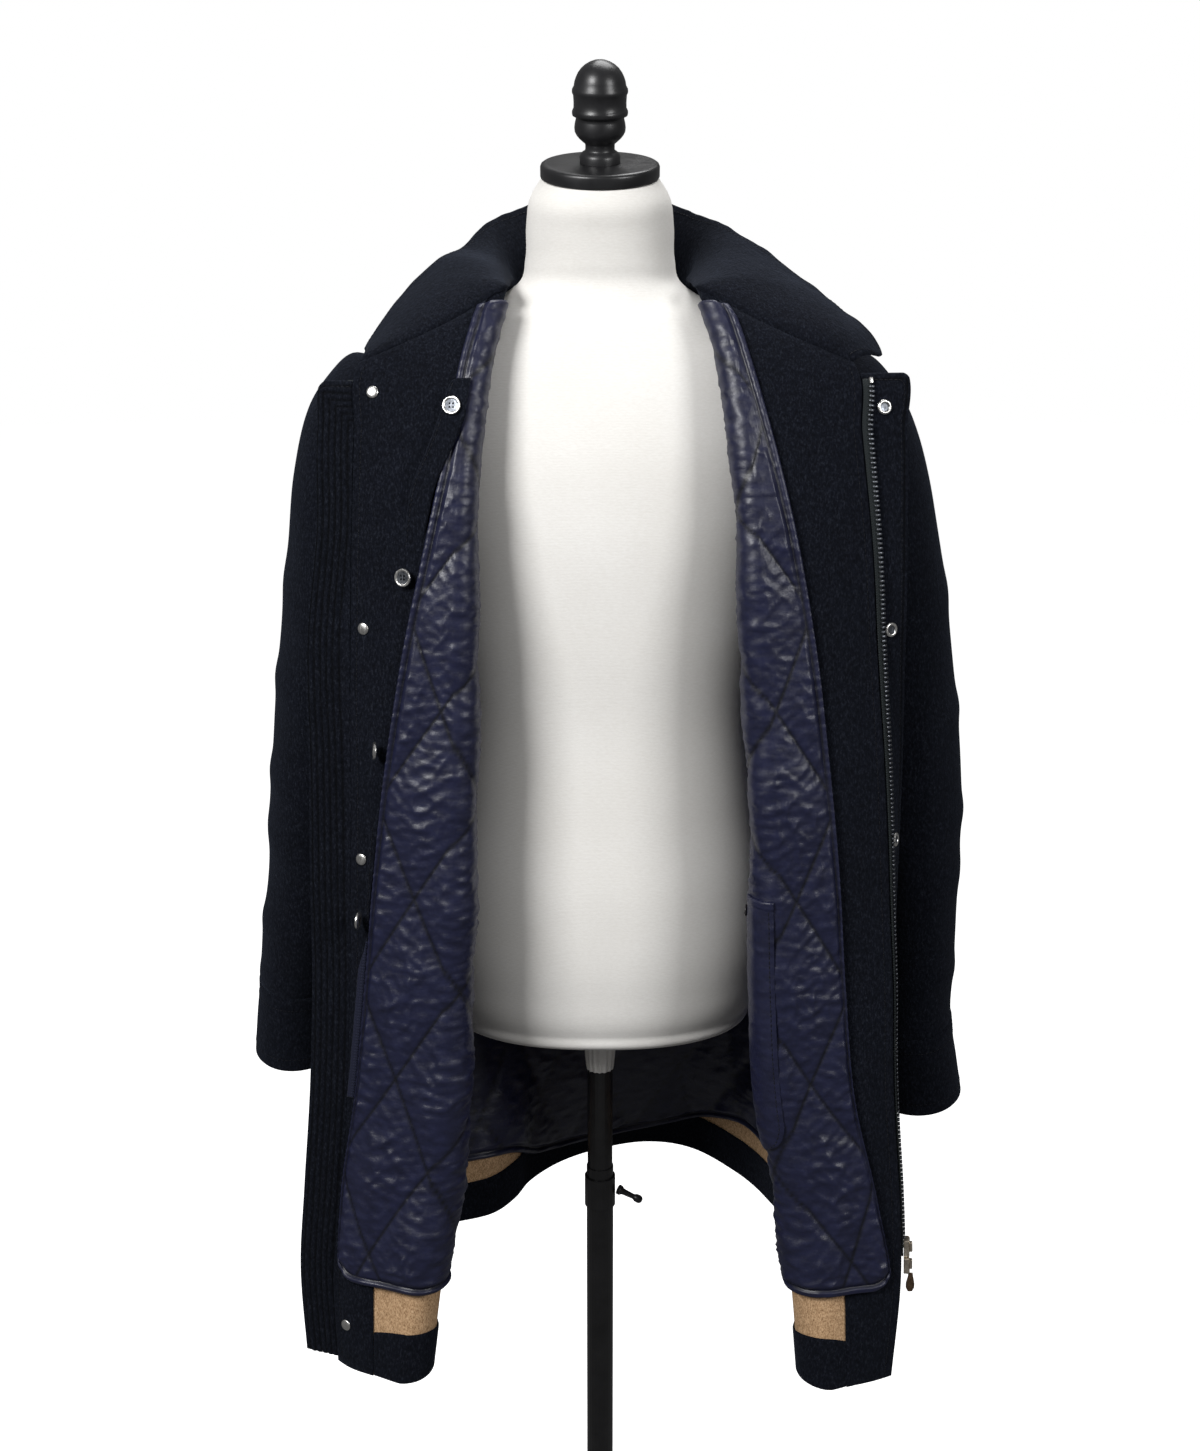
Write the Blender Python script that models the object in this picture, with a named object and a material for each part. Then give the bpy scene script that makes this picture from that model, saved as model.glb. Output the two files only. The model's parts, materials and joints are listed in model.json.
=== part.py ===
"""A navy wool overcoat with a quilted liner, worn open on a limbless dress form and its stand.

Lengths are metres, +Z is up and the coat faces -Y, so the wearer's right is at -X. The origin is
the centre of the stand's underside. Both fronts are turned back: in plan each one runs from the
side seam round the chest to a soft fold, and from there back outwards to the zip edge, with its
inner face forward. Tables give such sections by height, and an x in them is measured outwards.
"""

import math
from collections import namedtuple

import bmesh
import bpy
import numpy as np
from mathutils import Matrix, Vector

SIGN = {"right": -1.0, "left": 1.0}

# Cloth layers, counted inwards from the wool's outer face.
SEAM_GAP = 0.0004
WOOL = (0.0, 0.0020)
FACING = (0.0026, 0.0041)
COLLAR = (0.0, 0.0040)
LINER_BACKING = 0.0032
LINER_OVER_FACING = 0.0048
LINER_CLOTH = 0.0018
LINER_LOOSE = 0.0019
QUILT_HEIGHT = 0.0034
QUILT_HEIGHT_AT_SHOULDER = 0.0012
QUILT_WIDE = 0.088
QUILT_TALL = 0.1665
QUILT_CROSSING_Z = 0.6335
PIPING_HEIGHT = 0.0022
PIPING_WIDE = 0.006

# Heights of the coat's main lines.
NECK_SIDE_Z = 1.402
NECK_BACK_DROP = 0.014
FOLD_TOP_Z = 1.397
EDGE_TOP_Z = 1.337
SHOULDER_POINT_Z = 1.335
UNDERARM_Z = 1.080
HEM_Z = 0.434
BACK_HEM_LIFT = 0.020
HEM_BAND = 0.042
LINER_TOP_Z = 1.385
LINER_HEM_Z = 0.520
LINER_BACK_HEM_Z = 0.472

# The shoulder slope, the armhole and the side.
NECK_SIDE_X = 0.080
SHOULDER_POINT_X = 0.200
UNDERARM_X = 0.205
HEM_SIDE_X = 0.230
HEM_SIDE_Y = 0.012
ARMHOLE_HALF_WIDE = 0.065
SKIRT_FROM_Z = 0.860

# The coat's rows, as heights at the side seam, and each panel's columns.
ROWS = (
    1.402, 1.385, 1.362, 1.335, 1.295, 1.2075, 1.120, 1.080,
    0.990, 0.900, 0.810, 0.720, 0.630, 0.540, 0.476, 0.434,
)
BACK_COLUMNS = 16
UNDER_COLUMNS = 6
TURNED_COLUMNS = 4
ROLL_STARTS = 0.8
ROLL_ENDS = 1.2
FACING_AT = 1.35
PIPING_COLUMN = 0.05
PIPE_AT = 1.5

# A front by height: its fold and the fold's radius, the zip edge, the flap's edge, the liner's
# piped edge and the facing's inner edge.
Front = namedtuple("Front", "z fold_x fold_y roll edge_x edge_y flap_x flap_y pipe_x facing_x")
FRONT = {
    "right": (
        Front(1.402, 0.080, -0.070, 0.006, 0.130, -0.060, 0.150, -0.056, 0.097, 0.091),
        Front(1.370, 0.088, -0.090, 0.007, 0.175, -0.085, 0.200, -0.078, 0.107, 0.101),
        Front(1.335, 0.096, -0.108, 0.008, 0.203, -0.103, 0.231, -0.094, 0.117, 0.110),
        Front(1.280, 0.104, -0.127, 0.009, 0.206, -0.118, 0.239, -0.109, 0.126, 0.119),
        Front(1.200, 0.109, -0.144, 0.010, 0.209, -0.130, 0.241, -0.121, 0.143, 0.130),
        Front(1.100, 0.111, -0.153, 0.011, 0.213, -0.136, 0.253, -0.128, 0.165, 0.148),
        Front(1.000, 0.112, -0.160, 0.012, 0.215, -0.142, 0.254, -0.136, 0.182, 0.162),
        Front(0.900, 0.117, -0.166, 0.013, 0.218, -0.149, 0.256, -0.143, 0.195, 0.175),
        Front(0.800, 0.121, -0.172, 0.014, 0.221, -0.156, 0.257, -0.149, 0.205, 0.186),
        Front(0.700, 0.124, -0.178, 0.016, 0.226, -0.163, 0.262, -0.156, 0.216, 0.194),
        Front(0.600, 0.134, -0.185, 0.018, 0.233, -0.171, 0.270, -0.163, 0.231, 0.200),
        Front(0.520, 0.146, -0.192, 0.021, 0.243, -0.179, 0.276, -0.169, 0.235, 0.204),
        Front(0.434, 0.157, -0.198, 0.024, 0.240, -0.187, 0.272, -0.176, 0.224, 0.205),
    ),
    "left": (
        Front(1.402, 0.082, -0.070, 0.006, 0.136, -0.060, 0.166, -0.056, 0.099, 0.093),
        Front(1.370, 0.095, -0.090, 0.007, 0.184, -0.085, 0.223, -0.078, 0.115, 0.108),
        Front(1.335, 0.104, -0.108, 0.008, 0.214, -0.105, 0.257, -0.097, 0.127, 0.118),
        Front(1.280, 0.113, -0.127, 0.009, 0.219, -0.120, 0.260, -0.110, 0.143, 0.128),
        Front(1.200, 0.121, -0.144, 0.010, 0.228, -0.133, 0.262, -0.122, 0.163, 0.146),
        Front(1.100, 0.126, -0.153, 0.011, 0.236, -0.140, 0.264, -0.123, 0.182, 0.160),
        Front(1.000, 0.134, -0.161, 0.012, 0.245, -0.147, 0.266, -0.121, 0.195, 0.174),
        Front(0.900, 0.141, -0.167, 0.013, 0.251, -0.155, 0.265, -0.122, 0.206, 0.186),
        Front(0.800, 0.144, -0.174, 0.014, 0.257, -0.165, 0.265, -0.130, 0.214, 0.196),
        Front(0.700, 0.150, -0.180, 0.016, 0.260, -0.176, 0.266, -0.141, 0.224, 0.206),
        Front(0.600, 0.166, -0.188, 0.018, 0.268, -0.188, 0.274, -0.153, 0.247, 0.214),
        Front(0.520, 0.176, -0.196, 0.021, 0.271, -0.199, 0.277, -0.164, 0.261, 0.220),
        Front(0.434, 0.184, -0.206, 0.025, 0.264, -0.212, 0.272, -0.178, 0.246, 0.222),
    ),
}

# How far back the back's centre lies, by height, above the skirt.
Depth = namedtuple("Depth", "z back_y")
DEPTH = (
    Depth(1.402, 0.076),
    Depth(1.385, 0.086),
    Depth(1.362, 0.098),
    Depth(1.335, 0.111),
    Depth(1.295, 0.124),
    Depth(1.207, 0.136),
    Depth(1.080, 0.140),
    Depth(0.860, 0.146),
    Depth(0.434, 0.160),
)

# The back's hem in plan, from the wearer's right side seam to the left one.
HemPoint = namedtuple("HemPoint", "share x y")
BACK_HEM = (
    HemPoint(0.00, -0.230, 0.012),
    HemPoint(0.05, -0.219, 0.032),
    HemPoint(0.11, -0.192, 0.043),
    HemPoint(0.20, -0.150, 0.044),
    HemPoint(0.28, -0.114, 0.052),
    HemPoint(0.35, -0.094, 0.074),
    HemPoint(0.43, -0.078, 0.108),
    HemPoint(0.51, -0.046, 0.148),
    HemPoint(0.60, 0.000, 0.182),
    HemPoint(0.68, 0.052, 0.206),
    HemPoint(0.77, 0.104, 0.200),
    HemPoint(0.85, 0.144, 0.166),
    HemPoint(0.92, 0.176, 0.118),
    HemPoint(0.96, 0.198, 0.066),
    HemPoint(1.00, 0.230, 0.012),
)

# The collar by its share of the way from the centre back to its front end: the middle of its
# roll and its free edge.
Roll = namedtuple("Roll", "share mid_x mid_y mid_z top_x top_y top_z")
COLLAR_ROLL = {
    "right": (
        Roll(0.00, 0.000, 0.098, 1.432, 0.000, 0.116, 1.474),
        Roll(0.12, 0.045, 0.090, 1.433, 0.050, 0.106, 1.473),
        Roll(0.25, 0.085, 0.050, 1.428, 0.098, 0.062, 1.453),
        Roll(0.38, 0.098, 0.008, 1.421, 0.122, 0.030, 1.430),
        Roll(0.55, 0.110, -0.040, 1.413, 0.145, 0.000, 1.416),
        Roll(0.75, 0.152, -0.066, 1.384, 0.176, -0.018, 1.384),
        Roll(0.90, 0.182, -0.080, 1.357, 0.195, -0.032, 1.357),
        Roll(1.00, 0.199, -0.084, 1.343, 0.206, -0.044, 1.340),
    ),
    "left": (
        Roll(0.00, 0.000, 0.098, 1.432, 0.000, 0.116, 1.474),
        Roll(0.12, 0.045, 0.090, 1.433, 0.050, 0.106, 1.473),
        Roll(0.25, 0.085, 0.048, 1.430, 0.098, 0.058, 1.456),
        Roll(0.38, 0.102, 0.004, 1.424, 0.128, 0.022, 1.438),
        Roll(0.55, 0.125, -0.040, 1.412, 0.165, -0.008, 1.411),
        Roll(0.75, 0.170, -0.068, 1.386, 0.206, -0.038, 1.378),
        Roll(0.90, 0.210, -0.088, 1.358, 0.232, -0.055, 1.357),
        Roll(1.00, 0.229, -0.090, 1.341, 0.247, -0.058, 1.334),
    ),
}
COLLAR_STEPS = (0.0, 0.25, 0.55, 0.8, 1.0)

# A sleeve's rings below the armhole: the point furthest out, the one nearest the body, the half
# width from front to back and the middle's y. The last three rings are the cuff's.
Ring = namedtuple("Ring", "out_x out_z in_x in_z half_wide y")
SLEEVE = {
    "right": (
        Ring(0.222, 1.339, 0.209, 1.066, 0.073, 0.000),
        Ring(0.242, 1.323, 0.216, 1.050, 0.079, 0.002),
        Ring(0.264, 1.290, 0.221, 1.028, 0.083, 0.004),
        Ring(0.279, 1.235, 0.226, 0.990, 0.084, 0.007),
        Ring(0.289, 1.165, 0.229, 0.945, 0.083, 0.011),
        Ring(0.302, 1.060, 0.233, 0.890, 0.081, 0.015),
        Ring(0.314, 0.955, 0.238, 0.830, 0.078, 0.018),
        Ring(0.323, 0.855, 0.245, 0.781, 0.073, 0.021),
        Ring(0.331, 0.786, 0.252, 0.747, 0.068, 0.023),
        Ring(0.337, 0.731, 0.257, 0.725, 0.063, 0.025),
        Ring(0.342, 0.692, 0.260, 0.688, 0.062, 0.026),
        Ring(0.346, 0.654, 0.263, 0.650, 0.062, 0.027),
    ),
    "left": (
        Ring(0.231, 1.341, 0.209, 1.066, 0.073, 0.000),
        Ring(0.255, 1.327, 0.216, 1.050, 0.079, 0.000),
        Ring(0.280, 1.288, 0.222, 1.026, 0.083, 0.000),
        Ring(0.298, 1.235, 0.228, 0.985, 0.084, 0.000),
        Ring(0.312, 1.165, 0.234, 0.935, 0.083, -0.002),
        Ring(0.329, 1.060, 0.243, 0.875, 0.081, -0.004),
        Ring(0.341, 0.955, 0.252, 0.815, 0.078, -0.006),
        Ring(0.344, 0.856, 0.259, 0.761, 0.073, -0.008),
        Ring(0.344, 0.777, 0.262, 0.717, 0.068, -0.009),
        Ring(0.343, 0.708, 0.263, 0.696, 0.063, -0.010),
        Ring(0.350, 0.665, 0.266, 0.656, 0.062, -0.010),
        Ring(0.356, 0.627, 0.268, 0.619, 0.062, -0.010),
    ),
}
CUFF_RINGS = 2
SLEEVE_POINTS = 18
CUFF = (-0.0008, 0.0026)

# The dress form's rings: half width, half depth and middle, with the neck's top leaning forward.
FormRing = namedtuple("FormRing", "z half_wide half_deep y lean")
FORM = (
    FormRing(0.6900, 0.1100, 0.0720, 0.010, 0.00),
    FormRing(0.6960, 0.1340, 0.0930, 0.010, 0.00),
    FormRing(0.7140, 0.1480, 0.1050, 0.010, 0.00),
    FormRing(0.7600, 0.1590, 0.1140, 0.009, 0.00),
    FormRing(0.8400, 0.1610, 0.1150, 0.008, 0.00),
    FormRing(0.9300, 0.1500, 0.1070, 0.007, 0.00),
    FormRing(1.0100, 0.1440, 0.1030, 0.006, 0.00),
    FormRing(1.1000, 0.1550, 0.1110, 0.006, 0.00),
    FormRing(1.2000, 0.1710, 0.1170, 0.006, 0.00),
    FormRing(1.2600, 0.1810, 0.1130, 0.006, 0.00),
    FormRing(1.3000, 0.1850, 0.1040, 0.006, 0.00),
    FormRing(1.3250, 0.1840, 0.0970, 0.006, 0.00),
    FormRing(1.3406, 0.1765, 0.0910, 0.005, 0.00),
    FormRing(1.3556, 0.1497, 0.0850, 0.004, 0.00),
    FormRing(1.3706, 0.1228, 0.0780, 0.003, 0.00),
    FormRing(1.3856, 0.0940, 0.0690, 0.002, 0.00),
    FormRing(1.4000, 0.0725, 0.0620, -0.001, 0.00),
    FormRing(1.4200, 0.0660, 0.0600, -0.007, 0.06),
    FormRing(1.4500, 0.0645, 0.0600, -0.015, 0.12),
    FormRing(1.4740, 0.0600, 0.0570, -0.024, 0.20),
    FormRing(1.4885, 0.0500, 0.0485, -0.030, 0.2493),
)
FORM_POINTS = 20
FORM_SQUARE = 2.3

# Stand, neck cap and finial.
TOUCH = 0.0002
NECK_LEAN = math.radians(14)
NECK_TOP = (0.0, -0.030, 1.4885)
CAP_RADIUS = 0.0515
CAP_THICK = 0.0125
BASE_RADIUS = 0.180
BASE_THICK = 0.010
TUBE_RADIUS = 0.0137
TUBE_BORE = 0.0131
TUBE_TOP_Z = 0.530
BORE_FLOOR_Z = 0.018
CLAMP_RADIUS = 0.0156
CLAMP_HALF = 0.016
LEVER_Z = 0.503
POLE_RADIUS = 0.0127
POLE_BOTTOM_Z = 0.145
FORM_BOTTOM_Z = 0.690
SOCKET_DEEP = 0.052
LEVER_RADIUS = 0.0032
LEVER_BALL = 0.0052

# The right liner's button strip: its depth, where its edge starts beside the piping by height, and
# how far its leaning top is lifted over the liner.
STRIP = (0.0054, 0.0070)
STRIP_START = ((1.2075, 0.0015), (1.228, 0.0010), (1.245, -0.0010), (1.262, -0.0060), (1.322, -0.0200))
STRIP_LIFT = ((1.2075, 0.0), (1.228, 0.0038), (1.245, 0.0048))
LINER_ZIP = (0.0046, 0.0058)
LINER_ZIP_START = ((0.690, 0.0020),)
LINER_ZIP_LIFT = ((0.690, 0.0),)

# Fasteners, placed by height and by their distance from the coat's middle.
CAP_SNAPS = ((1.312, 0.190), (1.116, 0.200), (0.912, 0.2078), (0.475, 0.2295))
SNAP_CAP_RADIUS = 0.0052
FLAP_SOCKETS = ((1.300, 0.0005), (1.113, 0.0006), (0.925, 0.0014), (0.735, 0.0007))
SOCKET_RADIUS = 0.0064
Button = namedtuple("Button", "z beside tilt on")
STRIP_BUTTONS = (
    Button(1.300, -0.0013, 0, STRIP[1] + STRIP_LIFT[-1][1]),
    Button(1.162, 0.0110, 10, STRIP[1]),
    Button(1.013, 0.0065, 60, STRIP[1]),
    Button(0.860, 0.0055, 75, STRIP[1]),
)
BUTTON_RADIUS = 0.0078
WIND_FLAP = (0.0012, 0.0041)
STORM_FLAP = (0.0, 0.0026)
ZIP_RIGHT = (-0.0004, 0.0006)
ZIP_LEFT = (0.0036, 0.0046)
RIB_HEIGHT = 0.0011
RIBS = 5
SIDE_FLAP_TOP = {"right": 1.321, "left": 1.328}
FLAP_HEM_Z = 0.438
STRIP_TOP_Z = 1.322
STRIP_HEM_Z = 0.850
STRIP_WIDE = (0.023, 0.004)
LINER_ZIP_TOP_Z = 0.838
LINER_ZIP_HEM_Z = 0.690
LINER_ZIP_WIDE = (0.007, 0.007)
POCKET = (0.0107, 0.0123)
POCKET_COLUMNS = (0.5333, 0.6667, 0.80, 0.90, 1.00, 1.10, 1.17)
POCKET_ROWS = (
    (0.884, 0.0),
    (0.840, 0.0),
    (0.780, 0.0),
    (0.720, 0.0),
    (0.680, 0.0),
    (0.662, 0.04),
    (0.653, 0.12),
)
POCKET_BUTTON = (0.868, 0.97)
ZIP_TOP_Z = 1.322
ZIP_HEM_Z = 0.545
SLIDER_Z = 0.543
SLIDER_AT = 2.2
SOCKET_AT = 2.47
SLIDER_TALL = 0.0155
SLIDER_WIDE = 0.0120
SLIDER_DEEP = 0.0080
PULL_LONG = 0.019
PULL_WIDE = 0.0078
PULL_THICK = 0.0016

# The finial, as (radius, height above the cap).
FINIAL = (
    (0.0000, 0.0000),
    (0.0175, 0.0000),
    (0.0175, 0.0060),
    (0.0150, 0.0090),
    (0.0126, 0.0110),
    (0.0126, 0.0160),
    (0.0180, 0.0200),
    (0.0216, 0.0260),
    (0.0216, 0.0320),
    (0.0205, 0.0370),
    (0.0238, 0.0400),
    (0.0238, 0.0430),
    (0.0225, 0.0450),
    (0.0228, 0.0560),
    (0.0238, 0.0580),
    (0.0238, 0.0610),
    (0.0222, 0.0630),
    (0.0205, 0.0700),
    (0.0160, 0.0770),
    (0.0090, 0.0820),
    (0.0000, 0.0840),
)

COLOURS = {
    "navy_wool": ((0.0060, 0.0075, 0.0150, 1.0), 0.92, 0.0),
    "navy_nylon": ((0.0150, 0.0180, 0.0520, 1.0), 0.38, 0.0),
    "zip_tape": ((0.0120, 0.0160, 0.0170, 1.0), 0.80, 0.0),
    "silver": ((0.82, 0.81, 0.79, 1.0), 0.22, 1.0),
    "champagne": ((0.62, 0.55, 0.44, 1.0), 0.28, 1.0),
    "bronze": ((0.16, 0.10, 0.06, 1.0), 0.40, 1.0),
    "form_cloth": ((0.90, 0.88, 0.84, 1.0), 0.75, 0.0),
    "black_enamel": ((0.010, 0.010, 0.011, 1.0), 0.30, 0.0),
}


def read(table, key):
    """The table's row at a key between its rows, on a smooth curve through them."""
    rows = np.array(sorted(table), float)
    keys = rows[:, 0]
    slopes = np.gradient(rows[:, 1:], keys, axis=0)
    key = min(max(key, keys[0]), keys[-1])
    i = min(max(int(np.searchsorted(keys, key)) - 1, 0), len(keys) - 2)
    step = keys[i + 1] - keys[i]
    t = (key - keys[i]) / step
    values = (
        (2 * t**3 - 3 * t**2 + 1) * rows[i, 1:]
        + (t**3 - 2 * t**2 + t) * step * slopes[i]
        + (3 * t**2 - 2 * t**3) * rows[i + 1, 1:]
        + (t**3 - t**2) * step * slopes[i + 1]
    )
    return type(table[0])(key, *values)


def ease(t):
    """0 to 1 with level ends."""
    t = min(max(t, 0.0), 1.0)
    return t * t * (3 - 2 * t)


def bezier(a, b, c, d, t):
    """A point of the cubic curve with ends a and d and handles b and c."""
    a, b, c, d = (np.array(p, float) for p in (a, b, c, d))
    return (1 - t) ** 3 * a + 3 * (1 - t) ** 2 * t * b + 3 * (1 - t) * t**2 * c + t**3 * d


def armhole(z):
    """Half the armhole's width at a height, 0 above and below it."""
    middle = (SHOULDER_POINT_Z + UNDERARM_Z) / 2
    share = (z - middle) / (SHOULDER_POINT_Z - middle)
    return ARMHOLE_HALF_WIDE * math.sqrt(max(0.0, 1 - share * share))


def skirt(z):
    """How far a section has turned from the body's oval into the hem's folds."""
    return ease((SKIRT_FROM_Z - z) / (SKIRT_FROM_Z - HEM_Z))


def seam(z):
    """Where the shoulder, armhole and side seam lies: its distance out, and its y."""
    keys = (HEM_Z, UNDERARM_Z, SHOULDER_POINT_Z, NECK_SIDE_Z)
    x = np.interp(z, keys, (HEM_SIDE_X, UNDERARM_X, SHOULDER_POINT_X, NECK_SIDE_X))
    return float(x), HEM_SIDE_Y * skirt(z)


def front_section(side, z, w):
    """A front's outer face at height z.

    w is 0 at the seam, 1 on the fold, 2 at the zip edge and 3 at the flap's.
    """
    row = read(FRONT[side], z)
    seam_x, seam_y = seam(z)
    start = np.array((seam_x, seam_y - armhole(z) - SEAM_GAP / 2))
    middle = np.array((row.fold_x + row.roll, row.fold_y))
    edge = np.array((row.edge_x, row.edge_y))
    turn = math.pi / 2 * (1 + ease((z - 1.335) / 0.055))
    before = middle + row.roll * np.array((math.cos(turn), math.sin(turn)))
    after = middle - (0, row.roll)
    if w <= ROLL_STARTS:
        heading = np.array((math.sin(turn), -math.cos(turn)))
        forward = start - (0, 0.5 * (start[1] - before[1]))
        inward = before + 0.55 * abs(np.dot(start - before, heading)) * heading
        return bezier(start, forward, inward, before, w / ROLL_STARTS)
    if w <= ROLL_ENDS:
        angle = turn + (1.5 * math.pi - turn) * (w - ROLL_STARTS) / (ROLL_ENDS - ROLL_STARTS)
        return middle + row.roll * np.array((math.cos(angle), math.sin(angle)))
    if w <= 2:
        run = edge - after
        marks = (after[0], row.facing_x, row.pipe_x, row.edge_x)
        x = float(np.interp(w, (ROLL_ENDS, FACING_AT, PIPE_AT, 2.0), marks))
        share = (x - after[0]) / run[0]
        return np.array((x, after[1] + run[1] * (0.6 * share + 0.4 * share * share)))
    return edge + (w - 2) * (np.array((row.flap_x, row.flap_y)) - edge)


def back_section(z, share):
    """The back's outer face at height z, from the wearer's right seam to the left one."""
    angle = math.pi * (share - 0.5)
    hole = armhole(z)
    seam_x, _ = seam(z)
    depth = read(DEPTH, z).back_y
    across = math.copysign(abs(math.sin(angle)) ** 0.9, angle)
    oval = np.array((seam_x * across, hole + (depth - hole) * max(math.cos(angle), 0.0) ** 0.8))
    hem = read(BACK_HEM, share)
    turned = skirt(z)
    return (1 - turned) * oval + turned * np.array((hem.x, hem.y)) + (0, SEAM_GAP / 2)


def front_top(w):
    """The height of the front's neck seam."""
    marks = (0.0, 1.0, ROLL_ENDS, FACING_AT, PIPE_AT, 2.0)
    drops = (0.0, 0.004, 0.009, 0.013)
    heights = (NECK_SIDE_Z, *[FOLD_TOP_Z - drop for drop in drops], EDGE_TOP_Z)
    return float(np.interp(w, marks, heights))


def back_top(share):
    """The height of the back's neck seam."""
    return NECK_SIDE_Z - NECK_BACK_DROP * math.sin(math.pi * share)


def back_hem(share):
    """The height of the back's hem."""
    return HEM_Z + BACK_HEM_LIFT * math.sin(math.pi * share) ** 2


def share_of(z, top, hem):
    """A height as a share of the way up a column of cloth."""
    return (z - hem) / (top - hem)


def corner_weights(i, j, s, t):
    """The weights of a grid cell's corners, on the two flat triangles that a wall is made of."""
    if (i + j) % 2:
        if t >= s:
            return (i, j, 1 - t), (i, j + 1, t - s), (i + 1, j + 1, s)
        return (i, j, 1 - s), (i + 1, j, s - t), (i + 1, j + 1, t)
    if s + t <= 1:
        return (i, j, 1 - s - t), (i, j + 1, t), (i + 1, j, s)
    return (i + 1, j + 1, s + t - 1), (i + 1, j, 1 - t), (i, j + 1, 1 - s)


class Sheet:
    """A panel's outer face as a grid of points, with the way to its inner face at each."""

    def __init__(self, shares, columns, place, seams=(), level_top=False, toward=None):
        self.shares = np.array(shares)
        self.columns = np.array(columns)
        self.points = np.array([[place(share, w) for w in columns] for share in shares])
        along = np.gradient(self.points, axis=1)
        down = np.gradient(self.points, axis=0)
        inward = np.cross(along, down)
        row, column = len(shares) // 2, 2
        inside = -self.points[row, column, :2] if toward is None else np.array(toward)
        if np.dot(inward[row, column, :2], inside) < 0:
            inward = -inward
        for at in seams:
            inward[:, at, 1] = 0
        if level_top:
            inward[0, :, 2] = 0
        self.inward = inward / np.linalg.norm(inward, axis=2, keepdims=True)

    def at(self, share, w, inwards=0.0):
        """The point at a share of the height and a column, moved inwards from the outer face."""
        row = np.interp(-share, -self.shares, np.arange(len(self.shares)))
        column = np.interp(w, self.columns, np.arange(len(self.columns)))
        i = min(int(row), len(self.shares) - 2)
        j = min(int(column), len(self.columns) - 2)
        weights = corner_weights(i, j, row - i, column - j)
        point = sum(weight * self.points[a, b] for a, b, weight in weights)
        way = sum(weight * self.inward[a, b] for a, b, weight in weights)
        return point + inwards * way / np.linalg.norm(way)

    def facing_out(self, share, w):
        """The way from the outer face to the inner one at a place."""
        return self.at(share, w, 1.0) - self.at(share, w)


def row_shares():
    """The coat's rows as shares of the height of its side seam."""
    return [share_of(z, NECK_SIDE_Z, HEM_Z) for z in ROWS]


def front_columns():
    """The front's columns, close together where it rolls."""
    under = np.linspace(0, ROLL_STARTS, UNDER_COLUMNS + 1)
    rolled = np.linspace(ROLL_STARTS, ROLL_ENDS, 5)[1:]
    turned = np.linspace(PIPE_AT, 2, TURNED_COLUMNS + 1)
    beside = ((ROLL_ENDS + FACING_AT) / 2, FACING_AT, PIPE_AT - PIPING_COLUMN)
    return [float(w) for w in (*under, *rolled, *beside, *turned)]


def front_sheet(side, columns):
    """A front's grid, over the columns given."""

    def place(share, w):
        z = HEM_Z + share * (front_top(w) - HEM_Z)
        x, y = front_section(side, z, w)
        return SIGN[side] * x, y, z

    return Sheet(row_shares(), columns, place, seams=(0,), level_top=True)


def back_sheet():
    """The back's grid."""

    def place(share, f):
        hem = back_hem(f)
        z = hem + share * (back_top(f) - hem)
        x, y = back_section(z, f)
        return x, y, z

    columns = np.linspace(0, 1, BACK_COLUMNS + 1)
    return Sheet(row_shares(), columns, place, seams=(0, -1), level_top=True)


def finish(name):
    """The material of that name, made the first time."""
    material = bpy.data.materials.get(name)
    if material is None:
        colour, roughness, metallic = COLOURS[name]
        material = bpy.data.materials.new(name)
        material.use_nodes = True
        shader = material.node_tree.nodes["Principled BSDF"]
        shader.inputs["Base Color"].default_value = colour
        shader.inputs["Roughness"].default_value = roughness
        shader.inputs["Metallic"].default_value = metallic
        material.diffuse_color = colour
    return material


def solid(name, bm, look, parent=None):
    """A named object from a closed mesh, shaded smooth except at sharp corners."""
    bmesh.ops.recalc_face_normals(bm, faces=bm.faces)
    mesh = bpy.data.meshes.new(name)
    bm.to_mesh(mesh)
    bm.free()
    mesh.shade_smooth()
    mesh.set_sharp_from_angle(angle=math.radians(40))
    mesh.materials.append(finish(look))
    made = bpy.data.objects.new(name, mesh)
    bpy.context.scene.collection.objects.link(made)
    made.parent = parent
    return made


def wall(name, near, far, look, parent=None, round_it=False, bands=None):
    """A closed wall between two grids of points; round_it joins the last column to the first.

    bands gives the coarser row that each row belongs to, so that a finer wall is cut into
    triangles the same way as the one beneath it.
    """
    near, far = np.array(near), np.array(far)
    rows, columns = near.shape[:2]
    bm = bmesh.new()
    front = [[bm.verts.new(p) for p in line] for line in near]
    behind = [[bm.verts.new(p) for p in line] for line in far]
    last = columns if round_it else columns - 1
    for i in range(rows - 1):
        for j in range(last):
            k = (j + 1) % columns
            odd = ((bands[i] if bands else i) + j) % 2
            for grid in (front, behind):
                a, b, c, d = grid[i][j], grid[i][k], grid[i + 1][k], grid[i + 1][j]
                if odd:
                    bm.faces.new((a, b, c))
                    bm.faces.new((a, c, d))
                else:
                    bm.faces.new((a, b, d))
                    bm.faces.new((b, c, d))
    for i in (0, rows - 1):
        for j in range(last):
            k = (j + 1) % columns
            bm.faces.new((front[i][j], front[i][k], behind[i][k], behind[i][j]))
    if not round_it:
        for j in (0, columns - 1):
            for i in range(rows - 1):
                bm.faces.new((front[i][j], front[i + 1][j], behind[i + 1][j], behind[i][j]))
    return solid(name, bm, look, parent)


def layer(name, sheet, shares, columns, outer, inner, look, parent):
    """A wall that lies along a sheet, between two depths; a depth may be a function of share and column."""

    def depth(value, share, w):
        return value(share, w) if callable(value) else value

    near = [[sheet.at(s, w, depth(outer, s, w)) for w in columns(s)] for s in shares]
    far = [[sheet.at(s, w, depth(inner, s, w)) for w in columns(s)] for s in shares]
    return wall(name, near, far, look, parent)


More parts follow.
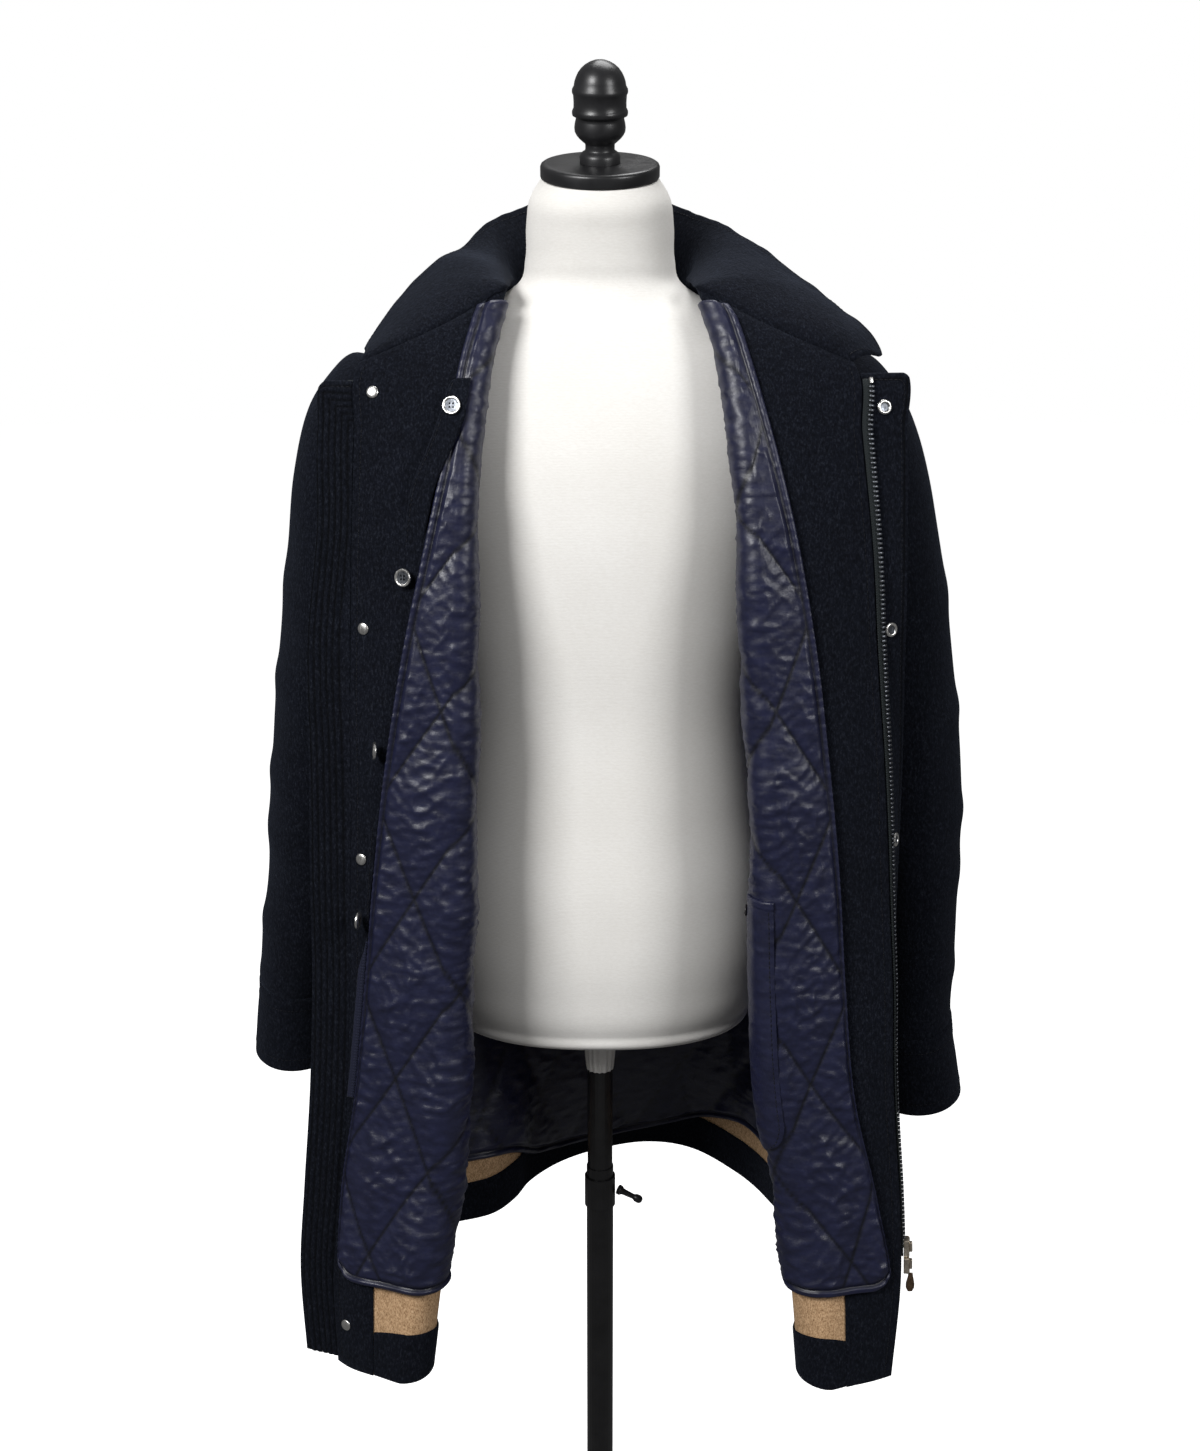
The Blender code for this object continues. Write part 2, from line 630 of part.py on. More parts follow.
def turned(name, profile, points, look, parent=None, place=None):
    """A solid turned about +Z from (radius, height) pairs that start and end on the axis, then placed."""
    bm = bmesh.new()
    rings = []
    for radius, height in profile:
        if radius == 0:
            rings.append([bm.verts.new((0, 0, height))])
            continue
        angles = [2 * math.pi * (i + 0.5) / points for i in range(points)]
        rings.append([bm.verts.new((radius * math.cos(a), radius * math.sin(a), height)) for a in angles])
    for first, second in zip(rings, rings[1:]):
        for i in range(points):
            j = (i + 1) % points
            low = [first[i % len(first)], first[j % len(first)]]
            corners = low + [second[j % len(second)], second[i % len(second)]]
            bm.faces.new(list(dict.fromkeys(corners)))
    bmesh.ops.transform(bm, matrix=place or Matrix(), verts=bm.verts)
    return solid(name, bm, look, parent)


def standing_on(point, way, spin=0.0):
    """The place of a piece whose foot is at a point and whose +Z runs along a way."""
    turn = Vector(way).to_track_quat("Z", "Y").to_matrix().to_4x4()
    return Matrix.Translation(point) @ turn @ Matrix.Rotation(spin, 4, "Z")


def column_at(side, z, x):
    """The column of a front's turned layer that lies a distance out from the middle."""
    low, high = ROLL_ENDS, 3.0
    for _ in range(40):
        middle = (low + high) / 2
        if front_section(side, z, middle)[0] < x:
            low = middle
        else:
            high = middle
    return (low + high) / 2


def place_on(side, sheet, z, x, depth):
    """The point of a front's turned layer at a height and a distance out, and the way inwards there."""
    w = column_at(side, z, x)
    share = share_of(z, front_top(w), HEM_Z)
    point = sheet.at(share, w, depth)
    return point, sheet.facing_out(share, w)


def quilt(across, z):
    """The height of the quilting, 0 on its seams and 1 in the middle of a diamond."""
    a, b = across / QUILT_WIDE, (z - QUILT_CROSSING_Z) / QUILT_TALL
    return abs(math.sin(math.pi * (a + b)) * math.sin(math.pi * (a - b)))


def quilt_height(z):
    """How far a diamond stands up at a height, less where the liner lies on the shoulder."""
    low, high = QUILT_HEIGHT_AT_SHOULDER, QUILT_HEIGHT
    return low + (high - low) * ease((1.32 - z) / 0.12)


def liner_shares(hem):
    """The liner's rows: the coat's, with the tall ones halved for the quilting, down to the liner's hem."""
    heights = [LINER_TOP_Z]
    kept = [z for z in ROWS if hem + 0.02 < z < LINER_TOP_Z - 0.005] + [hem]
    for z in kept:
        if heights[-1] - z > 0.06:
            heights.append((heights[-1] + z) / 2)
        heights.append(z)
    heights.insert(-1, hem + PIPING_WIDE)
    return [share_of(z, NECK_SIDE_Z, HEM_Z) for z in heights]


def liner_backing(z, w):
    """How far the liner's back lies from the wool's outer face: close at the top, loose below."""
    loose = ease((1.12 - z) / 0.30)
    over_facing = ease((w - 1.0) / 0.3) * (LINER_OVER_FACING - LINER_BACKING)
    return LINER_BACKING + LINER_LOOSE * loose + over_facing * (1 - loose)


def make_liner(name, sheet, shares, columns, middle, height, column_of, parent):
    """A quilted wall along a sheet, with a piped hem and, on a front, a piped last column."""
    near, far = [], []
    for i, share in enumerate(shares):
        places = [sheet.at(share, w) for w in columns]
        steps = [0.0] + [float(np.linalg.norm(b[:2] - a[:2])) for a, b in zip(places, places[1:])]
        walked = np.cumsum(steps)
        walked = walked - np.interp(middle, columns, walked)
        row_near, row_far = [], []
        for j, w in enumerate(columns):
            z = height(share, w)
            back = liner_backing(z, column_of(w))
            rim = i == len(shares) - 1 or w == PIPE_AT
            raised = PIPING_HEIGHT if rim else quilt_height(z) * quilt(walked[j], z)
            row_near.append(sheet.at(share, w, back))
            row_far.append(sheet.at(share, w, back + LINER_CLOTH + raised))
        near.append(row_near)
        far.append(row_far)
    bands = [int(np.searchsorted(-sheet.shares, -share + 1e-6, side="right")) - 1 for share in shares]
    return wall(name, near, far, "navy_nylon", parent, bands=[max(band, 0) for band in bands])


def make_front(side, parent):
    """A front, its facing, its hem facing and its part of the liner."""
    sheet = front_sheet(side, front_columns())
    near = sheet.points + WOOL[0] * sheet.inward
    wall(f"front_{side}", near, sheet.points + WOOL[1] * sheet.inward, "navy_wool", parent)
    faced = [w for w in sheet.columns if w >= FACING_AT]
    layer(f"facing_{side}", sheet, sheet.shares, lambda share: faced, *FACING, "navy_wool", parent)
    hemmed = [w for w in sheet.columns if w < FACING_AT] + [FACING_AT - 0.006]
    band = [share_of(z, NECK_SIDE_Z, HEM_Z) for z in (HEM_Z + HEM_BAND, HEM_Z + 0.0006)]
    layer(f"hem_facing_{side}", sheet, band, lambda share: hemmed, *FACING, "navy_wool", parent)
    lined = [w for w in sheet.columns if w <= PIPE_AT]
    shares = liner_shares(LINER_HEM_Z)

    def height(share, w):
        return HEM_Z + share * (front_top(w) - HEM_Z)

    make_liner(f"liner_{side}", sheet, shares, lined, PIPE_AT, height, lambda w: w, parent)
    return sheet


def make_back(parent):
    """The back, its hem facing and its part of the liner."""
    sheet = back_sheet()
    near = sheet.points + WOOL[0] * sheet.inward
    wall("back", near, sheet.points + WOOL[1] * sheet.inward, "navy_wool", parent)
    band = [share_of(z, NECK_SIDE_Z, HEM_Z) for z in (HEM_Z + HEM_BAND, HEM_Z + 0.0006)]
    layer("hem_facing_back", sheet, band, lambda share: sheet.columns, *FACING, "navy_wool", parent)
    shares = liner_shares(LINER_BACK_HEM_Z)

    def height(share, f):
        return back_hem(f) + share * (back_top(f) - back_hem(f))

    make_liner("liner_back", sheet, shares, sheet.columns, 0.5, height, lambda w: 0.0, parent)
    return sheet


def make_flap(name, side, front, depth, ribs, parent):
    """A wind flap that carries on a front's section beyond the zip edge, with its raised ribs."""
    top, hem = SIDE_FLAP_TOP[side], FLAP_HEM_Z
    heights = [top, top - 0.010] + [z for z in ROWS if hem + 0.02 < z < top - 0.03] + [hem]

    def place(share, w):
        z = hem + share * (top - hem)
        x, y = front_section(side, z, w)
        return SIGN[side] * x, y, z

    shares = [share_of(z, top, hem) for z in heights]
    columns = [2.03, *np.linspace(2.12, 3.0, 2 * ribs + 1 if ribs else 5)]
    sheet = Sheet(shares, columns, place, toward=(0, -1))
    for i, z in enumerate(heights):
        sheet.inward[i, 0] = front.facing_out(share_of(z, EDGE_TOP_Z, HEM_Z), 2.0)
    near, far = [], []
    for i, share in enumerate(sheet.shares):
        row_near, row_far = [], []
        for j, w in enumerate(sheet.columns):
            raised = RIB_HEIGHT if ribs and j % 2 == 0 and 0 < j < len(sheet.columns) - 1 else 0.0
            row_near.append(sheet.at(share, w, depth[0]))
            row_far.append(sheet.at(share, w, depth[1] + raised))
        near.append(row_near)
        far.append(row_far)
    wall(name, near, far, "navy_wool", parent)
    return sheet


def make_zip_tape(side, sheet, depth, parent):
    """A zip's tape, sewn beside a front's edge and lying on its flap."""
    heights = [ZIP_TOP_Z, *[z for z in ROWS if ZIP_HEM_Z + 0.02 < z < ZIP_TOP_Z - 0.02], ZIP_HEM_Z]
    top, hem = SIDE_FLAP_TOP[side], FLAP_HEM_Z
    shares = [share_of(z, top, hem) for z in heights]
    layer(f"zip_tape_{side}", sheet, shares, lambda share: (2.05, 2.12, 2.28), *depth, "zip_tape", parent)


def by_height(table, z):
    """The value at a height of a short table of (height, value) rows, lowest first."""
    return float(np.interp(z, [row[0] for row in table], [row[1] for row in table]))


def make_strip(name, sheet, ends_z, start, lift, wide, depth, look, parent):
    """A strip along the right liner's piped edge, on the facing; wide is its width at each end."""
    top, hem = ends_z
    middle = (PIPE_AT + 2) / 2
    ends = (share_of(top, front_top(middle), HEM_Z), share_of(hem, front_top(middle), HEM_Z))
    kept = [share for share in sheet.shares if ends[1] + 0.015 < share < ends[0] - 0.02]
    kept = sorted(kept + [share_of(z, front_top(middle), HEM_Z) for z, _ in start[1:-1]], reverse=True)
    near, far = [], []
    for i, share in enumerate((ends[0], ends[0] - 0.008, *kept, ends[1])):
        z = HEM_Z + share * (front_top(middle) - HEM_Z)
        pipe = read(FRONT["right"], z).pipe_x + by_height(start, z)
        over = by_height(lift, z)
        here = float(np.interp(z, (hem, top), (wide[1], wide[0])))
        inset = 0.2 * here if i == 0 else 0.0
        ws = [column_at("right", z, x) for x in (pipe + inset, pipe + here / 2, pipe + here - inset)]
        near.append([sheet.at(share, w, depth[0] + over) for w in ws])
        far.append([sheet.at(share, w, depth[1] + over) for w in ws])
    wall(name, near, far, look, parent)


def make_collar(back, fronts, parent):
    """The collar, sewn along the neck seam from one front's end round the back to the other's."""
    halves = []
    for side in ("right", "left"):
        half = BACK_COLUMNS // 2
        base = list(back.points[0, half:] if side == "left" else back.points[0, half::-1])
        way = list(back.inward[0, half:] if side == "left" else back.inward[0, half::-1])
        base = base[:-1] + list(fronts[side].points[0])
        way = way[:-1] + list(fronts[side].inward[0])
        steps = np.linalg.norm(np.diff(np.array(base), axis=0), axis=1)
        walked = np.concatenate(([0.0], np.cumsum(steps))) / steps.sum()
        lines = []
        for point, share in zip(base, walked):
            row = read(COLLAR_ROLL[side], share)
            foot = point + (0, 0, SEAM_GAP)
            middle = np.array((SIGN[side] * row.mid_x, row.mid_y, row.mid_z))
            top = np.array((SIGN[side] * row.top_x, row.top_y, row.top_z))
            handle = 2 * middle - 0.5 * (foot + top)
            lines.append([(1 - t) ** 2 * foot + 2 * t * (1 - t) * handle + t * t * top for t in COLLAR_STEPS])
        halves.append((lines, way))
    lines = halves[0][0][:0:-1] + halves[1][0]
    ways = np.array(halves[0][1][:0:-1] + halves[1][1])
    points = np.array(lines).transpose(1, 0, 2)
    inward = np.cross(np.gradient(points, axis=1), np.gradient(points, axis=0))
    middle = points.shape[1] // 2
    if np.dot(inward[1, middle], ways[middle]) < 0:
        inward = -inward
    inward = inward / np.linalg.norm(inward, axis=2, keepdims=True)
    inward[0] = ways
    wall("collar", points + COLLAR[0] * inward, points + COLLAR[1] * inward, "navy_wool", parent)


def make_sleeve(side, parent):
    """A sleeve from the armhole down, and its cuff."""
    angles = [2 * math.pi * i / SLEEVE_POINTS for i in range(SLEEVE_POINTS)]
    middle = (SHOULDER_POINT_Z + UNDERARM_Z) / 2
    tall = (SHOULDER_POINT_Z - UNDERARM_Z) / 2
    first = []
    for a in angles:
        z = middle + tall * math.sin(a)
        first.append((seam(z)[0] + SEAM_GAP, -ARMHOLE_HALF_WIDE * math.cos(a), z))
    rings = [first]
    for ring in SLEEVE[side]:
        out = np.array((ring.out_x, ring.y, ring.out_z))
        near = np.array((ring.in_x, ring.y, ring.in_z))
        centre, arm = (out + near) / 2, (out - near) / 2
        deep = np.array((0, ring.half_wide, 0))
        rings.append([centre + arm * math.sin(a) - deep * math.cos(a) for a in angles])
    points = np.array(rings)
    around = np.roll(points, -1, axis=1) - np.roll(points, 1, axis=1)
    inward = np.cross(around, np.gradient(points, axis=0))
    inward[0, :, 0] = 0
    centres = points.mean(axis=1, keepdims=True)
    facing_in = np.sum(inward * (centres - points), axis=2, keepdims=True)
    inward = inward * np.sign(facing_in) / np.linalg.norm(inward, axis=2, keepdims=True)
    mirror = np.array((SIGN[side], 1, 1))
    points, inward = points * mirror, inward * mirror
    cut = len(rings) - CUFF_RINGS
    tube, tube_in = points[:cut], inward[:cut]
    wall(f"sleeve_{side}", tube + WOOL[0] * tube_in, tube + WOOL[1] * tube_in, "navy_wool", parent, True)
    band, band_in = points[cut - 1 :].copy(), inward[cut - 1 :]
    band[0, :, 2] -= SEAM_GAP
    wall(f"cuff_{side}", band + CUFF[0] * band_in, band + CUFF[1] * band_in, "navy_wool", parent, True)


def make_pocket(front, parent):
    """The patch pocket on the left front's liner, round its fold, and its button."""
    near, far = [], []
    for z, inset in POCKET_ROWS:
        row_near, row_far = [], []
        for column in POCKET_COLUMNS:
            w = min(max(column, POCKET_COLUMNS[0] + inset), POCKET_COLUMNS[-1] - inset)
            share = share_of(z, front_top(w), HEM_Z)
            row_near.append(front.at(share, w, POCKET[0]))
            row_far.append(front.at(share, w, POCKET[1]))
        near.append(row_near)
        far.append(row_far)
    wall("liner_pocket", near, far, "navy_nylon", parent)
    share = share_of(POCKET_BUTTON[0], front_top(POCKET_BUTTON[1]), HEM_Z)
    point = front.at(share, POCKET_BUTTON[1], POCKET[1] + 0.0005)
    way = front.facing_out(share, POCKET_BUTTON[1])
    disc = ((0, 0), (0.0045, 0), (0.0050, 0.0012), (0.0036, 0.0020), (0, 0.0020))
    turned("pocket_button", disc, 10, "black_enamel", parent, standing_on(point, way))


def make_fasteners(fronts, flaps, parent):
    """The strip's buttons, the snaps' caps and sockets and the zip's sliders."""
    cap = ((0, 0), (SNAP_CAP_RADIUS, 0), (SNAP_CAP_RADIUS, 0.0006), (0.0036, 0.0015), (0, 0.0018))
    for number, (z, x) in enumerate(CAP_SNAPS, 1):
        point, way = place_on("right", fronts["right"], z, x, FACING[1] + 0.0004)
        turned(f"snap_cap_{number}", cap, 10, "silver", parent, standing_on(point, way))
    rim = ((BUTTON_RADIUS, 0), (BUTTON_RADIUS, 0.0022), (0.0062, 0.0026), (0.0054, 0.0018))
    button = ((0, 0), *rim, (0, 0.0018))
    for number, row in enumerate(STRIP_BUTTONS, 1):
        x = read(FRONT["right"], row.z).pipe_x + row.beside
        lift = BUTTON_RADIUS * math.sin(math.radians(row.tilt))
        point, way = place_on("right", fronts["right"], row.z, x, row.on + 0.0006 + lift)
        way = Matrix.Rotation(math.radians(-row.tilt), 3, "Z") @ Vector(way)
        turned(f"strip_button_{number}", button, 12, "silver", parent, standing_on(point, way))
    ring = ((SOCKET_RADIUS, 0), (SOCKET_RADIUS, 0.0012), (0.0046, 0.0020), (0.0034, 0.0010))
    socket = ((0, 0), *ring, (0, 0.0010))
    for number, (z, gap) in enumerate(FLAP_SOCKETS, 1):
        share = share_of(z, SIDE_FLAP_TOP["left"], FLAP_HEM_Z)
        point = flaps["left"].at(share, SOCKET_AT, STORM_FLAP[1] + gap)
        way = flaps["left"].facing_out(share, SOCKET_AT)
        turned(f"snap_socket_{number}", socket, 10, "silver", parent, standing_on(point, way))


def block(name, size, place, look, parent, bevel):
    """A block with rounded corners, its middle at the place."""
    bm = bmesh.new()
    bmesh.ops.create_cube(bm, size=1.0)
    bmesh.ops.scale(bm, vec=size, verts=bm.verts)
    bmesh.ops.bevel(bm, geom=bm.edges, offset=bevel, segments=2, profile=0.5, affect="EDGES")
    bmesh.ops.transform(bm, matrix=place, verts=bm.verts)
    return solid(name, bm, look, parent)


def make_sliders(flap, parent):
    """Two sliders back to back at the bottom of the main zip, and the lower one's pull tab."""
    away = SLIDER_TALL / 2 + 0.0002
    for name, z in (("slider_upper", SLIDER_Z + away), ("slider_lower", SLIDER_Z - away)):
        share = share_of(z, SIDE_FLAP_TOP["left"], FLAP_HEM_Z)
        point = flap.at(share, SLIDER_AT, ZIP_LEFT[1] + 0.0005 + SLIDER_DEEP / 2)
        place = standing_on(point, flap.facing_out(share, SLIDER_AT))
        block(name, (SLIDER_WIDE, SLIDER_TALL, SLIDER_DEEP), place, "champagne", parent, 0.0018)
    pull_z = SLIDER_Z - SLIDER_TALL - 0.0018
    hinge = Vector(flap.at(share_of(pull_z, SIDE_FLAP_TOP["left"], FLAP_HEM_Z), SLIDER_AT, 0.0120))
    axis = bpy.data.objects.new("pull_axis", None)
    bpy.context.scene.collection.objects.link(axis)
    axis.parent = parent
    axis.location = hinge
    hang = Matrix.Translation((0, 0, -PULL_LONG / 2 + 0.001))
    block("pull_tab", (PULL_WIDE, PULL_THICK, PULL_LONG), hang, "bronze", axis, 0.0006)


def make_form(parent):
    """The limbless torso, its socket, the neck's cap and the finial."""
    bm = bmesh.new()
    rings = []
    for row in FORM:
        ring = []
        for i in range(FORM_POINTS):
            angle = 2 * math.pi * (i + 0.5) / FORM_POINTS
            across = math.copysign(abs(math.cos(angle)) ** (2 / FORM_SQUARE), math.cos(angle))
            deep = math.copysign(abs(math.sin(angle)) ** (2 / FORM_SQUARE), math.sin(angle))
            y = row.half_deep * deep
            ring.append(bm.verts.new((row.half_wide * across, row.y + y, row.z + row.lean * y)))
        rings.append(ring)
    for low, high in zip(rings, rings[1:]):
        for i in range(FORM_POINTS):
            j = (i + 1) % FORM_POINTS
            bm.faces.new((low[i], low[j], high[j], high[i]))
    bm.faces.new(rings[0])
    bm.faces.new(rings[-1])
    solid("form_torso", bm, "form_cloth", parent)
    deep = SOCKET_DEEP
    tuft = ((0, -deep), (0.0138, -deep), (0.0150, 0.012 - deep), (0.0165, -0.020), (0.0190, -TOUCH), (0, -TOUCH))
    turned("form_socket", tuft, 16, "form_cloth", parent, Matrix.Translation((0, 0, FORM_BOTTOM_Z)))
    leaning = Matrix.Translation(NECK_TOP) @ Matrix.Rotation(NECK_LEAN, 4, "X")
    cap = (
        (0, TOUCH),
        (CAP_RADIUS - 0.0015, TOUCH),
        (CAP_RADIUS, 0.0015),
        (CAP_RADIUS, CAP_THICK - 0.0025),
        (CAP_RADIUS - 0.0025, CAP_THICK),
        (0, CAP_THICK),
    )
    turned("neck_cap", cap, 32, "black_enamel", parent, leaning)
    above = leaning @ Matrix.Translation((0, 0, CAP_THICK + TOUCH))
    turned("finial", FINIAL, 16, "black_enamel", parent, above)


def tube(name, inner, outer, bottom, top, points, look, parent=None):
    """An upright ring of metal about the origin's axis."""
    near, far = [], []
    for z in (bottom, top):
        angles = [2 * math.pi * (i + 0.5) / points for i in range(points)]
        near.append([(inner * math.cos(a), inner * math.sin(a), z) for a in angles])
        far.append([(outer * math.cos(a), outer * math.sin(a), z) for a in angles])
    return wall(name, near, far, look, parent, True)


def make_stand(parent):
    """The base, the lower tube with its clamp, the clamp's lever and the pole that slides in the tube."""
    base = (
        (0, 0),
        (BASE_RADIUS - 0.002, 0),
        (BASE_RADIUS, 0.002),
        (BASE_RADIUS, BASE_THICK - 0.004),
        (BASE_RADIUS - 0.004, BASE_THICK - 0.001),
        (BASE_RADIUS - 0.012, BASE_THICK),
        (0.024, BASE_THICK),
        (0.020, BASE_THICK + 0.006),
        (0, BASE_THICK + 0.006),
    )
    turned("stand_base", base, 30, "black_enamel")
    floor = BASE_THICK + 0.006 + TOUCH
    tube("stand_tube", TUBE_BORE, TUBE_RADIUS, floor, TUBE_TOP_Z, 24, "black_enamel")
    low, high = LEVER_Z - CLAMP_HALF, LEVER_Z + CLAMP_HALF
    tube("clamp_collar", TUBE_RADIUS + TOUCH, CLAMP_RADIUS, low, high, 24, "black_enamel")
    pivot = bpy.data.objects.new("lever_axis", None)
    bpy.context.scene.collection.objects.link(pivot)
    pivot.location = (CLAMP_RADIUS + 0.0022, 0, LEVER_Z)
    lever = (
        (0, 0.0006),
        (0.0050, 0.0006),
        (0.0050, 0.0040),
        (LEVER_RADIUS, 0.0060),
        (LEVER_RADIUS * 0.8, 0.0180),
        (LEVER_BALL * 0.8, 0.0200),
        (LEVER_BALL, 0.0235),
        (LEVER_BALL * 0.8, 0.0270),
        (0, 0.0285),
    )
    turned("clamp_lever", lever, 14, "black_enamel", pivot, standing_on((0, 0, 0), (0.88, 0, -0.47)))
    pole = (
        (0, POLE_BOTTOM_Z),
        (POLE_RADIUS - 0.001, POLE_BOTTOM_Z),
        (POLE_RADIUS, POLE_BOTTOM_Z + 0.001),
        (POLE_RADIUS, FORM_BOTTOM_Z - SOCKET_DEEP - TOUCH),
        (0, FORM_BOTTOM_Z - SOCKET_DEEP - TOUCH),
    )
    turned("upper_pole", pole, 24, "black_enamel", parent)


def main():
    for old in list(bpy.data.objects):
        bpy.data.objects.remove(old, do_unlink=True)
    upper = bpy.data.objects.new("upper_frame", None)
    bpy.context.scene.collection.objects.link(upper)
    make_stand(upper)
    make_form(upper)
    fronts = {side: make_front(side, upper) for side in SIGN}
    back = make_back(upper)
    for side in SIGN:
        make_sleeve(side, upper)
    make_collar(back, fronts, upper)
    right = fronts["right"]
    flaps = {
        "right": make_flap("wind_flap_right", "right", right, WIND_FLAP, RIBS, upper),
        "left": make_flap("storm_flap_left", "left", fronts["left"], STORM_FLAP, 0, upper),
    }
    make_zip_tape("right", flaps["right"], ZIP_RIGHT, upper)
    make_zip_tape("left", flaps["left"], ZIP_LEFT, upper)
    ends, line = (STRIP_TOP_Z, STRIP_HEM_Z), (STRIP_START, STRIP_LIFT)
    make_strip("button_strip_right", right, ends, *line, STRIP_WIDE, STRIP, "navy_wool", upper)
    ends, line = (LINER_ZIP_TOP_Z, LINER_ZIP_HEM_Z), (LINER_ZIP_START, LINER_ZIP_LIFT)
    make_strip("liner_zip_tape", right, ends, *line, LINER_ZIP_WIDE, LINER_ZIP, "zip_tape", upper)
    make_pocket(fronts["left"], upper)
    make_fasteners(fronts, flaps, upper)
    make_sliders(flaps["left"], upper)


main()
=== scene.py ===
"""Looks of a navy wool overcoat with a quilted liner, worn open on a limbless dress form and its stand.

Lengths are metres, +Z is up, the coat faces -Y and the wearer's right is at -X. Both fronts are
turned back, so in plan each runs from the side seam round the chest to a soft fold, and from there
outwards to the zip edge with its inner face forward. Every cloth piece is a thin shell along the
surface of its panel, between two depths that are counted inwards from the wool's outer face.
"""

from __future__ import annotations

import json
import logging
import math
from dataclasses import dataclass, field
from enum import Enum
from typing import Callable, Sequence

import bpy
import numpy as np
from mathutils import Matrix, Vector

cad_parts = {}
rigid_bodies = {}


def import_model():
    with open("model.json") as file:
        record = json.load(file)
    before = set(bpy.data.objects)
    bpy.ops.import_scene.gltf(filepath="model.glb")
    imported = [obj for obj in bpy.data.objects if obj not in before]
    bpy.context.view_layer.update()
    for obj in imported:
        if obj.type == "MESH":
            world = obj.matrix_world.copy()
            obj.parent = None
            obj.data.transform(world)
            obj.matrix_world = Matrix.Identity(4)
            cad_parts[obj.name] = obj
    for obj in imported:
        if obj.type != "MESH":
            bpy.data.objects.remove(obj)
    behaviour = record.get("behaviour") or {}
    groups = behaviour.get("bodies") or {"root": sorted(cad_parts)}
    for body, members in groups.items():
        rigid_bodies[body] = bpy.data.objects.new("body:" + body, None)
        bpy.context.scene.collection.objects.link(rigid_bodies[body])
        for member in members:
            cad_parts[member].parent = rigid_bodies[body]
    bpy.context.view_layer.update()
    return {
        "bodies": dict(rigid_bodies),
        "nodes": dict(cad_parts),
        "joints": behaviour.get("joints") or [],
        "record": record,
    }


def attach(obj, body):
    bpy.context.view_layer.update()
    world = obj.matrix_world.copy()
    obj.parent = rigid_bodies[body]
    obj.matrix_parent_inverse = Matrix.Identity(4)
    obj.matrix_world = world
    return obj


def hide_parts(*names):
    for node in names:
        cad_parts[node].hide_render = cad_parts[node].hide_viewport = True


LOG = logging.getLogger("overcoat")
Grid = np.ndarray
Piece = bpy.types.Object
Finish = bpy.types.Material
Socket = bpy.types.NodeSocket
Pair = tuple[float, float]
Triple = tuple[float, float, float]
BODY = "form_and_coat"

# The pattern's main lines, in metres.
SEAM_GAP = 0.0004
NECK_SIDE_Z = 1.402
NECK_BACK_DROP = 0.014
SHOULDER_Z = 1.335
UNDERARM_Z = 1.080
HEM_Z = 0.434
BACK_HEM_LIFT = 0.020
HEM_BAND = 0.042
LINER_TOP_Z = 1.385
LINER_HEM_Z = 0.520
LINER_BACK_HEM_Z = 0.472
ARMHOLE_HALF_WIDE = 0.065
HEM_SIDE_Y = 0.012
SKIRT_FROM_Z = 0.860
FLAP_HEM_Z = 0.438


class Side(Enum):
    """The wearer's side, with the sign of its x."""

    RIGHT = -1.0
    LEFT = 1.0

    @property
    def word(self) -> str:
        """The side's name, as piece names use it."""
        return self.name.lower()


class Held(Enum):
    """How a sheet of cloth is held."""

    DRAPED = "draped"
    HUNG = "hung"
    LAID = "laid"
    FOLDED = "folded"


def ease(t: Grid | float) -> Grid:
    """0 to 1 with level ends."""
    t = np.clip(t, 0.0, 1.0)
    return t * t * (3 - 2 * t)


@dataclass(frozen=True)
class Table:
    """Rows of named numbers by a key, read on a smooth curve between the rows."""

    names: str
    rows: tuple[tuple[float, ...], ...]

    def read(self, key: Grid | float) -> dict[str, Grid]:
        """Reads every column at some keys.

        Args:
            key: the keys, of any shape.

        Returns:
            Each column's values by its name, in the keys' shape.
        """
        rows = np.array(sorted(self.rows), float)
        keys = rows[:, 0]
        slopes = np.gradient(rows[:, 1:], keys, axis=0)
        key = np.clip(np.asarray(key, float), keys[0], keys[-1])
        i = np.clip(np.searchsorted(keys, key) - 1, 0, len(keys) - 2)
        step = (keys[i + 1] - keys[i])[..., None]
        t = (key - keys[i])[..., None] / step
        values = (
            (2 * t**3 - 3 * t**2 + 1) * rows[i, 1:]
            + (t**3 - 2 * t**2 + t) * step * slopes[i]
            + (3 * t**2 - 2 * t**3) * rows[i + 1, 1:]
            + (t**3 - t**2) * step * slopes[i + 1]
        )
        return {name: values[..., n] for n, name in enumerate(self.names.split())}


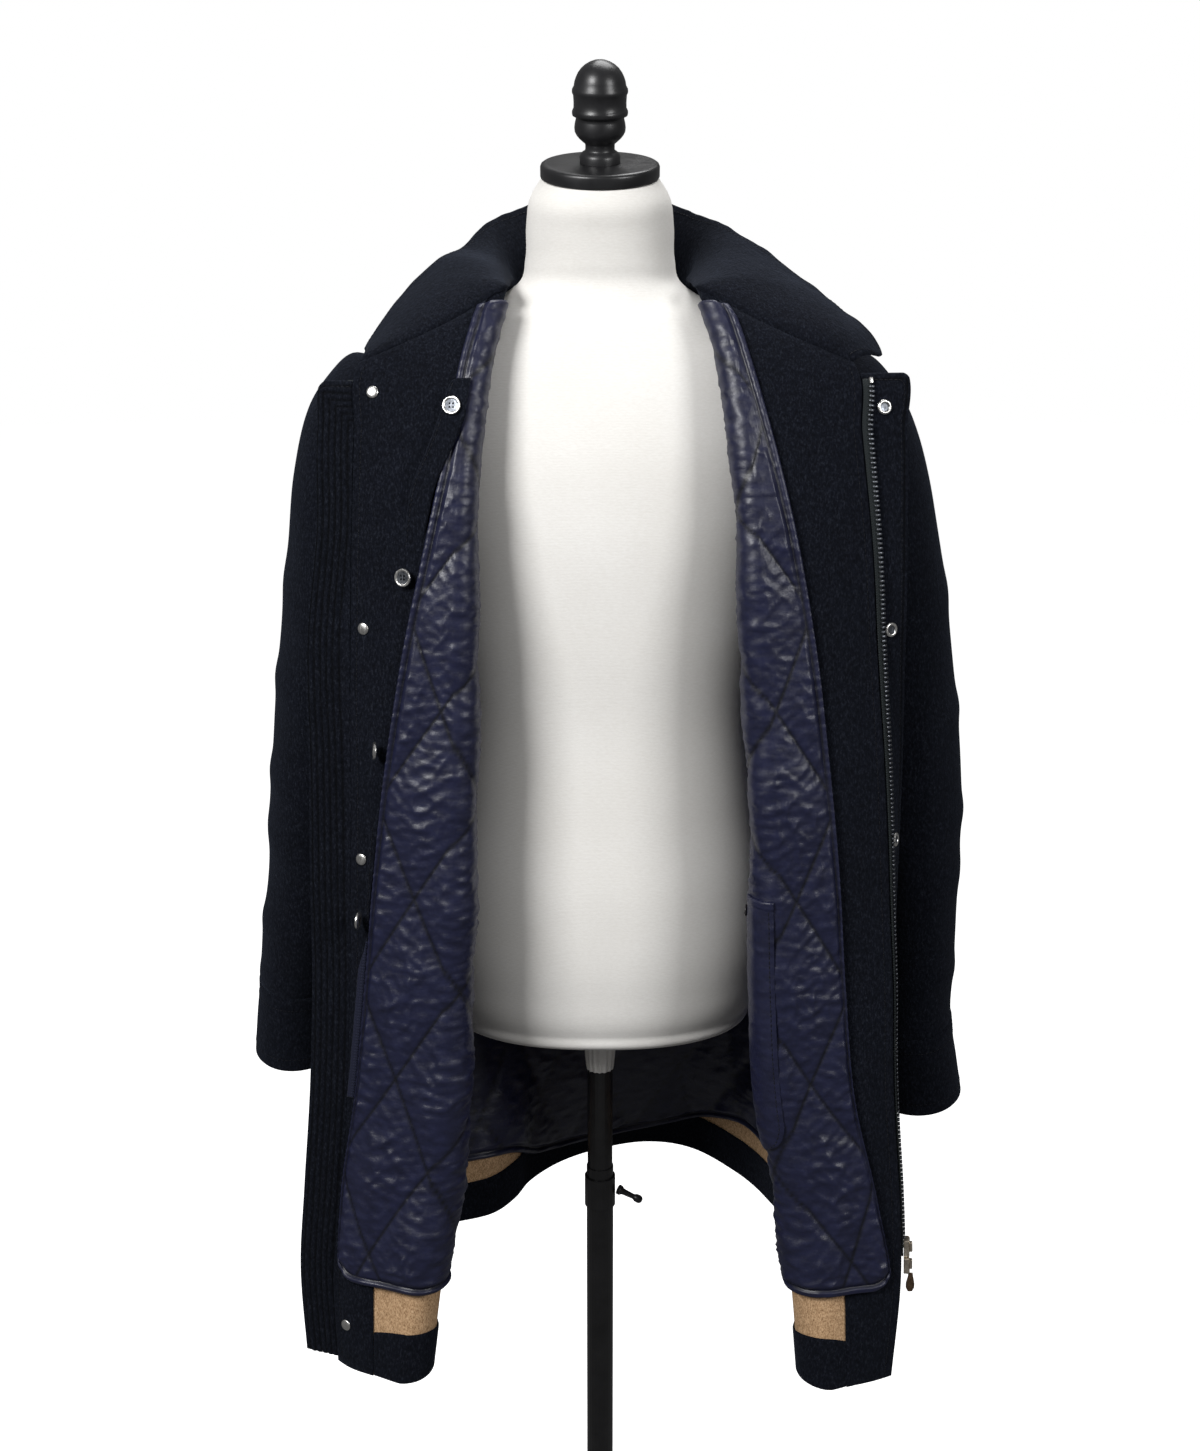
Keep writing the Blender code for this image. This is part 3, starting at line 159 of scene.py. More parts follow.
# A front by height: its fold and the fold's radius, the zip edge, the flap's edge, the liner's
# piped edge and the facing's inner edge, with x measured outwards.
FRONT_NAMES = "fold_x fold_y roll edge_x edge_y flap_x flap_y pipe_x facing_x"
FRONT = {
    Side.RIGHT: Table(FRONT_NAMES, (
        (1.402, 0.080, -0.070, 0.006, 0.130, -0.060, 0.150, -0.056, 0.097, 0.091),
        (1.370, 0.088, -0.090, 0.007, 0.175, -0.085, 0.200, -0.078, 0.107, 0.101),
        (1.335, 0.096, -0.108, 0.008, 0.203, -0.103, 0.231, -0.094, 0.117, 0.110),
        (1.280, 0.104, -0.127, 0.009, 0.206, -0.118, 0.239, -0.109, 0.126, 0.119),
        (1.200, 0.109, -0.144, 0.010, 0.209, -0.130, 0.241, -0.121, 0.143, 0.130),
        (1.100, 0.111, -0.153, 0.011, 0.213, -0.136, 0.253, -0.128, 0.165, 0.148),
        (1.000, 0.112, -0.160, 0.012, 0.215, -0.142, 0.254, -0.136, 0.182, 0.162),
        (0.900, 0.117, -0.166, 0.013, 0.218, -0.149, 0.256, -0.143, 0.195, 0.175),
        (0.800, 0.121, -0.172, 0.014, 0.221, -0.156, 0.257, -0.149, 0.205, 0.186),
        (0.700, 0.124, -0.178, 0.016, 0.226, -0.163, 0.262, -0.156, 0.216, 0.194),
        (0.600, 0.134, -0.185, 0.018, 0.233, -0.171, 0.270, -0.163, 0.231, 0.200),
        (0.520, 0.146, -0.192, 0.021, 0.243, -0.179, 0.276, -0.169, 0.235, 0.204),
        (0.434, 0.157, -0.198, 0.024, 0.240, -0.187, 0.272, -0.176, 0.224, 0.205),
    )),
    Side.LEFT: Table(FRONT_NAMES, (
        (1.402, 0.082, -0.070, 0.006, 0.136, -0.060, 0.166, -0.056, 0.099, 0.093),
        (1.370, 0.095, -0.090, 0.007, 0.184, -0.085, 0.223, -0.078, 0.115, 0.108),
        (1.335, 0.104, -0.108, 0.008, 0.214, -0.105, 0.257, -0.097, 0.127, 0.118),
        (1.280, 0.113, -0.127, 0.009, 0.219, -0.120, 0.260, -0.110, 0.143, 0.128),
        (1.200, 0.121, -0.144, 0.010, 0.228, -0.133, 0.262, -0.122, 0.163, 0.146),
        (1.100, 0.126, -0.153, 0.011, 0.236, -0.140, 0.264, -0.123, 0.182, 0.160),
        (1.000, 0.134, -0.161, 0.012, 0.245, -0.147, 0.266, -0.121, 0.195, 0.174),
        (0.900, 0.141, -0.167, 0.013, 0.251, -0.155, 0.265, -0.122, 0.206, 0.186),
        (0.800, 0.144, -0.174, 0.014, 0.257, -0.165, 0.265, -0.130, 0.214, 0.196),
        (0.700, 0.150, -0.180, 0.016, 0.260, -0.176, 0.266, -0.141, 0.224, 0.206),
        (0.600, 0.166, -0.188, 0.018, 0.268, -0.188, 0.274, -0.153, 0.247, 0.214),
        (0.520, 0.176, -0.196, 0.021, 0.271, -0.199, 0.277, -0.164, 0.261, 0.220),
        (0.434, 0.184, -0.206, 0.025, 0.264, -0.212, 0.272, -0.178, 0.246, 0.222),
    )),
}

# How far back the back's centre lies, by height.
BACK_DEPTH = Table("y", (
    (1.402, 0.076),
    (1.385, 0.086),
    (1.362, 0.098),
    (1.335, 0.111),
    (1.295, 0.124),
    (1.207, 0.136),
    (1.080, 0.140),
    (0.860, 0.146),
    (0.434, 0.160),
))

# The back's hem in plan, by its share of the way from the wearer's right side seam to the left one.
BACK_HEM = Table("x y", (
    (0.00, -0.230, 0.012),
    (0.05, -0.219, 0.032),
    (0.11, -0.192, 0.043),
    (0.20, -0.150, 0.044),
    (0.28, -0.114, 0.052),
    (0.35, -0.094, 0.074),
    (0.43, -0.078, 0.108),
    (0.51, -0.046, 0.148),
    (0.60, 0.000, 0.182),
    (0.68, 0.052, 0.206),
    (0.77, 0.104, 0.200),
    (0.85, 0.144, 0.166),
    (0.92, 0.176, 0.118),
    (0.96, 0.198, 0.066),
    (1.00, 0.230, 0.012),
))

# The collar by its share of the way from the centre back to its front end: the middle of its roll
# and its free edge.
COLLAR_NAMES = "mid_x mid_y mid_z top_x top_y top_z"
COLLAR_ROLL = {
    Side.RIGHT: Table(COLLAR_NAMES, (
        (0.00, 0.000, 0.098, 1.432, 0.000, 0.116, 1.474),
        (0.12, 0.045, 0.090, 1.433, 0.050, 0.106, 1.473),
        (0.25, 0.085, 0.050, 1.428, 0.098, 0.062, 1.453),
        (0.38, 0.098, 0.008, 1.421, 0.122, 0.030, 1.430),
        (0.55, 0.110, -0.040, 1.413, 0.145, 0.000, 1.416),
        (0.75, 0.152, -0.066, 1.384, 0.176, -0.018, 1.384),
        (0.90, 0.182, -0.080, 1.357, 0.195, -0.032, 1.357),
        (1.00, 0.199, -0.084, 1.343, 0.206, -0.044, 1.340),
    )),
    Side.LEFT: Table(COLLAR_NAMES, (
        (0.00, 0.000, 0.098, 1.432, 0.000, 0.116, 1.474),
        (0.12, 0.045, 0.090, 1.433, 0.050, 0.106, 1.473),
        (0.25, 0.085, 0.048, 1.430, 0.098, 0.058, 1.456),
        (0.38, 0.102, 0.004, 1.424, 0.128, 0.022, 1.438),
        (0.55, 0.125, -0.040, 1.412, 0.165, -0.008, 1.411),
        (0.75, 0.170, -0.068, 1.386, 0.206, -0.038, 1.378),
        (0.90, 0.210, -0.088, 1.358, 0.232, -0.055, 1.357),
        (1.00, 0.229, -0.090, 1.341, 0.247, -0.058, 1.334),
    )),
}

# A sleeve's rings from the armhole down: the point furthest out, the one nearest the body, the
# half width from front to back and the middle's y. The last two gaps are the cuff's.
RING_NAMES = "out_x out_z in_x in_z half_wide y"
SLEEVE = {
    Side.RIGHT: Table(RING_NAMES, (
        (0, 0.2004, 1.335, 0.2054, 1.080, 0.065, 0.000),
        (1, 0.222, 1.339, 0.209, 1.066, 0.073, 0.000),
        (2, 0.242, 1.323, 0.216, 1.050, 0.079, 0.002),
        (3, 0.264, 1.290, 0.221, 1.028, 0.083, 0.004),
        (4, 0.279, 1.235, 0.226, 0.990, 0.084, 0.007),
        (5, 0.289, 1.165, 0.229, 0.945, 0.083, 0.011),
        (6, 0.302, 1.060, 0.233, 0.890, 0.081, 0.015),
        (7, 0.314, 0.955, 0.238, 0.830, 0.078, 0.018),
        (8, 0.323, 0.855, 0.245, 0.781, 0.073, 0.021),
        (9, 0.331, 0.786, 0.252, 0.747, 0.068, 0.023),
        (10, 0.337, 0.731, 0.257, 0.725, 0.063, 0.025),
        (11, 0.342, 0.692, 0.260, 0.688, 0.062, 0.026),
        (12, 0.346, 0.654, 0.263, 0.650, 0.062, 0.027),
    )),
    Side.LEFT: Table(RING_NAMES, (
        (0, 0.2004, 1.335, 0.2054, 1.080, 0.065, 0.000),
        (1, 0.231, 1.341, 0.209, 1.066, 0.073, 0.000),
        (2, 0.255, 1.327, 0.216, 1.050, 0.079, 0.000),
        (3, 0.280, 1.288, 0.222, 1.026, 0.083, 0.000),
        (4, 0.298, 1.235, 0.228, 0.985, 0.084, 0.000),
        (5, 0.312, 1.165, 0.234, 0.935, 0.083, -0.002),
        (6, 0.329, 1.060, 0.243, 0.875, 0.081, -0.004),
        (7, 0.341, 0.955, 0.252, 0.815, 0.078, -0.006),
        (8, 0.344, 0.856, 0.259, 0.761, 0.073, -0.008),
        (9, 0.344, 0.777, 0.262, 0.717, 0.068, -0.009),
        (10, 0.343, 0.708, 0.263, 0.696, 0.063, -0.010),
        (11, 0.350, 0.665, 0.266, 0.656, 0.062, -0.010),
        (12, 0.356, 0.627, 0.268, 0.619, 0.062, -0.010),
    )),
}

# The dress form's rings by height: half width, half depth, middle, and the neck's forward lean.
FORM_RINGS = Table("half_wide half_deep y lean", (
    (0.6900, 0.1100, 0.0720, 0.010, 0.00),
    (0.6960, 0.1340, 0.0930, 0.010, 0.00),
    (0.7140, 0.1480, 0.1050, 0.010, 0.00),
    (0.7600, 0.1590, 0.1140, 0.009, 0.00),
    (0.8400, 0.1610, 0.1150, 0.008, 0.00),
    (0.9300, 0.1500, 0.1070, 0.007, 0.00),
    (1.0100, 0.1440, 0.1030, 0.006, 0.00),
    (1.1000, 0.1550, 0.1110, 0.006, 0.00),
    (1.2000, 0.1710, 0.1170, 0.006, 0.00),
    (1.2600, 0.1810, 0.1130, 0.006, 0.00),
    (1.3000, 0.1850, 0.1040, 0.006, 0.00),
    (1.3250, 0.1840, 0.0970, 0.006, 0.00),
    (1.3406, 0.1765, 0.0910, 0.005, 0.00),
    (1.3556, 0.1497, 0.0850, 0.004, 0.00),
    (1.3706, 0.1228, 0.0780, 0.003, 0.00),
    (1.3856, 0.0940, 0.0690, 0.002, 0.00),
    (1.4000, 0.0725, 0.0620, -0.001, 0.00),
    (1.4200, 0.0660, 0.0600, -0.007, 0.06),
    (1.4500, 0.0645, 0.0600, -0.015, 0.12),
    (1.4740, 0.0600, 0.0570, -0.024, 0.20),
    (1.4885, 0.0500, 0.0485, -0.030, 0.2493),
))


class Noise:
    """Smooth random hills over a plane, the same at each run."""

    def __init__(self, seed: int) -> None:
        """Draws the slopes of the hills from a seed."""
        self.angles = np.random.default_rng(seed).uniform(0, 2 * math.pi, (256, 256))

    def at(self, u: Grid, v: Grid) -> Grid:
        """The height at places counted in hills, from about -1 to 1."""
        u, v = spread(u, v)
        i, j = np.floor(u).astype(int), np.floor(v).astype(int)
        x, y = u - i, v - j
        sx, sy = (t**3 * (t * (6 * t - 15) + 10) for t in (x, y))

        def corner(a: int, b: int) -> Grid:
            """The slope of one corner's hill, carried to the place."""
            angle = self.angles[(i + a) % 256, (j + b) % 256]
            return np.cos(angle) * (x - a) + np.sin(angle) * (y - b)

        low = corner(0, 0) * (1 - sx) + corner(1, 0) * sx
        high = corner(0, 1) * (1 - sx) + corner(1, 1) * sx
        return 1.5 * (low * (1 - sy) + high * sy)

    def ridges(self, u: Grid, v: Grid, sharp: float = 2.0) -> Grid:
        """Narrow crests where the hills cross zero, from 0 to 1."""
        return np.clip(1 - np.abs(self.at(u, v)) * 1.6, 0, 1) ** sharp


@dataclass(frozen=True)
class Crease:
    """A soft fold between two points of the front or back view; depth is how far it stands up."""

    x1: float
    z1: float
    x2: float
    z2: float
    width: float
    depth: float
    behind: bool = False

    def height(self, x: Grid, z: Grid) -> Grid:
        """How far the cloth stands up at places in that view."""
        run = np.array((self.x2 - self.x1, self.z2 - self.z1))
        long = float(np.hypot(*run)) or 1e-9
        along = ((x - self.x1) * run[0] + (z - self.z1) * run[1]) / long
        beside = ((x - self.x1) * run[1] - (z - self.z1) * run[0]) / long
        past = np.maximum(np.maximum(-along, along - long), 0) / (0.35 * long + 2 * self.width)
        return self.depth * np.exp(-((beside / self.width) ** 2) - past**2 * 4)


def armhole(z: Grid) -> Grid:
    """Half the armhole's width at a height, 0 above and below it."""
    middle = (SHOULDER_Z + UNDERARM_Z) / 2
    share = (z - middle) / (SHOULDER_Z - middle)
    return ARMHOLE_HALF_WIDE * np.sqrt(np.maximum(0.0, 1 - share * share))


def skirt(z: Grid) -> Grid:
    """How far a section has turned from the body's oval into the hem's folds."""
    return ease((SKIRT_FROM_Z - z) / (SKIRT_FROM_Z - HEM_Z))


def seam(z: Grid) -> tuple[Grid, Grid]:
    """The distance out and the y of the shoulder, armhole and side seam."""
    x = np.interp(z, (HEM_Z, UNDERARM_Z, SHOULDER_Z, NECK_SIDE_Z), (0.230, 0.205, 0.200, 0.080))
    return x, HEM_SIDE_Y * skirt(z)


def front_top(w: Grid) -> Grid:
    """The height of a front's neck seam."""
    return np.interp(w, (0, 1, 1.2, 1.35, 1.5, 2), (1.402, 1.397, 1.393, 1.388, 1.384, 1.337))


def back_top(share: Grid) -> Grid:
    """The height of the back's neck seam."""
    return NECK_SIDE_Z - NECK_BACK_DROP * np.sin(np.pi * np.clip(share, 0, 1))


def back_hem(share: Grid) -> Grid:
    """The height of the back's hem."""
    return HEM_Z + BACK_HEM_LIFT * np.sin(np.pi * np.clip(share, 0, 1)) ** 2


def pair(x: Grid, y: Grid) -> Grid:
    """Two arrays as one of points in plan."""
    return np.stack(np.broadcast_arrays(x, y), axis=-1)


def spread(*numbers: Grid | float) -> list[Grid]:
    """Arrays of one shape from numbers that go with each other."""
    return np.broadcast_arrays(*(np.asarray(each, float) for each in numbers))


def unit(ways: Grid) -> Grid:
    """Ways made one metre long."""
    return ways / np.maximum(np.linalg.norm(ways, axis=-1, keepdims=True), 1e-12)


class Panel:
    """A cloth surface over a height and a column, with the way to its inner face."""

    turn: float = 1.0
    creases: tuple[Crease, ...] = ()
    softness: float = 0.0

    def point(self, z: Grid, w: Grid) -> Grid:
        """The smooth outer face, before its folds."""
        raise NotImplementedError

    def settle(self, way: Grid, z: Grid, w: Grid) -> Grid:
        """Turns the inward ways where a seam asks for it."""
        return way

    def towards_viewer(self, way: Grid, w: Grid) -> Grid:
        """1 where raised cloth moves inwards, -1 where it moves outwards."""
        return -np.ones(way.shape[:-1])

    def inward(self, z: Grid, w: Grid) -> Grid:
        """The unit way from the outer face to the inner one."""
        step = 1e-3
        across = self.point(z, w + step) - self.point(z, w - step)
        up = self.point(z + step, w) - self.point(z - step, w)
        return unit(self.settle(unit(np.cross(across, up)) * self.turn, z, w))

    def at(self, z: Grid, w: Grid, depth: Grid | float = 0.0) -> Grid:
        """Points at a depth inwards from the outer face, with the panel's own folds.

        Args:
            z: heights, in any shape that goes with the columns.
            w: columns.
            depth: how far inwards, in metres.

        Returns:
            The points, with one more axis than the heights.
        """
        z, w, depth = spread(z, w, depth)
        point, way = self.point(z, w), self.inward(z, w)
        return point + (depth + self.folds(point, way, w))[..., None] * way

    def folds(self, point: Grid, way: Grid, w: Grid) -> Grid:
        """How far the listed creases and the cloth's own softness move it inwards."""
        x, z = point[..., 0], point[..., 2]
        raised = np.zeros(x.shape)
        behind = way[..., 1] * self.towards_viewer(way, w) > 0
        for crease in self.creases:
            raised += np.where(behind == crease.behind, crease.height(x, z), 0.0)
        if self.softness:
            raised += self.softness * SOFT.at(x / 0.075 + 9, z / 0.11) * self.free(z, w)
        return raised * self.towards_viewer(way, w)

    def free(self, z: Grid, w: Grid) -> Grid:
        """How free the cloth is to move, from 0 beside a seam to 1."""
        return np.ones(np.shape(z))


SOFT = Noise(11)


class FrontPanel(Panel):
    """A front: w is 0 at the side seam, 1 on the fold, 2 at the zip edge and 3 at the flap's."""

    def __init__(self, side: Side, creases: Sequence[Crease] = ()) -> None:
        """Takes the wearer's side and the given creases."""
        self.side = side
        self.creases = tuple(creases)
        self.softness = 0.0011
        self.turn = 1.0
        if self.inward(np.array(1.0), np.array(0.3))[0] * side.value > 0:
            self.turn = -1.0

    def marks(self, z: Grid) -> dict[str, Grid]:
        """The table's row at each height, with the end of the roll."""
        row = FRONT[self.side].read(z)
        row["after_x"] = row["fold_x"] + row["roll"]
        return row

    def point(self, z: Grid, w: Grid) -> Grid:
        """The front's outer face."""
        z, w = spread(z, w)
        row = self.marks(z)
        seam_x, seam_y = seam(z)
        start = pair(seam_x, seam_y - armhole(z) - SEAM_GAP / 2)
        middle = pair(row["after_x"], row["fold_y"])
        turn = math.pi / 2 * (1 + ease((z - 1.335) / 0.055))
        roll = row["roll"][..., None]
        before = middle + roll * pair(np.cos(turn), np.sin(turn))
        heading = pair(np.sin(turn), -np.cos(turn))
        reach = np.abs(np.sum((start - before) * heading, axis=-1))
        forward = start - pair(0 * z, 0.5 * (start[..., 1] - before[..., 1]))
        inner = before + 0.55 * reach[..., None] * heading
        t = (w / 0.8)[..., None]
        under = (1 - t) ** 3 * start + 3 * (1 - t) ** 2 * t * forward
        under = under + 3 * (1 - t) * t**2 * inner + t**3 * before
        angle = turn + (1.5 * math.pi - turn) * np.clip((w - 0.8) / 0.4, 0, 1)
        rolled = middle + roll * pair(np.cos(angle), np.sin(angle))
        x = row["after_x"] + (row["facing_x"] - row["after_x"]) * np.clip((w - 1.2) / 0.15, 0, 1)
        x = x + (row["pipe_x"] - row["facing_x"]) * np.clip((w - 1.35) / 0.15, 0, 1)
        x = x + (row["edge_x"] - row["pipe_x"]) * np.clip((w - 1.5) / 0.5, 0, 1)
        share = (x - row["after_x"]) / (row["edge_x"] - row["after_x"])
        after_y = row["fold_y"] - row["roll"]
        turned = pair(x, after_y + (row["edge_y"] - after_y) * (0.6 * share + 0.4 * share**2))
        edge = pair(row["edge_x"], row["edge_y"])
        beyond = edge + (w - 2)[..., None] * (pair(row["flap_x"], row["flap_y"]) - edge)
        w = w[..., None]
        flat = np.where(w <= 0.8, under, np.where(w <= 1.2, rolled, np.where(w <= 2, turned, beyond)))
        return np.concatenate((flat[..., :1] * self.side.value, flat[..., 1:], z[..., None]), axis=-1)

    def settle(self, way: Grid, z: Grid, w: Grid) -> Grid:
        """Levels the ways at the side and neck seams, so that neighbours meet edge to edge."""
        way = way.copy()
        way[..., 1] *= ease(w / 0.13)
        way[..., 2] *= ease((front_top(w) - z) / 0.017)
        return way

    def towards_viewer(self, way: Grid, w: Grid) -> Grid:
        """Raised cloth moves inwards on the turned layer and outwards before the fold."""
        return 2 * ease((np.broadcast_to(w, way.shape[:-1]) - 0.85) / 0.3) - 1

    def free(self, z: Grid, w: Grid) -> Grid:
        """Still at the shoulder and where the liner lies on the form."""
        return ease((1.34 - z) / 0.2) * ease((w - 0.75) / 0.4)

    def column(self, z: Grid, x: Grid) -> Grid:
        """The column of the turned layer at a distance out from the middle."""
        row = self.marks(z)
        x = np.asarray(x, float)
        w = 1.2 + 0.15 * np.clip((x - row["after_x"]) / (row["facing_x"] - row["after_x"]), 0, 1)
        w = w + 0.15 * np.clip((x - row["facing_x"]) / (row["pipe_x"] - row["facing_x"]), 0, 1)
        w = w + 0.5 * np.clip((x - row["pipe_x"]) / (row["edge_x"] - row["pipe_x"]), 0, 1)
        return w


class BackPanel(Panel):
    """The back: its column runs from the wearer's right seam at 0 to the left one at 1."""

    def __init__(self, creases: Sequence[Crease] = ()) -> None:
        """Takes the given creases."""
        self.creases = tuple(creases)
        self.softness = 0.0018
        if self.inward(np.array(1.0), np.array(0.5))[1] > 0:
            self.turn = -1.0

    def point(self, z: Grid, w: Grid) -> Grid:
        """The back's outer face."""
        z, w = spread(z, w)
        angle = np.pi * (w - 0.5)
        hole = armhole(z)
        seam_x, _ = seam(z)
        depth = BACK_DEPTH.read(z)["y"]
        across = np.sign(angle) * np.abs(np.sin(angle)) ** 0.9
        oval = pair(seam_x * across, hole + (depth - hole) * np.maximum(np.cos(angle), 0) ** 0.8)
        hem = BACK_HEM.read(w)
        turned = skirt(z)[..., None]
        flat = (1 - turned) * oval + turned * pair(hem["x"], hem["y"])
        return np.concatenate((flat + (0, SEAM_GAP / 2), z[..., None]), axis=-1)

    def settle(self, way: Grid, z: Grid, w: Grid) -> Grid:
        """Levels the ways at the side and neck seams."""
        way = way.copy()
        way[..., 1] *= ease(np.minimum(w, 1 - w) / 0.05)
        way[..., 2] *= ease((back_top(w) - z) / 0.017)
        return way

    def free(self, z: Grid, w: Grid) -> Grid:
        """Still over the shoulders and at the seams."""
        return ease((1.15 - z) / 0.25) * ease(np.minimum(w, 1 - w) / 0.08)


class SleevePanel(Panel):
    """A sleeve: its first number is the ring, counted down the arm, and its column the angle round it."""

    def __init__(self, side: Side, creases: Sequence[Crease] = ()) -> None:
        """Takes the wearer's side and the given creases."""
        self.side = side
        self.creases = tuple(creases)
        self.softness = 0.0022
        here = self.inward(np.array(5.0), np.array(0.0))
        if np.dot(here, self.centre(np.array(5.0)) - self.point(np.array(5.0), np.array(0.0))) < 0:
            self.turn = -1.0

    def centre(self, z: Grid) -> Grid:
        """The middle of a ring."""
        row = SLEEVE[self.side].read(z)
        x = self.side.value * (row["out_x"] + row["in_x"]) / 2
        return np.stack((x, row["y"], (row["out_z"] + row["in_z"]) / 2), axis=-1)

    def point(self, z: Grid, w: Grid) -> Grid:
        """The sleeve's outer face."""
        z, w = spread(z, w)
        row = SLEEVE[self.side].read(z)
        x = (row["out_x"] + row["in_x"]) / 2 + (row["out_x"] - row["in_x"]) / 2 * np.sin(w)
        y = row["y"] - row["half_wide"] * np.cos(w)
        tall = (row["out_z"] + row["in_z"]) / 2 + (row["out_z"] - row["in_z"]) / 2 * np.sin(w)
        return np.stack((self.side.value * x, y, tall), axis=-1)

    def settle(self, way: Grid, z: Grid, w: Grid) -> Grid:
        """Turns the ways into the armhole's plane at the top."""
        way = way.copy()
        way[..., 0] *= ease(z / 0.6)
        return way

    def free(self, z: Grid, w: Grid) -> Grid:
        """Free below the shoulder."""
        return ease((1.30 - z) / 0.1)


def lengths(grid: Grid) -> tuple[Grid, Grid]:
    """How far each point of a grid is along its row and down its column."""
    across = np.linalg.norm(np.diff(grid, axis=1), axis=2)
    down = np.linalg.norm(np.diff(grid, axis=0), axis=2)
    u = np.concatenate((np.zeros((grid.shape[0], 1)), np.cumsum(across, axis=1)), axis=1)
    v = np.concatenate((np.zeros((1, grid.shape[1])), np.cumsum(down, axis=0)), axis=0)
    return u, v


def mesh_object(name: str, points: Grid, faces: Grid, uv: Grid | None = None) -> Piece:
    """A smooth-shaded object from points and faces of one size.

    Args:
        name: the piece's name.
        points: the points, by row.
        faces: the faces' corners, by row.
        uv: a place on the cloth for each corner, in the faces' order, in metres.

    Returns:
        The object, at the origin.
    """
    mesh = bpy.data.meshes.new(name)
    mesh.from_pydata(points.tolist(), [], faces.tolist())
    mesh.polygons.foreach_set("use_smooth", np.ones(len(mesh.polygons), bool))
    if uv is not None:
        mesh.uv_layers.new(name="UVMap").data.foreach_set("uv", uv.astype(np.float32).ravel())
    made = bpy.data.objects.new(name, mesh)
    bpy.context.scene.collection.objects.link(made)
    return made


def shell(
    name: str,
    near: Grid,
    far: Grid,
    finishes: Sequence[Finish],
    loop: bool = False,
    bulge: float = 0.4,
) -> Piece:
    """A closed thin wall between two grids of points, with rounded rims.

    Args:
        name: the piece's name.
        near: the outer face's points.
        far: the inner face's points, in the same rows and columns.
        finishes: the material of the outer face and the rims, then the inner face's if it differs.
        loop: whether the last column is joined to the first.
        bulge: how far the rims stand out, as a share of the wall's thickness.

    Returns:
        The wall's object.
    """
    rows, columns = near.shape[:2]
    wide = columns + 1 if loop else columns
    spots = np.arange(rows * wide).reshape(rows, wide)
    vertex = (spots // wide) * columns + (spots % wide) % columns
    quads = np.stack((spots[:-1, :-1], spots[:-1, 1:], spots[1:, 1:], spots[1:, :-1]), -1).reshape(-1, 4)
    middle = (near + far) / 2
    out = np.zeros(near.shape)
    out[0] += unit(middle[0] - middle[1])
    out[-1] += unit(middle[-1] - middle[-2])
    if loop:
        paths = [spots[0], spots[-1][::-1]]
        whole = np.concatenate((near, near[:, :1]), axis=1)
    else:
        out[:, 0] += unit(middle[:, 0] - middle[:, 1])
        out[:, -1] += unit(middle[:, -1] - middle[:, -2])
        path = np.concatenate((spots[0], spots[1:, -1], spots[-1, -2::-1], spots[-2:0:-1, 0], spots[:1, 0]))
        paths = [path]
        whole = near
    thick = np.linalg.norm(far - near, axis=2, keepdims=True)
    rim = (middle + unit(out) * thick * bulge).reshape(-1, 3)
    count = rows * columns
    u, v = lengths(whole)
    places = np.stack((u, v), axis=-1).reshape(-1, 2)
    points = [near.reshape(-1, 3), far.reshape(-1, 3)]
    flat = vertex.reshape(-1)
    faces = [flat[quads], flat[quads][:, ::-1] + count]
    corners = [places[quads], places[quads][:, ::-1]]
    marks = [np.zeros(len(quads), int), np.ones(len(quads), int)]
    start = 2 * count
    for path in paths:
        steps = len(path) - 1
        ring = start + np.arange(steps + 1) % steps
        points.append(rim[flat[path[:-1]]])
        a, b = path[:-1], path[1:]
        faces.append(np.stack((flat[b], flat[a], ring[:-1], ring[1:]), -1))
        faces.append(np.stack((ring[1:], ring[:-1], flat[a] + count, flat[b] + count), -1))
        spot = np.stack((places[b], places[a], places[a], places[b]), 1)
        corners += [spot, spot]
        marks += [np.zeros(steps, int), np.zeros(steps, int)]
        start += steps
    points, faces = np.concatenate(points), np.concatenate(faces)
    corners, marks = np.concatenate(corners), np.concatenate(marks)
    p = points[faces]
    volume = np.einsum("ij,ij->i", p[:, 0], np.cross(p[:, 1], p[:, 2]))
    volume = volume + np.einsum("ij,ij->i", p[:, 0], np.cross(p[:, 2], p[:, 3]))
    if volume.sum() < 0:
        faces, corners = faces[:, ::-1], corners[:, ::-1]
    made = mesh_object(name, points, faces, corners.reshape(-1, 2))
    for material in finishes:
        made.data.materials.append(material)
    if len(finishes) > 1:
        made.data.polygons.foreach_set("material_index", marks.astype(np.int32))
    made.data.update()
    return made


def mark_grooves(piece: Piece, depth: Grid) -> None:
    """Writes how deep in a sewn groove each point of a wall's inner face lies, from 0 to 1; the materials
    darken the colour there as painted shade.
    """
    values = np.zeros(len(piece.data.vertices), np.float32)
    values[depth.size : 2 * depth.size] = depth.ravel()
    piece.data.attributes.new("groove", "FLOAT", "POINT").data.foreach_set("value", values)


def plain_above(piece: Piece, height: float = 0.80) -> None:
    """Gives a wall's inner faces above a height its outer material, as where a yoke lines the neck."""
    faces = piece.data.polygons
    marks, middles = np.empty(len(faces), np.int32), np.empty(3 * len(faces))
    faces.foreach_get("material_index", marks)
    faces.foreach_get("center", middles)
    marks[middles[2::3] > height] = 0
    faces.foreach_set("material_index", marks)


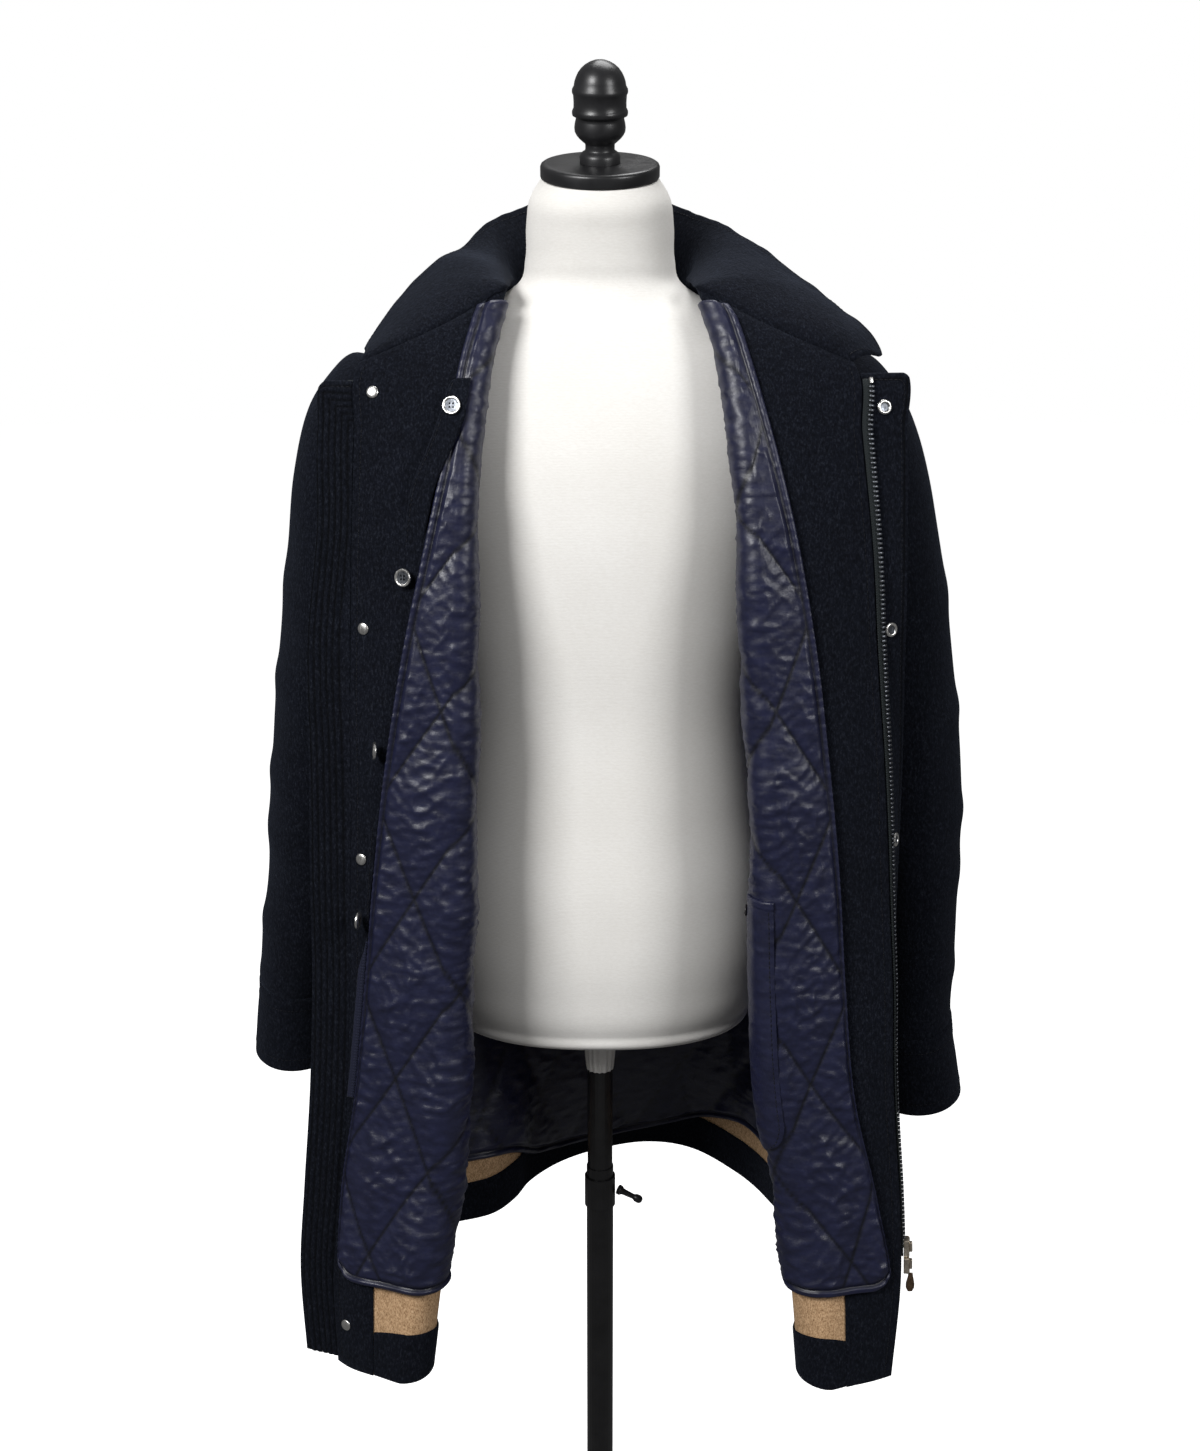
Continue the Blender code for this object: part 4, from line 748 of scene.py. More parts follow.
def scatter(name: str, pattern: Piece, frames: Sequence[Matrix], material: Finish) -> Piece:
    """One object with a copy of a small pattern piece at each place; the pattern itself is removed.

    Args:
        name: the new object's name.
        pattern: the piece that repeats.
        frames: a place for each copy.
        material: its material.

    Returns:
        The joined copies.
    """
    points = np.array([tuple(v.co) for v in pattern.data.vertices])
    pattern.data.calc_loop_triangles()
    faces = np.array([tuple(t.vertices) for t in pattern.data.loop_triangles])
    places = np.array([tuple(map(tuple, frame)) for frame in frames])
    spread = np.einsum("kij,nj->kni", places[:, :3, :3], points) + places[:, None, :3, 3]
    shift = (np.arange(len(frames)) * len(points))[:, None, None]
    made = mesh_object(name, spread.reshape(-1, 3), (faces[None] + shift).reshape(-1, 3))
    made.data.materials.append(material)
    bpy.data.objects.remove(pattern, do_unlink=True)
    return made


def resample(points: Grid, ways: Grid, pitch: float) -> list[tuple[Grid, Grid, Grid]]:
    """Evenly spaced places on a line: the point, the line's heading and the way off the cloth."""
    walked = np.concatenate(([0.0], np.cumsum(np.linalg.norm(np.diff(points, axis=0), axis=1))))
    spots = np.arange(pitch / 2, walked[-1], pitch)
    place = np.stack([np.interp(spots, walked, points[:, k]) for k in range(3)], axis=-1)
    ahead = np.stack([np.interp(spots + pitch / 4, walked, points[:, k]) for k in range(3)], axis=-1)
    behind = np.stack([np.interp(spots - pitch / 4, walked, points[:, k]) for k in range(3)], axis=-1)
    off = unit(np.stack([np.interp(spots, walked, ways[:, k]) for k in range(3)], axis=-1))
    heading = unit(ahead - behind)
    return list(zip(place, heading, off))


def frame_at(point: Grid, heading: Grid, off: Grid, lift: float = 0.0) -> Matrix:
    """A place whose X runs along a heading and whose Z stands off the cloth."""
    z_axis = Vector(off).normalized()
    x_axis = (Vector(heading) - z_axis * Vector(heading).dot(z_axis)).normalized()
    y_axis = z_axis.cross(x_axis)
    turn = Matrix((x_axis, y_axis, z_axis)).transposed().to_4x4()
    return Matrix.Translation(Vector(point) + z_axis * lift) @ turn


def standing_on(point: Grid, way: Grid, spin: float = 0.0) -> Matrix:
    """The place of a piece whose foot is at a point and whose +Z runs along a way."""
    turn = Vector(way).to_track_quat("Z", "Y").to_matrix().to_4x4()
    return Matrix.Translation(Vector(point)) @ turn @ Matrix.Rotation(spin, 4, "Z")


# ---------------------------------------------------------------- finishes


class Graph:
    """A material's nodes, added one at a time round its Principled shader."""

    def __init__(self, name: str, roughness: float, metallic: float = 0.0, **sockets: object) -> None:
        """Makes the material; sockets are more values of the shader, with _ for a space."""
        self.material = bpy.data.materials.new(name)
        self.material.use_nodes = True
        self.tree = self.material.node_tree
        self.shader = self.tree.nodes["Principled BSDF"]
        self.shader.inputs["Roughness"].default_value = roughness
        self.shader.inputs["Metallic"].default_value = metallic
        for key, value in sockets.items():
            self.shader.inputs[key.replace("_", " ")].default_value = value
        places = self.tree.nodes.new("ShaderNodeTexCoord")
        self.place = places.outputs["Object"]
        self.cloth = places.outputs["UV"]

    def add(
        self, kind: str, inputs: dict[object, object] | None = None, **settings: object
    ) -> bpy.types.Node:
        """Adds a node with its settings and its inputs, each a value or another node's output."""
        node = self.tree.nodes.new(kind)
        for key, value in settings.items():
            setattr(node, key, value)
        for key, value in (inputs or {}).items():
            if isinstance(value, Socket):
                self.tree.links.new(value, node.inputs[key])
            else:
                node.inputs[key].default_value = value
        return node

    def stretched(self, source: Socket, scale: Sequence[float], turn: float = 0.0) -> Socket:
        """The place scaled along each axis and turned about Z."""
        inputs = {"Vector": source, "Scale": tuple(scale), "Rotation": (0.0, 0.0, turn)}
        return self.add("ShaderNodeMapping", inputs).outputs[0]

    def noise(
        self, scale: float, detail: float = 3.0, rough: float = 0.6, at: Socket | None = None
    ) -> Socket:
        """Cloudy noise with hills of about one over the scale, in metres."""
        inputs = {"Vector": at or self.place, "Scale": scale, "Detail": detail, "Roughness": rough}
        return self.add("ShaderNodeTexNoise", inputs).outputs[0]

    def blend(self, share: Socket, stops: Sequence[tuple[float, Sequence[float]]]) -> Socket:
        """Colours along a share, as (place, colour) stops."""
        ramp = self.add("ShaderNodeValToRGB", {0: share})
        elements = ramp.color_ramp.elements
        while len(elements) < len(stops):
            elements.new(0.5)
        for element, (place, colour) in zip(elements, stops):
            element.position = place
            element.color = (*colour, 1.0)
        return ramp.outputs[0]

    def levels(self, share: Socket, low: float, high: float) -> Socket:
        """A number from low to high as the share goes from 0.3 to 0.7."""
        inputs = {0: share, 1: 0.3, 2: 0.7, 3: low, 4: high}
        return self.add("ShaderNodeMapRange", inputs).outputs[0]

    def shade(self, first: Socket, second: Socket, share: float) -> Socket:
        """The first colour multiplied by the second, by a share."""
        node = self.add("ShaderNodeMix", {0: share}, data_type="RGBA", blend_type="MULTIPLY")
        self.tree.links.new(first, node.inputs[6])
        self.tree.links.new(second, node.inputs[7])
        return node.outputs[2]

    def painted_groove_shade(self, source: Socket, darkest: float) -> Socket:
        """A colour with painted shade, darkened where the cloth is drawn down by stitches."""
        groove = self.add("ShaderNodeAttribute", attribute_name="groove").outputs["Fac"]
        shade = self.blend(groove, ((0.0, (1.0, 1.0, 1.0)), (1.0, (darkest, darkest, darkest))))
        return self.shade(source, shade, 1.0)

    def colour(self, source: Socket) -> None:
        """Gives the shader its colour."""
        self.tree.links.new(source, self.shader.inputs["Base Color"])

    def gloss(self, source: Socket) -> None:
        """Gives the shader its roughness."""
        self.tree.links.new(source, self.shader.inputs["Roughness"])

    def bumps(self, *layers: tuple[Socket, float, float]) -> None:
        """Gives the shader relief, as (height, distance in metres, strength) layers."""
        normal = None
        for height, distance, strength in layers:
            inputs = {"Height": height, "Distance": distance, "Strength": strength}
            if normal is not None:
                inputs["Normal"] = normal
            normal = self.add("ShaderNodeBump", inputs).outputs[0]
        self.tree.links.new(normal, self.shader.inputs["Normal"])


@dataclass(frozen=True)
class Wool:
    """A heavy milled wool with a short brushed nap, and flecks of lighter and darker fibres."""

    name: str = "navy_wool_cloth"
    dark: Triple = (0.0018, 0.0026, 0.0052)
    middle: Triple = (0.0056, 0.0070, 0.0125)
    light: Triple = (0.0240, 0.0280, 0.0400)
    sheen: Triple = (0.45, 0.55, 0.80)
    sheen_weight: float = 0.06

    def material(self) -> Finish:
        """The cloth's material."""
        g = Graph(
            self.name, 0.95, Specular_IOR_Level=0.10, Sheen_Weight=self.sheen_weight, Sheen_Roughness=0.45
        )
        g.shader.inputs["Sheen Tint"].default_value = (*self.sheen, 1.0)
        nap = g.stretched(g.place, (1.0, 1.0, 0.45))
        fibres = g.noise(620, 3, 0.75, nap)
        felt = g.noise(230, 4, 0.65)
        worn = g.noise(16, 3, 0.5)
        flecks = g.blend(fibres, ((0.30, self.dark), (0.52, self.middle), (0.74, self.light)))
        clouds = g.blend(felt, ((0.30, (0.45, 0.45, 0.45)), (0.70, (1.0, 1.0, 1.0))))
        patches = g.blend(worn, ((0.3, (0.80, 0.80, 0.80)), (0.7, (1.0, 1.0, 1.0))))
        # Painted shade: the colour darkens down to a quarter along the sewn grooves marked on the flap.
        g.colour(g.painted_groove_shade(g.shade(g.shade(flecks, clouds, 0.9), patches, 0.8), 0.25))
        g.bumps((felt, 0.0016, 0.75), (fibres, 0.0006, 0.75))
        return g.material


@dataclass(frozen=True)
class QuiltNylon:
    """A thin glossy nylon with fine crumples over the quilting's own wrinkles."""

    name: str = "navy_nylon_cloth"
    deep: Triple = (0.0060, 0.0070, 0.0240)
    bright: Triple = (0.0120, 0.0140, 0.0430)

    def material(self) -> Finish:
        """The lining's material."""
        g = Graph(self.name, 0.40, Specular_IOR_Level=0.50, Sheen_Weight=0.04, Sheen_Roughness=0.3)
        g.shader.inputs["Sheen Tint"].default_value = (0.55, 0.60, 0.95, 1.0)
        crumple = g.noise(70, 3, 0.55, g.stretched(g.place, (1.0, 1.0, 2.2)))
        fine = g.noise(420, 3, 0.6)
        weave = g.add("ShaderNodeTexChecker", {"Vector": g.cloth, "Scale": 2600.0}).outputs[1]
        # Painted shade: the colour darkens down to 0.15 along the quilting's seam grooves and inside the
        # piping.
        g.colour(g.painted_groove_shade(g.blend(crumple, ((0.30, self.deep), (0.70, self.bright))), 0.15))
        g.gloss(g.levels(fine, 0.34, 0.48))
        inputs = {
            "Vector": g.stretched(g.place, (1.0, 1.0, 1.9), 0.5), "Scale": 48.0, "Detail": 3.0,
            "Roughness": 0.5
        }
        drawn = g.add("ShaderNodeTexNoise", inputs, noise_type="RIDGED_MULTIFRACTAL").outputs[0]
        g.bumps((drawn, 0.0024, 0.60), (crumple, 0.0009, 0.35), (fine, 0.0003, 0.30), (weave, 0.00003, 0.25))
        return g.material


@dataclass(frozen=True)
class CamelWool:
    """The wool's inner face: camel with darker and lighter flecks."""

    name: str = "camel_wool_face"

    def material(self) -> Finish:
        """The inner face's material."""
        g = Graph(self.name, 0.95, Specular_IOR_Level=0.08, Sheen_Weight=0.10, Sheen_Roughness=0.5)
        g.shader.inputs["Sheen Tint"].default_value = (0.95, 0.80, 0.60, 1.0)
        fibres = g.noise(900, 3, 0.75, g.stretched(g.place, (1.0, 1.0, 0.5)))
        felt = g.noise(210, 4, 0.65)
        stops = ((0.30, (0.200, 0.115, 0.055)), (0.50, (0.560, 0.355, 0.200)), (0.72, (0.800, 0.570, 0.360)))
        clouds = g.blend(felt, ((0.3, (0.72, 0.70, 0.66)), (0.7, (1.0, 1.0, 1.0))))
        g.colour(g.shade(g.blend(fibres, stops), clouds, 0.9))
        g.bumps((felt, 0.0010, 0.6), (fibres, 0.0004, 0.7))
        return g.material


@dataclass(frozen=True)
class Woven:
    """A narrow woven tape or a thread, ribbed along its length."""

    name: str
    dark: Triple
    light: Triple
    pitch: float = 0.0011
    roughness: float = 0.75

    def material(self) -> Finish:
        """The tape's material."""
        g = Graph(self.name, self.roughness, Specular_IOR_Level=0.20, Sheen_Weight=0.05)
        bands = {"Vector": g.cloth, "Scale": 1 / (self.pitch * math.pi), "Distortion": 1.2, "Detail": 1.0}
        ribs = g.add("ShaderNodeTexWave", bands, bands_direction="DIAGONAL").outputs[1]
        fibres = g.noise(2400, 2, 0.6)
        g.colour(g.blend(ribs, ((0.1, self.dark), (0.9, self.light))))
        g.bumps((ribs, 0.0003, 0.5), (fibres, 0.0002, 0.4))
        return g.material


@dataclass(frozen=True)
class Metal:
    """A plated metal with faint scratches and duller patches."""

    name: str
    tone: Triple
    dull: Triple
    roughness: float = 0.22

    def material(self) -> Finish:
        """The metal's material."""
        g = Graph(self.name, self.roughness, 1.0)
        patches = g.noise(520, 4, 0.6)
        scratches = g.noise(1300, 2, 0.5, g.stretched(g.place, (1.0, 1.0, 0.12), 0.6))
        g.colour(g.blend(patches, ((0.25, self.dull), (0.60, self.tone))))
        g.gloss(g.levels(scratches, self.roughness * 0.8, self.roughness * 1.6))
        g.bumps((scratches, 0.00006, 0.35))
        return g.material


@dataclass(frozen=True)
class FormJersey:
    """The dress form's stretched warm white jersey."""

    name: str = "form_jersey"

    def material(self) -> Finish:
        """The jersey's material."""
        g = Graph(self.name, 0.85, Specular_IOR_Level=0.20, Sheen_Weight=0.15, Sheen_Roughness=0.6)
        bands = {"Vector": g.place, "Scale": 1 / (0.0013 * math.pi), "Distortion": 1.5, "Detail": 1.0}
        courses = g.add("ShaderNodeTexWave", bands, bands_direction="Z").outputs[1]
        slubs = g.noise(260, 3, 0.6, g.stretched(g.place, (1.0, 1.0, 3.0)))
        soiled = g.noise(9, 3, 0.5)
        tone = g.blend(slubs, ((0.3, (0.845, 0.825, 0.790)), (0.7, (0.900, 0.885, 0.855))))
        faded = g.blend(soiled, ((0.3, (0.955, 0.950, 0.940)), (0.7, (1.0, 1.0, 1.0))))
        g.colour(g.shade(tone, faded, 1.0))
        g.bumps((slubs, 0.0003, 0.3), (courses, 0.00012, 0.35))
        return g.material


@dataclass(frozen=True)
class SatinBlack:
    """Black enamel over turned wood and steel, a little worn where it is handled."""

    name: str = "satin_black"
    roughness: float = 0.34
    tone: Triple = (0.0095, 0.0095, 0.0105)

    def material(self) -> Finish:
        """The enamel's material."""
        g = Graph(self.name, self.roughness, Specular_IOR_Level=0.45, Coat_Weight=0.12, Coat_Roughness=0.25)
        peel = g.noise(240, 2, 0.5)
        rubbed = g.noise(38, 4, 0.6)
        light = tuple(c * 1.7 + 0.003 for c in self.tone)
        g.colour(g.blend(rubbed, ((0.35, self.tone), (0.75, light))))
        g.gloss(g.levels(rubbed, self.roughness * 0.85, self.roughness * 1.25))
        g.bumps((peel, 0.00012, 0.3))
        return g.material


@dataclass(frozen=True)
class StudioPaper:
    """The floor's plain pale paper."""

    name: str = "pale_paper"
    lift: float = 0.885

    def material(self) -> Finish:
        """The paper's material."""
        g = Graph(self.name, 0.9, Specular_IOR_Level=0.1, Emission_Strength=self.lift)
        g.shader.inputs["Emission Color"].default_value = (1.0, 1.0, 1.0, 1.0)
        grain = g.noise(60, 3, 0.5)
        g.colour(g.blend(grain, ((0.3, (0.905, 0.905, 0.905)), (0.7, (0.925, 0.925, 0.925)))))
        return g.material


def made(look: Wool | QuiltNylon | CamelWool | Woven | Metal | FormJersey | SatinBlack) -> Finish:
    """A field that holds a look's material."""
    return field(default_factory=look.material)


@dataclass
class Finishes:
    """Every finish of the coat and its stand, made once."""

    wool: Finish = made(Wool())
    camel: Finish = made(CamelWool())
    nylon: Finish = made(QuiltNylon())
    tape: Finish = made(Woven("zip_tape_weave", (0.006, 0.008, 0.009), (0.020, 0.026, 0.028)))
    thread: Finish = made(Woven("navy_thread", (0.0025, 0.003, 0.006), (0.010, 0.012, 0.021), 0.0006, 0.6))
    liner_tape: Finish = made(Woven("liner_zip_weave", (0.004, 0.005, 0.014), (0.015, 0.018, 0.042)))
    silver: Finish = made(Metal("bright_nickel", (0.78, 0.77, 0.75), (0.58, 0.57, 0.55), 0.26))
    tooth: Finish = made(Metal("dark_nickel", (0.17, 0.18, 0.20), (0.07, 0.075, 0.085), 0.32))
    champagne: Finish = made(Metal("champagne_plate", (0.76, 0.68, 0.56), (0.50, 0.43, 0.34), 0.30))
    bronze: Finish = made(Metal("brown_bronze", (0.30, 0.20, 0.13), (0.12, 0.075, 0.045), 0.34))
    jersey: Finish = made(FormJersey())
    enamel: Finish = made(SatinBlack())
    horn: Finish = made(SatinBlack("dark_horn", 0.28, (0.012, 0.011, 0.012)))


# ---------------------------------------------------------------- the workbench


class Bench:
    """Blender's own modelling tools, used on one new piece at a time."""

    @staticmethod
    def clear() -> None:
        """Leaves nothing selected."""
        if bpy.context.mode != "OBJECT":
            bpy.ops.object.mode_set(mode="OBJECT")
        bpy.ops.object.select_all(action="DESELECT")

    @staticmethod
    def hold(piece: Piece) -> None:
        """Selects one piece alone and makes it the active one."""
        Bench.clear()
        piece.select_set(True)
        bpy.context.view_layer.objects.active = piece

    @staticmethod
    def settle(piece: Piece, place: Matrix, angle: float = 40.0) -> Piece:
        """Puts a piece at its place, with the place kept in its mesh, and shades it.

        Args:
            piece: the piece, modelled at the origin.
            place: where it goes.
            angle: edges sharper than this, in degrees, stay sharp.

        Returns:
            The piece.
        """
        Bench.hold(piece)
        piece.matrix_world = place
        bpy.ops.object.transform_apply(location=True, rotation=True, scale=True)
        bpy.ops.object.shade_smooth_by_angle(angle=math.radians(angle))
        Bench.clear()
        return piece

    @staticmethod
    def turn(name: str, profile: Sequence[Pair], points: int) -> Piece:
        """Turns a solid: a disc is extruded and resized from ring to ring.

        Args:
            name: the piece's name.
            profile: (radius, height) pairs from the bottom up; none of the radii is 0.
            points: how many points go round.

        Returns:
            The solid, about +Z at the origin.
        """
        Bench.clear()
        radius, height = profile[0]
        bpy.ops.mesh.primitive_circle_add(
            vertices=points, radius=radius, fill_type="NGON", location=(0, 0, 0)
        )
        piece = bpy.context.view_layer.objects.active
        piece.name = name
        bpy.ops.object.mode_set(mode="EDIT")
        bpy.ops.mesh.select_mode(type="FACE")
        bpy.ops.mesh.select_all(action="SELECT")
        bpy.ops.transform.translate(value=(0, 0, height))
        for next_radius, next_height in profile[1:]:
            bpy.ops.mesh.extrude_region_move(TRANSFORM_OT_translate={"value": (0, 0, next_height - height)})
            scale = next_radius / radius
            bpy.ops.transform.resize(value=(scale, scale, 1), center_override=(0, 0, next_height))
            radius, height = next_radius, next_height
        bpy.ops.mesh.select_all(action="SELECT")
        bpy.ops.mesh.normals_make_consistent(inside=False)
        bpy.ops.object.mode_set(mode="OBJECT")
        return piece

    @staticmethod
    def block(name: str, size: Sequence[float], bevel: float, segments: int = 3) -> Piece:
        """A block with rounded corners, its middle at the origin."""
        Bench.clear()
        bpy.ops.mesh.primitive_cube_add(size=1.0, location=(0, 0, 0))
        piece = bpy.context.view_layer.objects.active
        piece.name = name
        bpy.ops.object.mode_set(mode="EDIT")
        bpy.ops.mesh.select_all(action="SELECT")
        bpy.ops.transform.resize(value=tuple(size), center_override=(0, 0, 0))
        bpy.ops.mesh.bevel(offset=bevel, segments=segments, affect="EDGES")
        bpy.ops.object.mode_set(mode="OBJECT")
        return piece

    @staticmethod
    def pick(piece: Piece, test: Callable[[Vector, Vector], bool]) -> int:
        """Selects the faces whose middle and normal pass a test, and goes into edit mode.

        Args:
            piece: the piece.
            test: takes a face's middle and its normal.

        Returns:
            How many faces are selected.
        """
        Bench.hold(piece)
        bpy.ops.object.mode_set(mode="EDIT")
        bpy.ops.mesh.select_mode(type="FACE")
        bpy.ops.mesh.select_all(action="DESELECT")
        bpy.ops.object.mode_set(mode="OBJECT")
        picked = 0
        for face in piece.data.polygons:
            face.select = bool(test(face.center, face.normal))
            picked += face.select
        bpy.ops.object.mode_set(mode="EDIT")
        return picked

    @staticmethod
    def sink(piece: Piece, test: Callable[[Vector, Vector], bool], inset: float, depth: float) -> None:
        """Insets the faces that pass a test and moves them in by a depth."""
        if Bench.pick(piece, test):
            bpy.ops.mesh.inset(thickness=inset, depth=0.0, use_even_offset=True)
            bpy.ops.mesh.inset(thickness=0.00005, depth=-depth, use_even_offset=True)
        bpy.ops.object.mode_set(mode="OBJECT")

    @staticmethod
    def cut(piece: Piece, cutter: Piece) -> None:
        """Cuts one piece from another, and removes the cutter."""
        Bench.hold(piece)
        modifier = piece.modifiers.new("cut", "BOOLEAN")
        modifier.operation = "DIFFERENCE"
        modifier.object = cutter
        bpy.ops.object.modifier_apply(modifier=modifier.name)
        bpy.data.objects.remove(cutter, do_unlink=True)

    @staticmethod
    def join(pieces: Sequence[Piece], name: str) -> Piece:
        """Joins pieces into the first, under a new name."""
        Bench.clear()
        for piece in pieces:
            piece.select_set(True)
        bpy.context.view_layer.objects.active = pieces[0]
        bpy.ops.object.join()
        joined = bpy.context.view_layer.objects.active
        joined.name = name
        Bench.clear()
        return joined

    @staticmethod
    def copy(piece: Piece, name: str) -> Piece:
        """A copy with a mesh of its own."""
        made = bpy.data.objects.new(name, piece.data.copy())
        bpy.context.scene.collection.objects.link(made)
        return made


def dress(piece: Piece, material: Finish | None, slot: str, *nodes: str, body: str = BODY) -> Piece:
    """Gives a piece its material, its body and the nodes it stands for.

    Args:
        piece: the piece.
        material: its finish, or None where it has its own already.
        slot: the record's material slot; not used.
        nodes: the nodes that it replaces.
        body: the body that it rides on.

    Returns:
        The piece.
    """
    if material is not None:
        piece.data.materials.clear()
        piece.data.materials.append(material)
    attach(piece, body)
    if nodes:
        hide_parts(*nodes)
    LOG.info("%s: %d faces, on %s", piece.name, len(piece.data.polygons), body)
    return piece


def declare_cloth(piece: Piece, flat: Grid) -> None:
    """Logs a sheet of cloth's cut size and area, from the panel it was cut as.

    Args:
        piece: the cloth.
        flat: the panel's points without its quilting or piping.
    """
    u, v = lengths(flat)
    width, length = float(u[:, -1].max()), float(v[-1].max())
    one = np.linalg.norm(np.cross(flat[1:, :-1] - flat[:-1, :-1], flat[:-1, 1:] - flat[:-1, :-1]), axis=2)
    two = np.linalg.norm(np.cross(flat[1:, :-1] - flat[1:, 1:], flat[:-1, 1:] - flat[1:, 1:]), axis=2)
    area = float((one + two).sum() / 2)
    if min(width, length) < 0.010:
        LOG.info("%s: a trim %.1f mm wide, too narrow for a sheet", piece.name, min(width, length) * 1000)
        return
    area = min(max(area, 0.31 * width * length), width * length)
    LOG.info("%s: cut %.0f by %.0f mm, %.4f square metres", piece.name, width * 1000, length * 1000, area)


# ---------------------------------------------------------------- cloth


def rounded(distance: Grid, radius: float) -> Grid:
    """How thick a soft edge is at a distance in from it, from 0 to 1."""
    left = 1 - np.clip(distance / radius, 0, 1)
    return np.sqrt(np.maximum(1 - left**2, 0.02))


def borders(grid: Grid, sides: str) -> Grid:
    """How far each point is from the nearest of some borders.

    Args:
        grid: the points.
        sides: any of t, b, l and r, for the first row, the last row, the first column and the last.

    Returns:
        The distance for each point, in metres.
    """
    u, v = lengths(grid)
    choices = {"t": v, "b": v[-1:] - v, "l": u, "r": u[:, -1:] - u}
    return np.min([choices[side] for side in sides], axis=0)


def thinned(depth: Pair, edge: Grid) -> tuple[Grid, Grid]:
    """A layer's two depths, drawn together where its edge is thin.

    Args:
        depth: The layer's lower and upper depth in metres.
        edge: 0 at the rim, 1 where the layer has its whole thickness.

    Returns:
        The lower and the upper depth at each point.
    """
    middle, half = sum(depth) / 2, (depth[1] - depth[0]) / 2
    return middle - half * edge, middle + half * edge


def lay_wool(
    panel: Panel, names: tuple[str, str], z: Grid, w: Grid, depths: Sequence[Grid | float],
    looks: Sequence[Finish]
) -> Piece:
    """A layer of wool over a panel, with its node and its cut.

    Args:
        panel: The panel it lies over.
        names: The piece's name and its node's.
        z: Heights of the grid.
        w: Places across the panel.
        depths: The layer's two depths off the panel.
        looks: Its materials, in slot order.

    Returns:
        The piece.
    """
    piece = shell(names[0], panel.at(z, w, depths[0]), panel.at(z, w, depths[1]), looks)
    dress(piece, None, "navy_wool", names[1])
    declare_cloth(piece, panel.at(z, w))
    return piece


def spaced(stops: Sequence[Pair]) -> Grid:
    """Numbers from the first stop to the last, with each stretch's own step.

    Args:
        stops: (number, step up to it) pairs; the first one's step isn't used.

    Returns:
        The numbers, in the order of the stops.
    """
    numbers = [stops[0][0]]
    for (start, _), (end, step) in zip(stops, stops[1:]):
        count = max(1, round(abs(end - start) / step))
        numbers += list(np.linspace(start, end, count + 1)[1:])
    return np.array(numbers)


@dataclass
class Stitching:
    """Rows of topstitching, gathered from every piece and sewn as one."""

    thread: Finish
    pitch: float = 0.0044
    frames: list[Matrix] = field(default_factory=list)

    def along(self, points: Grid, ways: Grid, lift: float = 0.00012) -> None:
        """Adds a row of stitches along a line of points, with the ways off the cloth."""
        for place, heading, off in resample(points, ways, self.pitch):
            self.frames.append(frame_at(place, heading, off, lift))

    def on(self, panel: Panel, z: Grid, w: Grid, depth: float, inside: bool = True) -> None:
        """Adds a row on a panel's inner or outer face, at heights and columns."""
        z, w = spread(z, w)
        self.along(panel.at(z, w, depth), panel.inward(z, w) * (1 if inside else -1))

    def sew(self, name: str) -> Piece:
        """Models one stitch, and lays a copy of it at each place."""
        half = self.pitch * 0.40
        profile = ((0.00014, -half), (0.00038, 0.0), (0.00014, half))
        stitch = Bench.turn("one_stitch", profile, 4)
        Bench.settle(stitch, Matrix.Rotation(math.pi / 2, 4, "Y"))
        made = scatter(name, stitch, self.frames, self.thread)
        self.frames.clear()
        return dress(made, None, "navy_wool")


@dataclass
class Front:
    """One front: its wool, the facing on the turned layer and the band inside its hem."""

    side: Side
    panel: FrontPanel
    finishes: Finishes
    stitching: Stitching
    wool: Pair = (0.0, 0.0020)
    facing: Pair = (0.0026, 0.0041)
    facing_from: float = 1.35

    def build(self) -> None:
        """Builds the three pieces and their stitching."""
        self.build_wool()
        self.build_facing()
        self.build_hem_facing()

    def build_wool(self) -> None:
        """The front itself, navy outside and camel inside, with a navy yoke at the neck."""
        w = spaced(((0, 1), (0.8, 0.025), (1.2, 0.014), (1.35, 0.014), (1.5, 0.05), (2.0, 0.02)))[None, :]
        share = np.linspace(0, 1, 110)[:, None]
        z = HEM_Z + (1 - share) * (front_top(w) - HEM_Z)
        z, w = spread(z, w)
        word, looks = self.side.word, [self.finishes.wool, self.finishes.camel]
        names = (f"wool_front_{word}", f"front_{word}")
        plain_above(lay_wool(self.panel, names, z, w, self.wool, looks))

    def build_facing(self) -> None:
        """The facing, with a rounded free edge at the front's edge and its row of stitches."""
        w = spaced(((self.facing_from, 1), (1.5, 0.05), (1.94, 0.02), (2.0, 0.006)))[None, :]
        share = np.linspace(0, 1, 150)[:, None]
        z = HEM_Z + (1 - share) * (front_top(w) - HEM_Z)
        z, w = spread(z, w)
        depths = thinned(self.facing, rounded(borders(self.panel.at(z, w), "rb"), 0.0018))
        word = self.side.word
        names = (f"wool_facing_{word}", f"facing_{word}")
        lay_wool(self.panel, names, z, w, depths, [self.finishes.wool])
        heights = np.linspace(1.333, HEM_Z + 0.004, 240)
        edge_x = self.panel.marks(heights)["edge_x"]
        column = self.panel.column(heights, edge_x - 0.0065)
        self.stitching.on(self.panel, heights, column, self.facing[1])

    def build_hem_facing(self) -> None:
        """The band inside the hem, from the side seam to the facing."""
        w = spaced(((0, 1), (0.8, 0.04), (1.2, 0.02), (1.344, 0.012)))[None, :]
        z = spaced(
            ((HEM_Z + HEM_BAND, 1), (HEM_Z + 0.034, 0.002), (HEM_Z + 0.006, 0.006), (HEM_Z + 0.0006, 0.002))
        )[:, None]
        arch = 0.005 * np.sin(np.pi * np.clip((w - 1.0) / 0.344, 0, 1))
        z, w = spread(z + arch * ease((z - HEM_Z) / HEM_BAND), w)
        depths = thinned(self.facing, rounded(borders(self.panel.at(z, w), "tb"), 0.0012))
        word = self.side.word
        names = (f"hem_band_{word}", f"hem_facing_{word}")
        lay_wool(self.panel, names, z, w, depths, [self.finishes.wool])


